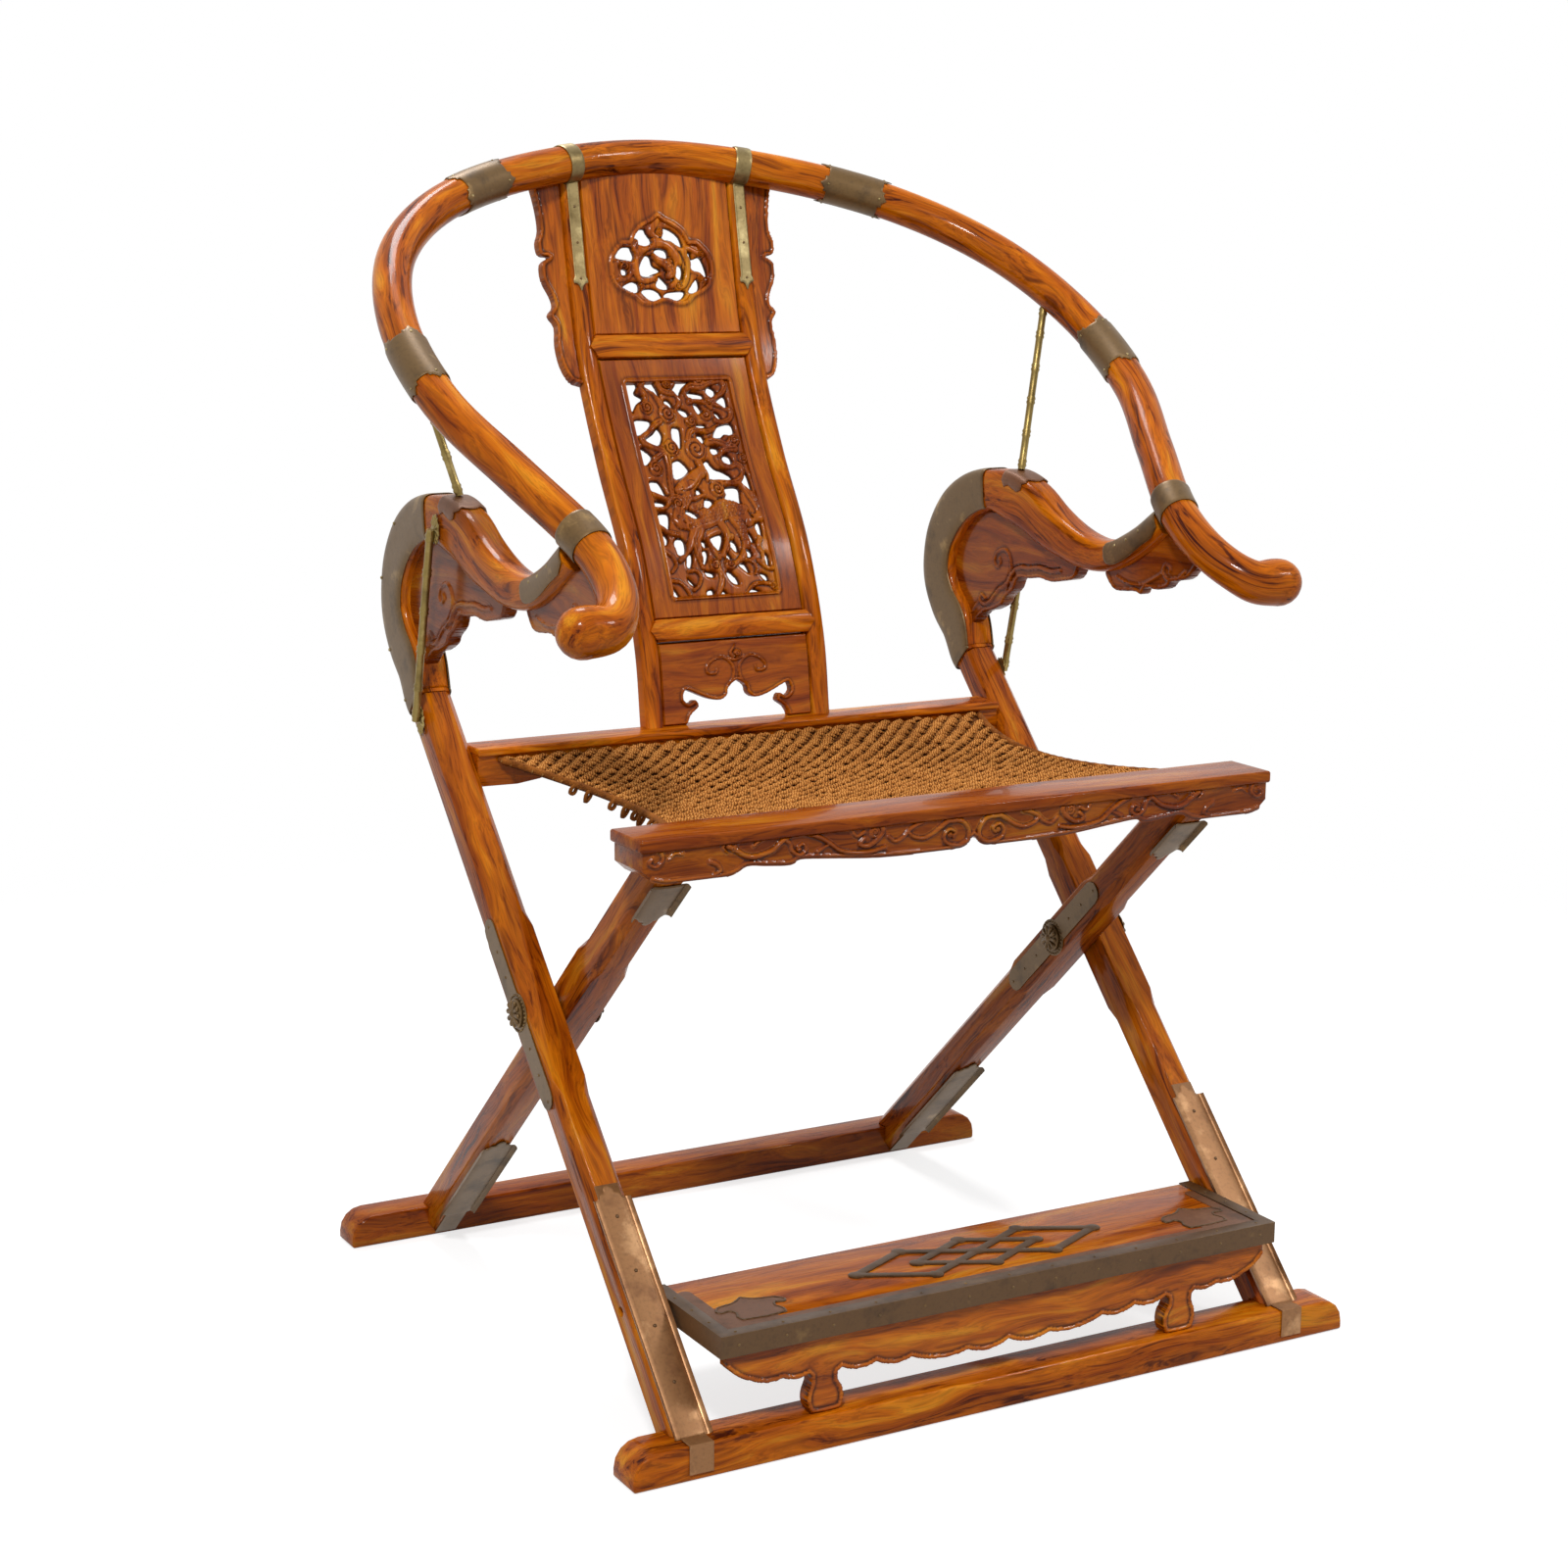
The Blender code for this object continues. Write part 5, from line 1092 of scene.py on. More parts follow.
def post_stations():
    """Places (y, z) along the post, from the leg's end to the neck's tip, with its thickness."""
    line = [
        (*leg_point(OUTER_LEAN, OUTER_LEG_REACH + GAP / 2), OUTER_LEG_THICKNESS),
        (*leg_point(OUTER_LEAN, OUTER_LEG_REACH + 0.010), OUTER_LEG_THICKNESS + 0.004),
    ]
    return line + [(PIVOT.x + y, PIVOT.y + z, thick) for y, z, thick in (*BEND, *NECK)]


POST = post_stations()
POST_LAST = len(POST) - 1
POST_JOINT = POST_LAST - len(NECK)


def post_at(place):
    """The post's middle, its direction and its thickness at a place along it."""
    y, z, thick = smooth(POST, place)
    ahead, behind = smooth(POST, min(place + 0.1, POST_LAST)), smooth(POST, max(place - 0.1, 0))
    return Vector((y, z)), Vector((ahead.x - behind.x, ahead.y - behind.y)).normalized(), thick


def post_skin(here, turn, side, out=0.0):
    """A place on the post's skin: square on the leg, nearly round at the neck's tip."""
    middle, along, thick = post_at(here)
    share = max(0.0, here - POST_JOINT) / (POST_LAST - POST_JOINT)
    power = LEG_POWER + (TIP_POWER - LEG_POWER) * share
    wide = POST_WIDTH + (NECK_WIDTH - POST_WIDTH) * share
    across = math.copysign(abs(math.cos(turn)) ** (2 / power), math.cos(turn)) * (wide / 2 + out)
    tall = math.copysign(abs(math.sin(turn)) ** (2 / power), math.sin(turn)) * (thick / 2 + out)
    spot = middle + Vector((-along.y, along.x)) * tall
    return (side * (OUTER_LEG_X + across), spot.x, spot.y), across, tall


def post_run(first, last):
    """The length along the post's middle, in metres."""
    return sum((post_at(a)[0] - post_at(a + 0.1)[0]).length for a in np.arange(first, last - 0.05, 0.1))


def saddle(name, first, last, outline, side, pitch=0.9):
    """A brass sheet bent over the top of the post. The outline is in millimetres along and round it."""
    span = post_run(first, last)
    bend = 0.0155

    def place(u, w, h):
        return np.array([post_skin(first + (last - first) * along / span, around / bend - math.pi / 2, side,
                                   0.0004 + out)[0]
                         for along, around, out in zip(u, w, h)])
    wide = max(abs(y) for _, y in outline)
    box = (min(x for x, _ in outline), -wide, max(x for x, _ in outline), wide)
    return carve(name, box, pitch, [], place, -0.3, solid=outline, ground=1.3, grain_up=False)


def post_mesh(name, first, last, side, seed):
    """A length of the post, with grain that follows it."""
    sides, count = 32, int((last - first) * 5)
    places, grain, run, before = [], [], 0.0, None
    for number in range(count + 1):
        here = first + (last - first) * number / count
        middle = post_at(here)[0]
        run += (middle - before).length if before else 0
        before = middle
        for corner in range(sides):
            spot, across, tall = post_skin(here, TURN * (corner + 0.5) / sides, side)
            places.append(spot)
            grain.append((run + seed * BOARD_SHIFT, across + 0.02, tall + 0.028 + seed * BOARD_STEP))
    return outward(mesh_object(name, places, skin(count + 1, sides), grain=grain), 50)


class CHAIR_OT_posts(bpy.types.Operator):
    """Bends the posts, draws out the goose-necks and wraps the bends in brass"""
    bl_idname = "chair.posts"
    bl_label = "Bends and goose-necks"

    def execute(self, context):
        for number, (side_name, side) in enumerate(SIDES):
            bend = post_mesh("post_bend_" + side_name + "_wood", 0, POST_JOINT, side, seed=number + 7)
            finish(bend, "rosewood", "post_bend_" + side_name)
            neck = post_mesh("goose_neck_" + side_name + "_wood", POST_JOINT, POST_LAST, side, seed=number + 9)
            finish(neck, "rosewood", "goose_neck_" + side_name)
            end = post_run(0, POST_JOINT) / MM
            plate = saddle("bend_plate_" + side_name + "_brass", 0, POST_JOINT, rectangle(1, -37, end - 1, 37), side,
                           1.5)
            finish(plate, "old_brass", "bend_plate_" + side_name)
            shape = closed(folded_over([(48, 0), (40, 5), (22, 11), (8, 13), (2, 21), (6, 30), (20, 33), (60, 31),
                                        (90, 28)]), 2)
            strap = saddle("arm_strap_" + side_name + "_brass", POST_LAST - 2.6, POST_LAST, shape, side)
            finish(strap, "old_brass", "arm_strap_" + side_name)
            shape = closed(folded_over([(36, 0), (32, 4), (35, 9), (31, 14), (33, 19), (26, 22), (12, 21), (1, 20)]), 2)
            cap = saddle("rod_cap_" + side_name + "_brass", 9.78, 10.95, shape, side)
            finish(cap, "plate_brass", like="arm_strap_" + side_name)
            spots = []
            for back in (0.7, 1.3, 1.9):
                for turn in (-1.25, 1.25):
                    spot = Vector(post_skin(POST_LAST - back, turn - math.pi / 2, side, 0.0014)[0])
                    middle = Vector((side * OUTER_LEG_X, spot.y, spot.z - 0.004))
                    spots.append((spot, (spot - middle).normalized()))
            studs("arm_strap_rivets_" + side_name, spots, sizes().rivet_radius, "arm_strap_" + side_name)
            spots = []
            for place in range(1, POST_JOINT, 2):
                middle, along, thick = post_at(place)
                spot = middle - Vector((-along.y, along.x)) * (thick / 2 - 0.006)
                spots.append(((side * OUTER_FACE, *spot), (side, 0, 0)))
            studs("bend_rivets_" + side_name, spots, sizes().rivet_radius, "bend_plate_" + side_name)
        return {"FINISHED"}


BEND_SPANDREL = (
    (42.8, 352.8), (50.3, 339.8), (70.3, 335.0), (88.8, 331.8), (108.8, 333.3), (125.8, 330.8), (145.8, 328.8),
    (153.8, 316.8), (168.8, 306.8), (174.8, 298.8), (193.8, 290.8), (208.8, 286.8), (232.3, 267.8), (238.8, 263.8),
    (265.0, 298.0), (269.0, 330.0), (258.0, 360.0), (225.0, 386.0), (158.9, 392.0), (126.9, 384.0), (96.9, 372.0),
    (65.9, 363.0),
)
ARM_SPANDREL = (
    (1.9, 355.0), (-11.7, 338.0), (-27.7, 337.0), (-46.6, 338.9), (-56.1, 337.2), (-63.6, 344.2), (-82.1, 344.6),
    (-95.7, 348.1), (-103.6, 355.0), (-122.3, 358.6), (-133.7, 366.4), (-145.0, 380.0), (-133.7, 401.5),
    (-112.0, 400.0), (-96.0, 398.0), (-76.0, 395.0), (-56.1, 384.0), (-26.1, 370.0),
)


class CHAIR_OT_spandrels(bpy.types.Operator):
    """Carves the cloud brackets in each bend and under each arm"""
    bl_idname = "chair.spandrels"
    bl_label = "Spandrels"

    def execute(self, context):
        for number, (side_name, side) in enumerate(SIDES):
            place, near = (on_plane((side * (OUTER_LEG_X - half), PIVOT.x, PIVOT.y), Y, Z, (-side, 0, 0))
                           for half in (0.006, 0.0048))
            lower = flat_smooth(BEND_SPANDREL[:14])
            edge = relief(inset(lower, 1.9), 3.0, 3.0, 1.4, steps=1)
            line = inset(flat_smooth(BEND_SPANDREL[2:9]), 10)
            hook = [(159, 340), (160, 330), (168, 320), (180, 313), (188, 306), (196, 299), (206, 295), (214, 299),
                    (211, 305), (204, 302)]
            head = [(157, 337), (161, 349), (171, 355), (184, 350), (188, 341), (183, 336), (177, 341), (179, 345)]
            scroll = [relief(line, 4.0, 4.0, 1.8, steps=1), groove(inset(line, 3.0), 1.6, 1.2, steps=1),
                      relief(hook, 4.4, 3.4, 1.9), relief(head, 4.4, 3.2, 1.9),
                      groove([(x + 3, y + 3) for x, y in hook[:7]], 1.6, 1.2),
                      groove([(151, 333), (158, 326), (166, 314)], 1.8, 1.2),
                      relief([(214, 299), (226, 288), (236, 272)], 3.4, 2.4, 1.4)]
            piece = carve("bend_spandrel_" + side_name + "_wood", (40, 260, 270, 396), 1.0, [edge, *scroll], place,
                          12.0, solid=closed(BEND_SPANDREL), both=True, seed=number + 11, grain_up=False)
            finish(piece, "bracket_rosewood", "bend_spandrel_" + side_name)

            edge = relief(inset(flat_smooth(ARM_SPANDREL[:12]), -1.9), 3.0, 3.0, 1.3, steps=1)
            curl = [(-124, 366), (-112, 358), (-98, 356), (-90, 362), (-94, 369), (-101, 367), (-100, 363)]
            scroll = [relief(curl, 3.6, 2.6, 1.6),
                      relief([(-88, 360), (-72, 352), (-54, 346), (-34, 346), (-18, 350)], 3.2, 2.2, 1.4)]
            piece = carve("arm_spandrel_" + side_name + "_wood", (-147, 334, 6, 404), 1.1, [edge, *scroll], near, 9.6,
                          solid=closed(ARM_SPANDREL), both=True, seed=number + 13, grain_up=False)
            finish(piece, "bracket_rosewood", "arm_spandrel_" + side_name)
        return {"FINISHED"}


class CHAIR_OT_frame_bars(bpy.types.Operator):
    """Dresses the legs, the floor stretchers, the seat rails and the footrest's wood"""
    bl_idname = "chair.frame_bars"
    bl_label = "Legs, stretchers and rails"

    def execute(self, context):
        edge = sizes().edge_round
        bars = [
            ("front_floor_stretcher", X, edge * 2.2, "rosewood"),
            ("rear_floor_stretcher", X, edge * 2.2, "dark_rosewood"),
            # The front seat rail takes a finish darkened with painted shade
            ("front_seat_rail", X, edge * 0.8, "rail_rosewood_painted_shade"), ("rear_seat_rail", X, edge * 0.8, "rosewood"),
            ("footrest_board", X, 0.0006, "plain_rosewood"),
        ]
        for side_name, _ in SIDES:
            bars.append(("outer_leg_" + side_name, (0, *OUTER_LEAN), edge * 2.2, "leg_rosewood"))
            bars.append(("inner_leg_" + side_name, (0, *INNER_LEAN), edge * 2.2, "leg_rosewood"))
        for number, (node, along, bevel, look) in enumerate(bars):
            piece = copy_of(node, node + "_wood", bevel)
            lay_grain(piece, along, seed=number + 1)
            finish(piece, look, node)
        for node in sorted(frame["nodes"]):
            if any(part in node for part in ("shoe", "pivot_plate", "pivot_pin", "footrest_edging")):
                piece = copy_of(node, node + "_brass", 0.0003, 1)
                look = "shoe_brass" if "outer_shoe" in node else "edging_brass" if "edging" in node else "old_brass"
                finish(piece, look, node)
            if "footrest_pin" in node:
                piece = copy_of(node, node + "_iron", 0.0003, 1)
                finish(piece, "iron", node)
        return {"FINISHED"}


class CHAIR_OT_shoes(bpy.types.Operator):
    """Rolls the brass shoes and head plates over the legs' edges and cuts their cloud ends"""
    bl_idname = "chair.shoes"
    bl_label = "Shoes"

    def execute(self, context):
        outer = (OUTER_LEAN, OUTER_LEG_X, OUTER_LEG_WIDTH, OUTER_LEG_THICKNESS / 2)
        inner = (INNER_LEAN, INNER_LEG_X, INNER_LEG_WIDTH, INNER_LEG_THICKNESS / 2)
        for side_name, side in SIDES:
            for name, node, (lean, middle, width, face), height, length, way, look in (
                ("outer_shoe_", "outer_shoe_", outer, BASE_HEIGHT, 214, 1, "shoe_brass"),
                ("inner_shoe_", "inner_shoe_", inner, BASE_HEIGHT, 146, 1, "old_brass"),
                ("inner_leg_head_", "inner_shoe_", inner, HEAD_PLATE_TOP_Z, 50, -1, "old_brass"),
            ):
                start = (height - leg_point(lean, 0, face).y) / lean.y
                half = width / 2 + WRAP_MARGIN

                def place(u, w, h):
                    places = []
                    for along, around, out in zip(u, w, h):
                        around = min(max(around, -half), half)
                        share = abs(around) / half
                        drop = WRAP_ROLL * (1 - max(1 - share ** 3.4, 0) ** (1 / 2.6))
                        y, z = leg_point(lean, start + way * along, face + abs(WRAP_RISE - drop + out))
                        places.append((side * (middle + around), y, z))
                    return np.array(places)
                edge, tip = half / MM, length + 14
                head = [(tip, 0), (tip - 3, 4), (tip - 7, 5), (tip - 8, 9), (tip - 13, 12), (tip - 14, edge),
                        (tip - 24, edge)]
                outline = [*flat_smooth(head, 2), (0, edge), (0, -edge),
                           *flat_smooth([(x, -y) for x, y in head[:0:-1]], 2)]
                sheet = carve(name + side_name + "_wrap", (0, -edge, tip, edge), 1.1, [], place, 1.2, solid=outline)
                finish(sheet, look, like=node + side_name)
        return {"FINISHED"}


def seat_top(share):
    """The woven seat's top (y, z) and half width, from the front rail to the rear one."""
    front_y = FRONT_RAIL_FACE_Y + FRONT_RAIL_DEPTH + GAP
    back_y = REAR_RAIL_FACE_Y + REAR_RAIL_SETBACK - GAP
    front_z = FRONT_RAIL_TOP_Z - SEAT_FRONT_DROP
    back_z = REAR_RAIL_TOP_Z - REAR_RAIL_LIP - GAP
    hollow = 4 * share * (1 - share)
    return (front_y + (back_y - front_y) * share, front_z + (back_z - front_z) * share - SEAT_SAG * hollow,
            SEAT_HALF_WIDTH - SEAT_WAIST * hollow)


def rope_stitch():
    """Two turns of rope, one behind the other, that arch over a warp cord and dip under the next."""
    sides, rings = 5, 5
    places, lay = [], []
    for turn_of_rope in (-1, 1):
        for ring in range(rings):
            share = ring / (rings - 1)
            arch = math.sin(math.pi * share)
            for corner in range(sides):
                turn = TURN * (corner + 0.5) / sides - math.pi / 2
                wide = STRAND_RADIUS * (0.70 + 0.30 * arch)
                places.append(((share - 0.5) * STITCH_LENGTH + turn_of_rope * 0.0006,
                               math.cos(turn) * wide + turn_of_rope * STRAND_APART + 0.0012 * (share - 0.5),
                               math.sin(turn) * wide + ARCH_RISE * arch - 0.0020 - turn_of_rope * 0.0003))
                # The third value is painted shade, strongest where the strand dips at its ends
                lay.append((share * 1.9 + corner / sides * 0.31416 + turn_of_rope, 0, 0.6 * (1 - arch) ** 1.5))
    faces = skin(rings, sides) + skin(rings, sides, rings * sides)
    return outward(mesh_object("rope_stitch", places, faces, lay=lay), 180)


class CHAIR_OT_rope_seat(bpy.types.Operator):
    """Weaves the rope seat: stitches in herringbone rows over a slack ground"""
    bl_idname = "chair.rope_seat"
    bl_label = "Rope seat"

    def execute(self, context):
        gap = sizes().stitch_gap
        rng = np.random.default_rng(7)
        places, turns, scales = [], [], []
        length = seat_top(1)[0] - seat_top(0)[0]
        rows = int(length / (gap * 0.4))
        for row in range(rows + 1):
            share = min(max(row / rows, 0.008), 0.992)
            y, z, half = seat_top(share)
            slope = (seat_top(min(share + 0.01, 1))[1] - seat_top(max(share - 0.01, 0))[1]) / (0.02 * length)
            x = -half + 0.009 + (row % 2) * gap / 2
            while x < half - 0.008:
                places.append((x + rng.normal(0, 0.0009), y + rng.normal(0, 0.0006),
                               z - 0.0036 + rng.normal(0, 0.0003)))
                turns.append((math.atan(slope), rng.normal(0, 0.07), rng.normal(0.04, 0.09)))
                size = 1 + rng.normal(0, 0.07)
                scales.append((size * gap / 0.0195, size, 1 + rng.normal(0, 0.10)))
                x += gap
        weave = mesh_object("rope_weave", places, turn=turns, size=scales)
        stitch = rope_stitch()
        run_tree(weave, TREES["stitch"], {"Stitch": stitch, "Material": FINISH["rope"]})
        bpy.data.objects.remove(stitch, do_unlink=True)

        def place(u, w, h):
            tops = [seat_top(share) for share in w / length]
            return np.array([(across / SEAT_HALF_WIDTH * (half - 0.003), y, z - 0.0050 + up)
                             for across, up, (y, z, half) in zip(u, h, tops)])
        edge, far = SEAT_HALF_WIDTH / MM, length / MM
        ground = carve("rope_ground", (-edge, 0, edge, far), 6.0, [], place, 3.0, solid=rectangle(-edge, 0, edge, far))
        # Painted shade: the ground under the stitches is darkened through the lay attribute
        write(ground.data, "lay", [(0, 0, 0.6)] * len(ground.data.vertices))
        frays = []
        for number, share in enumerate((0.08, 0.15, 0.20, 0.30, 0.35, 0.42, 0.50, 0.63, 0.70)):
            y, z, half = seat_top(share)
            x = -half
            loop = [Vector((x + 0.004, y, z - 0.003)), Vector((x - 0.002, y + 0.002, z - 0.006)),
                    Vector((x - 0.003, y + 0.004, z - 0.011 - 0.003 * (number % 2))),
                    Vector((x + 0.001, y + 0.005, z - 0.012)), Vector((x + 0.004, y + 0.004, z - 0.006))]
            frays.append(tube_mesh(f"rope_fray_{number}", smooth_line(loop, 3),
                                   [0.0019 - 0.0001 * (n % 2) for n in range(13)], 7))
        for side in (-1, 1):
            edge = [Vector((side * (seat_top(n / 60)[2] - 0.0028), seat_top(n / 60)[0], seat_top(n / 60)[1] - 0.0038))
                    for n in range(61)]
            frays.append(tube_mesh(f"rope_selvage_{side + 1}", edge, [0.0030 + 0.0004 * (n % 2) for n in range(61)], 8))
        fringe = joined("rope_seat_frays", frays)
        for piece in (weave, ground, fringe):
            across_the_fold(piece)
        ground.name = "rope_seat_ground"
        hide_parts("rope_seat")
        return {"FINISHED"}


def across_the_fold(piece):
    """Finishes a piece of the seat: shades it smooth, gives it the rope and bakes its transform."""
    shade(piece, 180)
    piece.data.materials.clear()
    piece.data.materials.append(FINISH["rope"])
    piece.data.polygons.foreach_set("material_index", [0] * len(piece.data.polygons))
    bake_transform(piece)


# The voids of the middle panel in millimetres across and above the seat rail, from its clouds to its rocks
WINDOW_VOIDS = (
    ((-56, 323), (-52, 323), (-46, 318), (-46, 315), (-49, 311), (-48, 308), (-42, 304), (-49, 300), (-54, 294),
     (-56, 294)),
    ((-31, 321), (-28, 319), (-24, 310), (-25, 305), (-30, 310), (-37, 314), (-37, 317)),
    ((1, 323), (10, 321), (10, 318), (4, 314), (0, 309), (-3, 305), (-7, 311), (-3, 316)),
    ((30, 324), (40, 323), (46, 321), (40, 320), (31, 321)), ((33, 313), (39, 310), (38, 306), (34, 304), (29, 309)),
    ((7, 308), (14, 308), (24, 306), (24, 303), (16, 303), (8, 304)),
    ((-19, 301), (-16, 302), (-12, 299), (-12, 294), (-17, 297)),
    ((12, 297), (16, 297), (19, 293), (19, 290), (15, 289)), ((-6, 292), (-2, 293), (3, 291), (4, 287), (0, 286)),
    ((38, 299), (48, 304), (49, 296), (46, 293), (41, 296)), ((33, 289), (37, 288), (39, 284), (36, 284)),
    ((-56, 284), (-41, 284), (-39, 281), (-44, 276), (-49, 273), (-56, 271)),
    ((-33, 276), (-30, 272), (-30, 268), (-34, 262), (-39, 261), (-46, 264), (-47, 267), (-39, 271)),
    ((-17, 276), (-10, 276), (-9, 273), (-10, 266), (-13, 257), (-17, 263), (-19, 267)),
    ((10, 278), (19, 278), (19, 276), (12, 276)),
    ((8, 268), (13, 268), (15, 264), (12, 261), (9, 264)),
    ((34, 276), (48, 278), (50, 271), (46, 268), (39, 269), (34, 266), (27, 266), (28, 270)),
    ((-56, 258), (-51, 256), (-46, 251), (-50, 246), (-56, 244)),
    ((20, 256), (26, 256), (28, 253), (24, 250), (20, 252)),
    ((-25, 244), (-21, 246), (-16, 246), (-10, 239), (-11, 236), (-19, 231), (-27, 230), (-27, 237)),
    ((30, 246), (34, 249), (39, 247), (39, 241), (34, 241)),
    ((7, 241), (13, 245), (16, 241), (20, 237), (26, 235), (33, 231), (35, 228), (30, 227), (20, 228), (11, 228),
     (10, 237)),
    ((49, 231), (52, 231), (53, 221), (52, 216), (48, 219), (44, 223), (47, 227)),
    ((-55, 228), (-47, 228), (-44, 224), (-42, 217), (-41, 214), (-47, 216), (-53, 219), (-56, 222)),
    ((-7, 219), (-4, 219), (-3, 216), (-8, 215)),
    ((24, 219), (34, 220), (39, 218), (38, 211), (36, 204), (29, 207), (21, 209), (24, 214)),
    ((-56, 210), (-47, 209), (-46, 206), (-56, 206)),
    ((0, 210), (6, 209), (6, 206), (0, 202), (-3, 202), (-3, 206)),
    ((-56, 198), (-46, 199), (-45, 194), (-49, 184), (-53, 187), (-57, 190)),
    ((-26, 200), (-20, 200), (-14, 196), (-14, 193), (-19, 192), (-24, 195)),
    ((41, 196), (44, 194), (45, 191), (42, 191)),
    ((46, 183), (51, 186), (51, 175), (48, 174)), ((-57, 181), (-52, 176), (-54, 171), (-57, 171)),
    ((-46, 171), (-42, 175), (-36, 174), (-35, 169), (-36, 163), (-39, 160), (-44, 161), (-45, 166)),
    ((-7, 173), (6, 177), (6, 171), (1, 163), (-2, 165)), ((-18, 171), (-13, 171), (-13, 166), (-15, 166)),
    ((13, 169), (18, 170), (21, 165), (20, 160), (16, 163)), ((35, 176), (38, 176), (40, 171), (39, 168), (36, 171)),
    ((28, 161), (34, 160), (35, 156), (31, 155)), ((-19, 160), (-14, 163), (-13, 158), (-17, 151), (-19, 151)),
    ((-34, 159), (-30, 160), (-31, 153), (-34, 148), (-37, 149), (-36, 155)),
    ((7, 159), (11, 156), (12, 152), (8, 154)),
    ((49, 156), (52, 155), (52, 147), (50, 146)), ((19, 148), (25, 148), (28, 143), (28, 140), (24, 143)),
    ((-19, 143), (-11, 141), (-11, 138), (-17, 139)), ((4, 141), (8, 141), (14, 135), (15, 130), (10, 131), (6, 135)),
    ((-39, 138), (-34, 133), (-33, 130), (-38, 134)), ((40, 138), (46, 137), (48, 133), (45, 132)),
    ((-59, 129), (-55, 128), (-51, 121), (-50, 118), (-56, 119), (-59, 120)),
    ((-21, 124), (-15, 126), (-14, 122), (-19, 120)),
    ((-6, 119), (-3, 124), (0, 122), (2, 118)), ((24, 121), (29, 124), (36, 122), (38, 118), (30, 118)),
)


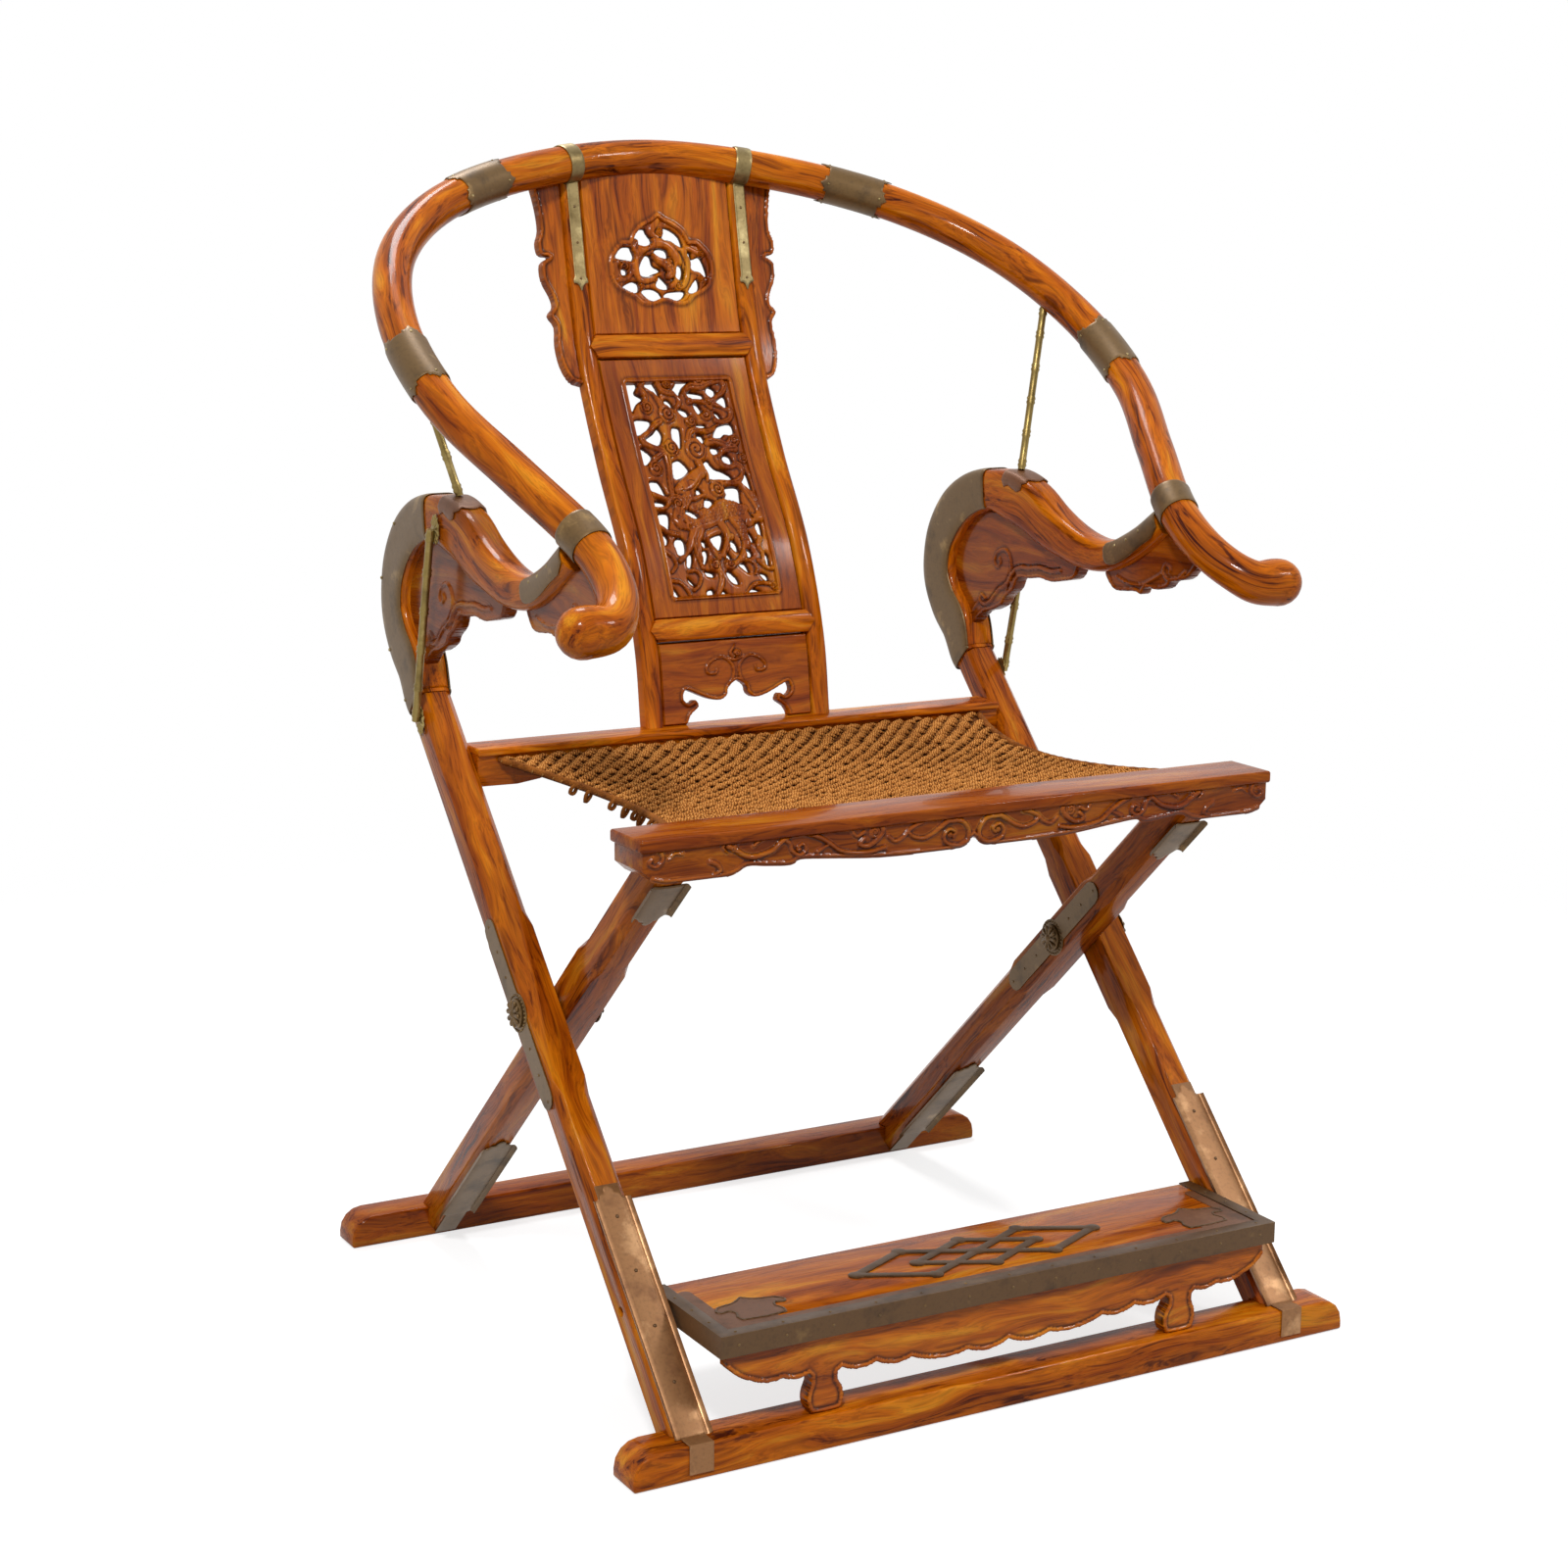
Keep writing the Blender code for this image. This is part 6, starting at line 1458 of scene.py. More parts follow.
def window_relief():
    """Streaming clouds, a scaled beast that looks back over its shoulder, and rocks."""
    marks = []
    for points, width, end in (
        (((-48, 320), (-45, 313), (-40, 307), (-41, 300)), 7, 5),
        (((-37, 322), (-36, 316), (-28, 305), (-25, 297)), 6, 6),
        (((-24, 321), (-22, 312), (-14, 308), (-6, 307), (-4, 300), (-7, 295)), 6, 5),
        (((8, 304), (5, 309), (11, 314), (20, 313), (29, 315), (38, 318), (46, 318), (49, 312), (44, 306), (36, 302),
          (30, 297)), 7, 5),
        (((6, 299), (14, 300), (24, 298), (29, 293)), 5, 5),
        (((33, 297), (43, 294), (50, 289), (47, 282), (39, 279), (31, 281)), 6, 5),
        (((-30, 282), (-38, 278), (-46, 272), (-53, 268), (-52, 263), (-44, 259), (-34, 255)), 6, 6),
        (((-50, 246), (-42, 249), (-34, 253)), 6, 5), (((-31, 251), (-31, 240), (-34, 228), (-36, 215)), 7, 5),
        (((-4, 264), (0, 271), (8, 273), (18, 271), (26, 273), (33, 276)), 6, 4),
        (((16, 261), (23, 262), (31, 260), (37, 258), (43, 262), (48, 267)), 7, 6),
        (((46, 254), (36, 254), (27, 250), (23, 246), (26, 240), (34, 238), (42, 240), (47, 236), (47, 230), (41, 225),
          (33, 223), (22, 224), (12, 225)), 6, 6),
        (((-56, 216), (-50, 214), (-42, 211), (-34, 213), (-27, 210), (-25, 203), (-31, 199)), 5, 5),
        (((-57, 203), (-48, 203), (-41, 208)), 4, 4), (((-58, 187), (-50, 181), (-41, 178)), 5, 5),
        (((-58, 163), (-52, 158), (-50, 150), (-56, 144)), 4, 3),
        (((-58, 136), (-49, 134), (-43, 127), (-40, 119)), 4, 3),
        (((-38, 144), (-30, 144), (-26, 138), (-30, 130), (-36, 126)), 4, 3),
        (((24, 152), (32, 150), (36, 144), (34, 138)), 4, 3),
        (((22, 121), (30, 128), (40, 129), (50, 127), (57, 121)), 4, 4), (((40, 150), (48, 143), (57, 142)), 5, 4),
        (((-26, 174), (-25, 164), (-24, 154), (-22, 146)), 6, 4), (((-10, 172), (-7, 162), (-2, 154)), 5, 4),
        (((16, 174), (9, 164), (4, 156)), 6, 4), (((47, 172), (43, 164), (46, 156), (44, 148)), 6, 4),
    ):
        marks += cloud_band(points, width, end)
    for x, y, size, start, hand in (
        (-41, 295, 6.5, 90, 1), (-20, 289, 9, 20, -1), (4, 281, 6.5, 200, 1), (22, 320, 6.5, 40, 1),
        (2, 255, 11, 0, -1), (-24, 257, 8, 160, 1), (-46, 239, 7, 300, 1), (14, 218, 7.5, 90, -1), (46, 262, 6, 0, 1),
        (51, 245, 5, 120, -1), (22, 287, 6, 0, 1), (28, 298, 4, 90, 1), (-33, 206, 6, 200, -1), (-8, 148, 6.5, 0, 1),
        (8, 149, 6, 180, -1), (52, 126, 4, 0, 1), (-14, 317, 5, 40, -1),
    ):
        marks += cloud_eye(x, y, size, start, hand)
    beast = (
        (((-34, 190), (-20, 189), (-6, 192), (8, 197), (20, 200), (32, 197), (38, 190)), 15, 16, 19, 3.4),
        (((24, 192), (29, 181), (31, 170), (27, 159), (19, 151), (10, 147)), 14, 4, None, 2.8),
        (((8, 186), (12, 176), (9, 166), (3, 158), (-2, 156)), 8, 4, None, 2.0),
        (((-22, 182), (-30, 169), (-36, 161), (-45, 154)), 9, 4.5, None, 2.4),
        (((-14, 184), (-20, 172), (-22, 162), (-19, 154)), 8, 4, None, 2.0),
        (((40, 192), (50, 190), (55, 196), (52, 206), (46, 215), (40, 223)), 6, 5, 11, 2.2),
        (((-36, 192), (-31, 202), (-24, 209), (-17, 216)), 13, 10, None, 2.6),
        (((-29, 218), (-20, 221), (-10, 227), (0, 234)), 8, 9, 15, 3.6),
        (((-24, 213), (-14, 210), (-4, 213), (0, 211)), 5, 3, None, 2.2),
        (((1, 233), (3, 239), (1, 243)), 10, 7, None, 3.2), (((4, 236), (8, 232), (6, 226)), 6, 3, None, 1.8),
    )
    for points, width, end, middle, rise in beast:
        marks.append(relief(points, width, end, rise, 0.6, middle_width=middle, steps=5))
    rows = [(x + (row % 2) * 2.1, 190.5 + row * 3.3 - 8 + 0.30 * (x + 30) * (1 - (x + 30) / 150)) for row in range(6)
            for x in np.arange(-26, 37, 4.2)]
    marks += scales(rows, 3.8)
    marks += scales([(25 + dx + (row % 2) * 2, 187 - row * 3.4) for row in range(6) for dx in (0, 4, 8)], 3.6)
    for turn in range(3):
        marks.append(groove([(41 + turn * 3, 222 - turn), (46 + turn * 2.4, 212), (51 + turn, 203), (52, 196)], 0.9,
                            0.9))
        marks.append(groove([(-35 + turn * 3.4, 196), (-31 + turn * 3.4, 204), (-25 + turn * 3, 211)], 0.9, 0.9))
        marks += cloud_eye(-37 + turn * 5.5, 193 - turn * 4.2, 2.8, turn * 70, 1, 1.2)
    marks += [relief([(-15.2, 223), (-14.8, 223)], 3.6, 3.6, 1.3, steps=1),
              groove([(-18, 225), (-14, 226), (-10, 225)], 0.9, 0.9),
              groove([(-27, 217), (-19, 217), (-11, 220), (-5, 225)], 1.0, 1.2),
              groove([(-25, 220), (-24, 219)], 1.4, 1.0)]
    marks += [relief([(-5, 146), (-3, 137), (-6, 128), (-12, 119)], 6, 6, 1.9, 0.4),
              groove([(-4, 142), (-4, 134), (-8, 125)], 0.9, 0.9)]
    return marks


MEDALLION_VOIDS = (
    ((-35, 453), (-30, 459), (-23, 460), (-21, 456), (-16, 448), (-24, 444), (-30, 446), (-31, 451)),
    ((-1, 461), (6, 459), (14, 453), (17, 445), (15, 443), (6, 449), (-3, 451), (-3, 457)),
    ((-57, 434), (-50, 442), (-41, 443), (-39, 440), (-37, 434), (-40, 430), (-47, 431), (-54, 432)),
    ((-14, 439), (-8, 441), (-1, 439), (0, 433), (-6, 433), (-11, 435)),
    ((-23, 435), (-19, 433), (-17, 425), (-10, 421), (-12, 419), (-19, 417), (-23, 415), (-30, 416), (-32, 421),
     (-30, 427), (-26, 433)),
    ((22, 436), (25, 437), (27, 431), (35, 433), (39, 427), (42, 416), (39, 415), (35, 419), (26, 421), (26, 429)),
    ((9, 425), (14, 424), (15, 418), (12, 412), (7, 413), (7, 418)),
    ((-53, 421), (-49, 422), (-46, 420), (-47, 417), (-51, 417)),
    ((-52, 405), (-47, 408), (-40, 410), (-35, 407), (-35, 402), (-38, 400), (-46, 400), (-51, 402)),
    ((-13, 413), (-10, 414), (-3, 407), (-3, 403), (-10, 403), (-15, 406)),
    ((30, 412), (32, 407), (31, 402), (26, 399), (20, 400), (24, 406)),
    ((-32, 401), (-23, 403), (-15, 401), (-10, 395), (-13, 392), (-21, 392), (-27, 395)),
    ((-4, 399), (3, 400), (15, 400), (13, 395), (6, 392), (-3, 393), (-8, 396)),
)


def medallion_relief():
    """A dragon coiled nose to tail, its legs and tail curling into scrolls."""
    marks = [
        relief([(-36, 417), (-37, 429), (-32, 438), (-23, 444), (-12, 447), (-1, 444), (6, 437), (10, 429), (8, 418),
                (6, 409), (-1, 405)],
               7, 5, 2.6, 0.6, middle_width=10, steps=5),
        relief([(-38, 420), (-32, 411), (-23, 411), (-16, 414)], 7, 4, 2.0, 0.5),
        relief([(17, 440), (21, 429), (19, 416), (15, 407), (8, 403)], 7, 5, 2.0, 0.5),
        relief([(-17, 435), (-11, 430), (-3, 426), (2, 419), (-2, 415)], 4, 7, 3.0, 1.0, middle_width=10),
        relief([(-60, 432), (-50, 433), (-42, 429), (-41, 420), (-48, 413), (-56, 412)], 5, 5, 1.4),
        relief([(12, 442), (22, 442), (31, 438), (36, 436)], 6, 4, 1.4),
        relief([(22, 421), (32, 418), (36, 410)], 5, 4, 1.4),
        relief([(-9, 470), (-16, 458), (-10, 452)], 8, 4, 1.4), relief([(-36, 440), (-33, 447), (-30, 449)], 5, 4, 1.4),
    ]
    for x, y, size, start, hand in ((-6.5, 457, 4.5, 0, 1), (-49, 424, 6.5, 180, -1), (36, 436, 4, 90, 1),
                                    (-15.5, 412, 3.4, 0, -1), (8, 405, 4.6, 0, 1), (34, 413, 3.6, 200, 1),
                                    (-33, 405, 4, 40, 1)):
        marks += cloud_eye(x, y, size, start, hand)
    marks += scales([(-34 + 3.7 * n, 434 + 11 * math.sin(0.36 * n + 0.1) - (n % 2) * 2.5) for n in range(11)], 3.4)
    marks += scales([(3 + (n % 2) * 3, 432 - 3.2 * n) for n in range(7)], 3.2)
    marks += scales([(-6 + (n % 3) * 3, 428 - 2.4 * n) for n in range(6)], 2.8)
    return marks


MEDALLION = (
    (0.0, 1.0), (0.10, 0.955), (0.22, 0.92), (0.36, 0.87), (0.48, 0.80), (0.58, 0.69), (0.72, 0.69), (0.85, 0.62),
    (0.96, 0.53), (1.0, 0.42), (0.98, 0.31), (0.92, 0.22), (0.80, 0.15), (0.66, 0.11), (0.56, 0.08), (0.46, 0.02),
    (0.32, 0.0), (0.18, 0.01), (0.08, 0.035), (0.0, 0.04),
)
ARCH = (
    (0.0, 1.0), (0.16, 0.85), (0.19, 0.67), (0.32, 0.55), (0.555, 0.615), (0.90, 0.84), (0.97, 0.825),
    (1.0, 0.645), (0.90, 0.52), (0.784, 0.60), (0.724, 0.43), (0.87, 0.26), (0.944, 0.03), (0.944, -0.4),
)


class CHAIR_OT_back(bpy.types.Operator):
    """Builds the curved back: half-round stiles and rails round three carved panels"""
    bl_idname = "chair.back"
    bl_label = "Back"

    def execute(self, context):
        half = PANEL_HALF / MM
        face = on_back(PANEL_RECESS)
        rail = CROSS_RAIL / 2 / MM
        upper, lower, whole = UPPER_RAIL / MM, LOWER_RISE / MM, BACK_HEIGHT / MM

        for number, (side_name, side) in enumerate(SIDES):
            left = (BACK_HALF_WIDTH - STILE_WIDTH) / MM
            middle = side * (left + STILE_WIDTH / 2 / MM)
            self.round_bar("back_stile_" + side_name, middle, STILE_WIDTH / MM, -4, whole - 8, number + 21)
        for number, (name, height) in enumerate((("upper_back_rail", upper), ("lower_back_rail", lower))):
            piece = carve(name + "_wood", (-half - 8.5, height - rail, half + 8.5, height + rail), 0.9,
                          [stroke([(-half - 7, height), (half + 7, height)], CROSS_RAIL / MM + 4, rise=4.6, steps=2)],
                          on_back(0.0030), 12.0, solid=[
                              (-half, height - rail + 0.3), (half, height - rail + 0.3), (half + 7.6, height),
                              (half, height + rail - 0.3), (-half, height + rail - 0.3), (-half - 7.6, height)],
                          seed=number + 23, grain_up=False)
            finish(piece, "rosewood", name)

        base = upper + rail + 30
        drawn = both_halves([(55.5 * a, base + 85 * b) for a, b in MEDALLION])
        sheet = rectangle(-half, upper + rail, half, whole - 6)
        border = [stroke(round_again(drawn), 3.6, level=0.2, rise=1.5, steps=3), joint(sheet)]
        field = carve("upper_back_panel_field", (-half, upper + rail, half, whole - 6), 1.15, border, face, 8.0,
                      solid=sheet, holes=[drawn], seed=31)
        voids = [[(x + 9, y + 3.5) for x, y in closed(void)] for void in MEDALLION_VOIDS]
        dragon = carve("upper_back_panel_dragon", (-57, base - 1, 57, base + 86), 0.68,
                       placed(medallion_relief(), 9, 3.5), face, 7.0, solid=drawn, holes=voids, ground=-1.8,
                       rounded=(3.4, 2.8), seed=31)
        panel = joined("upper_back_panel_wood", [field, dragon])
        finish(panel, "carved_rosewood", "upper_back_panel")

        low, high = lower + rail, upper - rail
        window = round_corners(-59, low + 18, 59, high - 21, 4)
        ridge = [stroke(round_again(window), 3.8, rise=1.8, steps=1),
                 groove(round_again(window), 0.9, 0.9, 1),
                 joint(rectangle(-half, low, half, high))]
        field = carve("middle_back_panel_field", (-half, low, half, high), 1.0, ridge, face, 8.0,
                      solid=rectangle(-half, low, half, high), holes=[window], seed=33)
        voids = [[(x + 2, y) for x, y in closed(void)] for void in WINDOW_VOIDS]
        clouds = carve("middle_back_panel_openwork", (-60, low + 17, 60, high - 20), 0.74,
                       placed(window_relief(), 2, 0), face, 7.0,
                       solid=round_corners(-59.6, low + 17.4, 59.6, high - 20.4, 4), holes=voids, ground=-1.6,
                       rounded=(3.6, 3.0), seed=33)
        finish(field, "openwork_rosewood_painted_shade", "middle_back_panel")
        finish(clouds, "openwork_rosewood_painted_shade", "middle_back_panel")

        arch = both_halves([(58.8 * a, 39.2 * b) for a, b in ARCH])
        edge = inset([(58.8 * a, 39.2 * b) for a, b in flat_smooth(ARCH[:13])], 1.8)
        half_scroll = [relief(edge, 3.0, 3.0, 1.5, steps=1),
                       relief([(11.5, 33), (6.5, 38), (3.5, 44), (3.2, 52), (7, 58), (14, 62), (23, 61), (30, 56),
                               (32.5, 50), (28.5, 47), (22.5, 47), (20.5, 51)], 3.2, 2.0, 1.5),
                       groove([(11.5, 33), (6.5, 38), (3.5, 44), (3.2, 52), (7, 58), (14, 62), (23, 61), (30, 56),
                               (32, 50)], 0.8, 0.7)]
        marks = half_scroll + flipped(half_scroll) + [joint(rectangle(-half, 0.4, half, lower - rail))]
        marks += [*cloud_eye(2, 64.5, 4.2, 180, 1, 1.2), relief([(-3, 62), (-5, 66), (-2, 70), (1, 74)], 4, 1.2, 1.6),
                  relief([(-8, 61), (-3, 59), (3, 59.5), (9, 62)], 2.6, 2.0, 1.2)]
        piece = carve("lower_back_panel_wood", (-half, 0.4, half, lower - rail), 0.75, marks, face, 8.0,
                      solid=rectangle(-half, 0.4, half, lower - rail), holes=[flat_smooth(arch)], seed=35,
                      grain_up=False)
        finish(piece, "openwork_rosewood_painted_shade", "lower_back_panel")
        return {"FINISHED"}

    def round_bar(self, node, middle, width, low, high, seed):
        mark = stroke([(middle, low), (middle, high)], width, rise=4.0, steps=2)
        piece = carve(node + "_wood", (middle - width / 2, low, middle + width / 2, high), 1.15, [mark],
                      on_back(0.0045), 11.5,
                      solid=rectangle(middle - width / 2, low, middle + width / 2, high), seed=seed)
        finish(piece, "rosewood", node)


WING = (
    (1.0, 1.0), (1.0, 0.93), (0.84, 0.80), (0.80, 0.70), (0.93, 0.64), (0.86, 0.585), (0.56, 0.575),
    (0.84, 0.545), (0.84, 0.47), (0.62, 0.40), (0.56, 0.35), (0.76, 0.31), (0.56, 0.26),
    (0.62, 0.18), (0.56, 0.09), (0.34, 0.02), (0.0, 0.0),
)


class CHAIR_OT_wings(bpy.types.Operator):
    """Carves the wings beside the back and lays the pointed brass straps on its stiles"""
    bl_idname = "chair.wings"
    bl_label = "Wings and back straps"

    def execute(self, context):
        drop, width = 206.0, 31.0
        face = on_back(-0.0015)
        top = BACK_HEIGHT / MM
        for number, (side_name, side) in enumerate(SIDES):
            edge = (BACK_HALF_WIDTH + GAP) / MM
            line = [(side * (edge + width * x), top - drop + drop * y) for x, y in flat_smooth(WING)]
            outline = [*line, (side * edge, top)]
            bead = stroke(inset(line[2:], -side * 1.7), 3.4, rise=1.8, steps=1)
            box = (min(side * edge, side * (edge + width)), top - drop, max(side * edge, side * (edge + width)),
                   top - 4)
            piece = carve("back_wing_" + side_name + "_wood", box, 1.0, [bead], on_back(0.007), 9.0,
                          solid=outline, seed=number + 41)
            finish(piece, "carved_rosewood", "back_wing_" + side_name)

            middle = side * (BACK_HALF_WIDTH - STILE_WIDTH / 2) / MM
            foot = top - 17.5 - 100
            tip = [(-6, top - 4), (-6, foot + 10), (-7.5, foot + 7), (-7.5, foot + 4), (-4.5, foot + 3.5),
                   (-2.0, foot + 1), (0, foot - 4), (2.0, foot + 1), (4.5, foot + 3.5), (7.5, foot + 4),
                   (7.5, foot + 7), (6, foot + 10), (6, top - 4)]
            outline = [(middle + x, y) for x, y in tip]
            strap = carve("back_strap_" + side_name + "_brass", (middle - 8, foot - 5, middle + 8, top - 4), 0.6, [],
                          face, 1.1, solid=outline)
            finish(strap, "worn_brass", "back_strap_" + side_name)
            spots = [facing_spot(face, middle * MM, height * MM) for height in (foot + 8, foot + 42, foot + 76)]
            studs("back_strap_rivets_" + side_name, spots, 0.0015, "arm_strap_" + side_name, "old_brass", 0.4)
        return {"FINISHED"}


class CHAIR_OT_rods(bpy.types.Operator):
    """Turns the bamboo-jointed brass rods and the petal plates of the lower ones"""
    bl_idname = "chair.rods"
    bl_label = "Brass rods"

    def execute(self, context):
        for side_name, side in SIDES:
            start = Vector((side * OUTER_LEG_X, *(PIVOT + Vector(UPPER_ROD_FOOT))))
            end = rail_point(side * UPPER_ROD_PLACE)
            end = end - (end - start).normalized() * RAIL_RADIUS
            self.rod("upper_rod_" + side_name, start, end, side)
            x = side * (OUTER_FACE + GAP + ROD_STAND_OFF)
            top, bottom = (Vector((x, *(PIVOT + Vector(place)))) for place in (LOWER_ROD_TOP, LOWER_ROD_FOOT))
            self.rod("lower_rod_" + side_name, top, bottom, side)
        return {"FINISHED"}

    def rod(self, node, start, end, side):
        length = (end - start).length
        step = (end - start).normalized()
        line, radii = [], []
        for share in (0.04, 0.22, 0.42, 0.62, 0.82, 0.96):
            for offset, size in ((-4.5, ROD_RADIUS), (-2, 0.0045), (0, 0.0038), (2, 0.0045), (4.5, ROD_RADIUS)):
                line.append(start + step * (length * share + offset * MM))
                radii.append(size)
        piece = tube_mesh(node + "_brass", [start, *line, end], [ROD_RADIUS, *radii, ROD_RADIUS], 16)
        plates = []
        for spot in (() if "upper" in node else (start, end)):
            petals = [(0.0085 * (1 + 0.09 * math.cos(11 * math.radians(t))), math.radians(t)) for t in range(0, 360, 6)]
            outline = [(size * math.cos(turn) / MM, size * math.sin(turn) * 1.55 / MM) for size, turn in petals]
            place = on_plane((side * (OUTER_FACE + MM), spot.y, spot.z), Y, Z, (side, 0, 0))
            ribs = [stroke([(0, 0), (7 * math.cos(t), 11 * math.sin(t))], 1.2, 2.6, rise=0.9, steps=1)
                    for t in np.arange(0, 6.2, 0.571)]
            plates.append(carve(node + "_petals", (-11, -15, 11, 15), 0.6, ribs, place, 1.0, solid=outline))
        piece = joined(node + "_brass", [piece, *plates])
        finish(shade(piece, 40), "rod_brass", node)


class CHAIR_OT_seat_carving(bpy.types.Operator):
    """Lays the scrolling relief and the beaded edge along the front seat rail"""
    bl_idname = "chair.seat_carving"
    bl_label = "Front rail relief"

    def execute(self, context):
        half = (FRONT_RAIL_HALF_LENGTH - FRONT_RAIL_SETBACK) / MM
        top = (FRONT_RAIL_TOP_Z - FRONT_RAIL_LIP) / MM
        drop = FRONT_RAIL_APRON_DROP / MM
        lower = [(half * a, top - drop * d + 2.3) for a, d in FRONT_RAIL_EDGE_SHARES]
        marks = [stroke(lower[:-1], 2.8, rise=1.6, steps=4)]
        for points, width, end, rise in (
            (((18, 498), (11, 496), (5.5, 489), (6, 481), (12, 477), (21, 477), (28, 480), (30, 486), (25, 491),
              (19, 488), (21, 484)), 3.6, 2.4, 2.0),
            (((20, 498), (26, 498), (33, 494), (41, 489), (50, 486), (60, 488), (66, 493)), 4.4, 2.6, 1.9),
            (((50, 500), (57, 498), (65, 494), (70, 489), (78, 486), (85, 491)), 3.6, 2.6, 1.7),
            (((88, 482), (100, 480), (112, 480), (125, 482), (133, 485), (141, 491), (149, 496), (159, 500), (168, 502),
              (178, 501), (186, 497), (194, 491), (204, 488), (213, 487), (222, 490), (229, 495), (235, 498)), 3.0, 4.2,
             2.3),
            (((92, 503), (90, 496), (96, 489), (104, 485), (112, 487), (108, 492)), 4.4, 3.0, 2.0),
            (((108, 497), (115, 494), (119, 499), (116, 503)), 3.0, 1.8, 1.6),
            (((200, 503), (206, 500), (212, 496)), 3.4, 2.0, 1.7),
            (((184, 499), (178, 494), (176, 488), (169, 484), (163, 488), (166, 493), (171, 491)), 3.4, 2.2, 1.8),
            (((152, 485), (146, 488), (139, 491)), 3.2, 1.6, 1.5),
            (((226, 501), (234, 502), (240, 498), (236, 493)), 3.0, 1.8, 1.6),
            (((251, 487), (245, 484), (242, 479), (248, 476)), 4.0, 2.4, 1.8),
            (((276, 496), (283, 497), (289, 493)), 2.6, 1.6, 1.4),
            (((309, 503), (303, 504), (296, 500), (294, 493), (300, 488), (306, 491), (303, 495)), 3.2, 2.2, 1.8),
        ):
            marks.append(stroke(points, width * 1.15, end * 1.15, rise=rise * 1.35, steps=4))
        for x, y, size in ((98, 496, 5.5), (230, 496, 3.6), (24, 486, 2.6), (170, 489, 2.4)):
            marks += [dot(x, y, size * 2, 2.6, kind="body"),
                      spiral(x, y, size * 0.8, 1.3, 40, size * 0.24, 1, 1.0)]
        # Low wide skirts round each mark, 0.25 mm high: they bring the carving's painted shade onto the ground round
        # the relief
        marks += [{**m, "sizes": [s + 1.5 for s in m["sizes"]], "rise": 0.25} for m in marks if m["kind"] != "cut"]
        marks += flipped(marks)
        place = on_plane((0, FRONT_RAIL_FACE_Y + FRONT_RAIL_SETBACK, 0), X, Z, (0, -1, 0))
        piece = carve("front_rail_relief", (-half, top - drop, half, top), 0.75, marks, place, 0.4, seed=51,
                      grain_up=False)
        # Painted shade: the relief takes the darker bracket finish, as on the rail's shaded face
        finish(piece, "bracket_rosewood", like="front_seat_rail")
        return {"FINISHED"}


APRON_CUSPS = (((0.0, 0.575), (0.152, 0.600), (0.358, 0.530), (0.484, 0.488), (0.606, 0.462)),
               ((0.722, 0.460), (0.812, 0.440), (0.922, 0.380), (1.0, 0.16)))
APRON_FOOT = ((0.620, 0.50), (0.621, 0.60), (0.606, 0.70), (0.600, 0.83), (0.606, 0.95), (0.622, 1.0), (0.702, 1.0),
              (0.718, 0.95), (0.726, 0.83), (0.722, 0.71), (0.712, 0.61), (0.712, 0.50))


def lobes(cusps, depth):
    """Rounded lobes hanging between cusps."""
    line = []
    for (ax, ay), (bx, by) in zip(cusps, cusps[1:]):
        for number in range(8):
            share = number / 8
            drop = math.sin(math.pi * share) ** 0.75 * depth * min((bx - ax) / 0.15, 1)
            line.append((ax + (bx - ax) * share, ay + (by - ay) * share + drop))
    return line + [cusps[-1]]


class CHAIR_OT_apron(bpy.types.Operator):
    """Cuts the footrest's scalloped apron with its two cabriole feet, and beads its edge"""
    bl_idname = "chair.apron"
    bl_label = "Footrest apron"

    def execute(self, context):
        (_, front, low), (right, _, top) = [[c / MM for c in corner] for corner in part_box("footrest_apron")]
        shares = lobes(APRON_CUSPS[0], 0.075) + flat_smooth(APRON_FOOT, 2) + lobes(APRON_CUSPS[1], 0.065)
        lower = [(right * a, top - (top - low) * b) for a, b in shares]
        outline = both_halves([*lower, (right, top)])
        marks = [relief(inset(lower, 2.0), 3.8, 3.8, 1.9, steps=1)]
        marks += flipped(marks)
        piece = carve("footrest_apron_wood", (-right, low, right, top), 0.95, marks,
                      on_plane((0, (front + 1.5) * MM, 0), X, Z, (0, -1, 0)), 12.3, solid=outline,
                      seed=61, grain_up=False)
        finish(piece, "carved_rosewood", "footrest_apron")
        return {"FINISHED"}


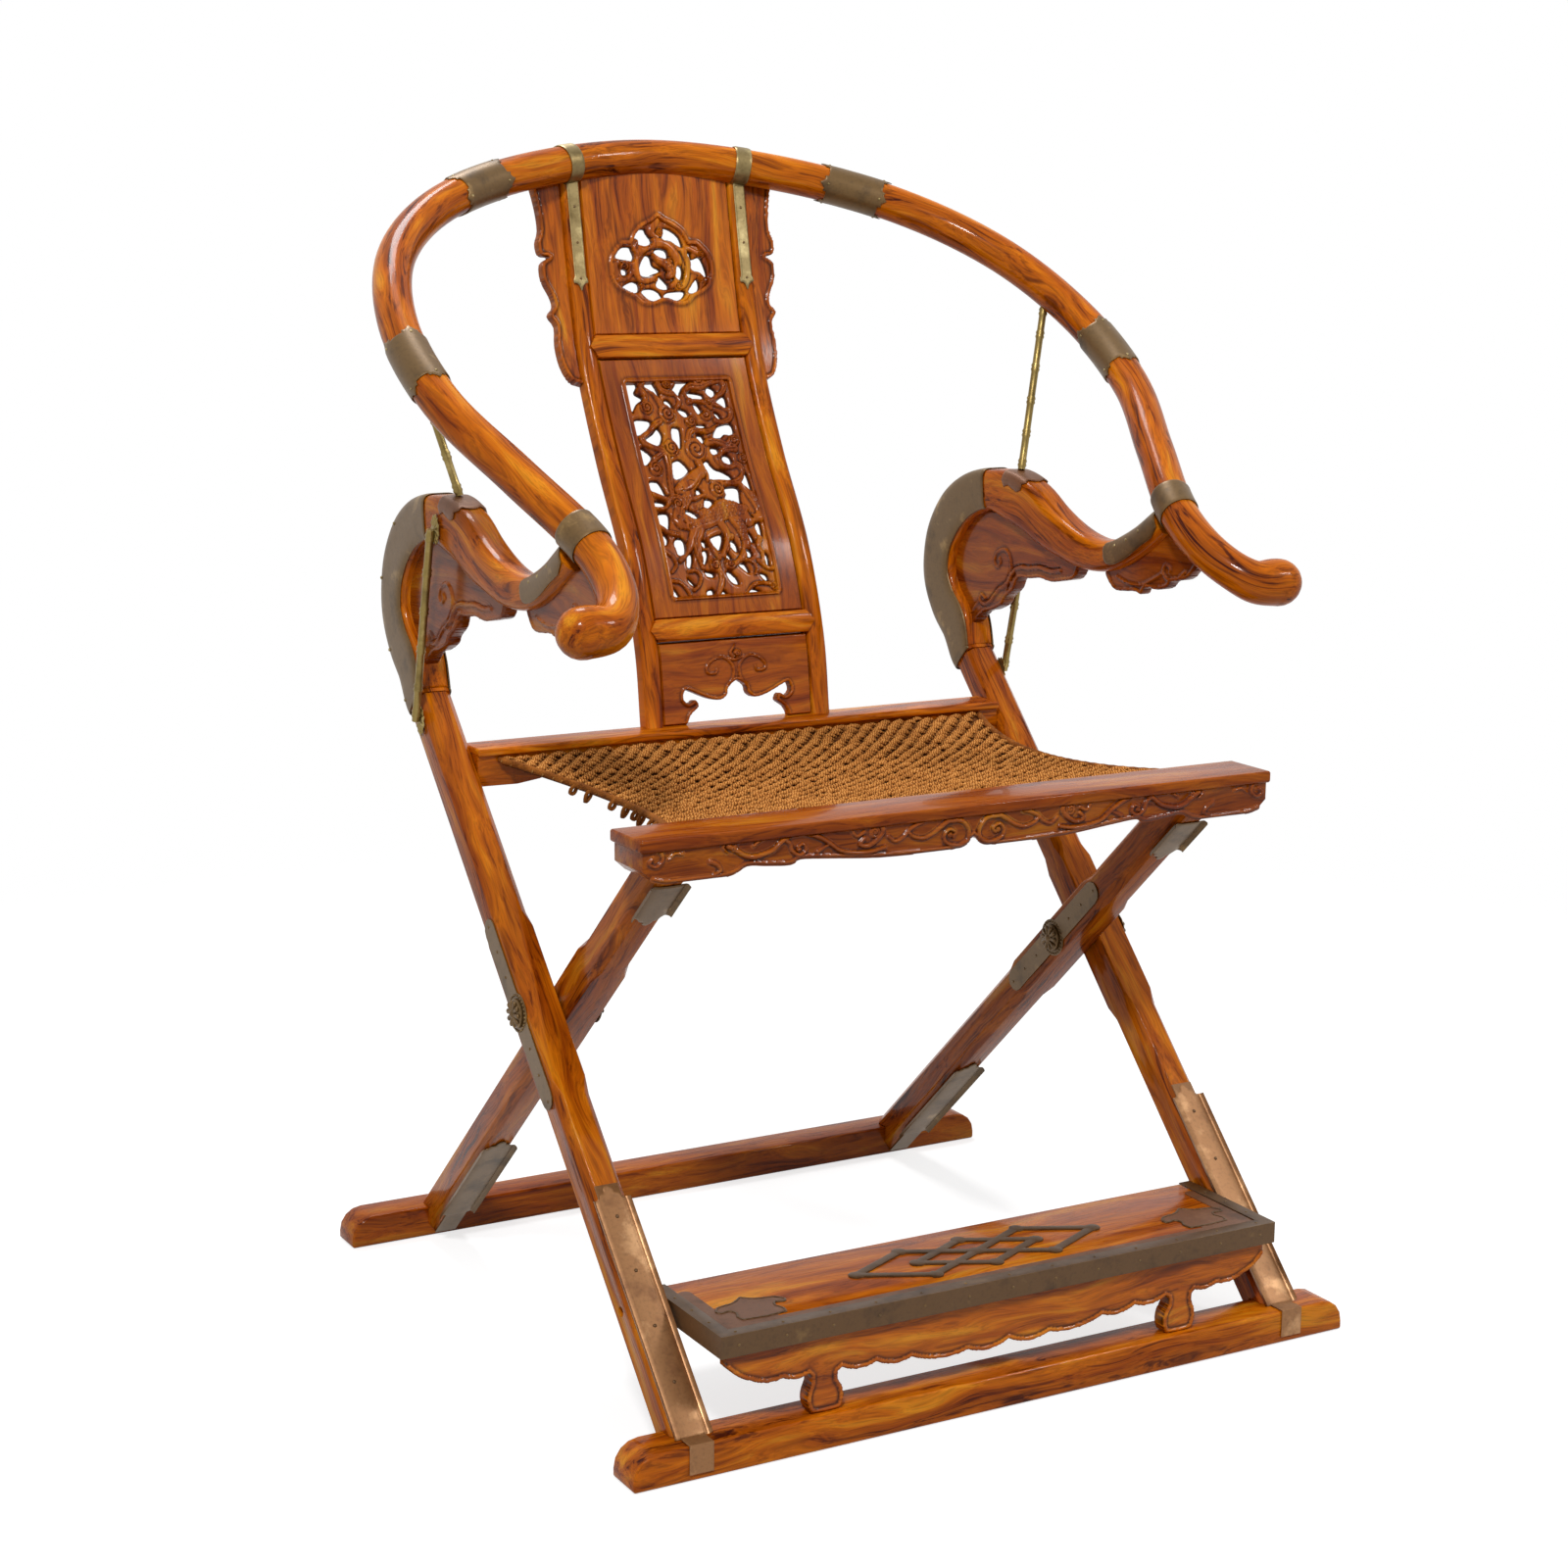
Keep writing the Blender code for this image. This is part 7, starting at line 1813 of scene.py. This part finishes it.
class CHAIR_OT_footrest_mounts(bpy.types.Operator):
    """Inlays the linked lozenges and the cloud mounts, and rivets the edging"""
    bl_idname = "chair.footrest_mounts"
    bl_label = "Footrest mounts"

    def execute(self, context):
        place = on_plane((0, 0, FOOTREST_TOP_Z), X, Y, Z)
        marks = []
        for centre in (-54, 7, 68):
            corners = [(centre - 61, -281), (centre, -251), (centre + 61, -281), (centre, -311), (centre - 61, -281)]
            for (ax, ay), (bx, by) in zip(corners, corners[1:]):
                marks.append(stroke([(ax, ay), (bx, by)], 8.064, None, 1.2, 0.5, 2))
                marks.append(dot(ax, ay, 13.44, 0.9, 1.2, "body"))
        lozenges = carve("footrest_lozenges", (-200, -320, 200, -244), 0.9, marks, place, 0.3, grain_up=False)
        finish(lozenges, "edging_brass", like="footrest_edging")
        clouds = []
        plates = [stroke([(-264, -335), (264, -335)], 16, 16, level=0.6, rise=0.1, steps=1)]
        for side in (-1, 1):
            plates.append(stroke([(side * 226, -318), (side * 264, -318)], 26, 34, level=0.6, rise=0.1, steps=1))
            plates.append(stroke([(side * 262, -330), (side * 262, -250)], 12, 12, level=0.6, rise=0.1, steps=1))
            head = closed([(206, -322), (208, -307), (204, -300), (197, -302), (194, -298), (200, -290), (212, -288),
                           (220, -284), (226, -279), (232, -284), (240, -288), (252, -290), (258, -298), (255, -302),
                           (248, -300), (244, -307), (246, -322)], 2)
            clouds.append([(side * x, y) for x, y in head])
        corners = carve("footrest_corner_plates", (-267, -346, 267, -244), 0.9, plates, place, 0.3, grain_up=False)
        finish(corners, "plate_brass", like="footrest_edging")
        for side_name, head in zip(("left", "right"), clouds):
            xs = [x for x, _ in head]
            box = (min(xs) - 2, -325, max(xs) + 2, -276)
            cloud = carve("footrest_cloud_" + side_name, box, 0.8, [], place, 0.3, solid=head, ground=1.0)
            finish(cloud, "plate_brass", like="footrest_edging")
            line = [stroke(round_again(head), 2.0, None, 0.9, 0.6, 1)]
            edge = carve("footrest_cloud_edge_" + side_name, box, 0.6, line, place, 0.3)
            finish(edge, "edging_brass", like="footrest_edging")
        spots = []
        for number in range(13):
            x = -0.264 + 0.528 * number / 12
            spots += [((x, -0.3419, EDGING_TOP_Z), Z), ((x, -0.3484, 0.1060), (0, -1, 0))]
        spots += [((side * 0.2739, y, EDGING_TOP_Z), Z) for side in (-1, 1) for y in (-0.315, -0.285, -0.255)]
        studs("footrest_rivets", spots, 0.0014, "footrest_edging", "old_brass", 0.4)
        return {"FINISHED"}


class CHAIR_OT_bosses(bpy.types.Operator):
    """Rings the pivot bosses with beads and rivets the pivot plates and the shoes"""
    bl_idname = "chair.bosses"
    bl_label = "Bosses and rivets"

    def execute(self, context):
        for side_name, side in SIDES:
            for label, face, lean, turn, end in (
                ("outer_pivot_plate_", OUTER_FACE, OUTER_LEAN, 1, max),
                ("inner_pivot_plate_", INNER_FACE, INNER_LEAN, -1, min),
            ):
                node, out = label + side_name, (side * turn, 0, 0)
                name = f"{BODIES[node]}_{side_name}"
                ring = [TURN * number / BEADS for number in range(BEADS)]
                spots = [((side * face, PIVOT.x + BEAD_RING * math.cos(t), PIVOT.y + BEAD_RING * math.sin(t)), out)
                         for t in ring]
                studs("boss_beads_" + name, spots, sizes().bead_radius, node, "old_brass", 0.9)
                reach = end(abs(corner[0]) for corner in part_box("pivot_pin_" + side_name))
                petals = [stroke([(3 * math.cos(t), 3 * math.sin(t)), (10 * math.cos(t), 10 * math.sin(t))], 2.4, 4.6,
                                 rise=1.7, steps=1) for t in np.arange(0, 6.2, 0.6283)]
                flower = carve("boss_flower_" + name, (-13, -13, 13, 13), 0.5,
                               [*petals, dot(0, 0, 8, 3.2, kind="body")],
                               on_plane((side * reach, PIVOT.x, PIVOT.y), Y, Z, out), 0.2)
                finish(flower, "old_brass", like=node)
                spots = [((side * face, *(PIVOT + lean * run)), out)
                         for run in (-0.088, -0.062, -0.036, 0.036, 0.062, 0.088)]
                studs("plate_rivets_" + name, spots, sizes().rivet_radius * 0.9, node, "old_brass")
            face = OUTER_LEG_THICKNESS / 2 + GAP + SHEET + 0.0006
            spots = [((side * OUTER_LEG_X, *leg_point(OUTER_LEAN, run, face)), (0, -OUTER_LEAN.y, OUTER_LEAN.x))
                     for run in (-0.36, -0.31, -0.26, -0.21)]
            studs("shoe_rivets_" + side_name, spots, sizes().rivet_radius, "outer_shoe_" + side_name, "edging_brass")
        return {"FINISHED"}


OPERATORS = (
    CHAIR_OT_finishes, CHAIR_OT_stage, CHAIR_OT_arm_rail, CHAIR_OT_sleeves, CHAIR_OT_posts, CHAIR_OT_spandrels,
    CHAIR_OT_frame_bars, CHAIR_OT_shoes, CHAIR_OT_rope_seat, CHAIR_OT_back, CHAIR_OT_wings, CHAIR_OT_rods,
    CHAIR_OT_seat_carving, CHAIR_OT_apron, CHAIR_OT_footrest_mounts, CHAIR_OT_bosses,
)


class CHAIR_PT_pieces(bpy.types.Panel):
    """Lists the chair's pieces and sizes in the sidebar"""
    bl_label = "Folding armchair"
    bl_idname = "CHAIR_PT_pieces"
    bl_space_type = "VIEW_3D"
    bl_region_type = "UI"
    bl_category = "Chair"

    def draw(self, context):
        for group in (context.scene.chair_sizes, context.scene.chair_colours):
            for name in group.__annotations__:
                self.layout.prop(group, name)
        for operator in OPERATORS:
            self.layout.operator(operator.bl_idname)


def register():
    for group in (ChairSizes, ChairColours, *OPERATORS, CHAIR_PT_pieces):
        bpy.utils.register_class(group)
    bpy.types.Scene.chair_sizes = bpy.props.PointerProperty(type=ChairSizes)
    bpy.types.Scene.chair_colours = bpy.props.PointerProperty(type=ChairColours)


def unregister():
    del bpy.types.Scene.chair_sizes
    del bpy.types.Scene.chair_colours
    for group in (CHAIR_PT_pieces, *reversed(OPERATORS), ChairColours, ChairSizes):
        bpy.utils.unregister_class(group)


def main():
    register()
    for operator in OPERATORS:
        getattr(bpy.ops.chair, operator.bl_idname.split(".")[1])()


if __name__ == "__main__":
    main()
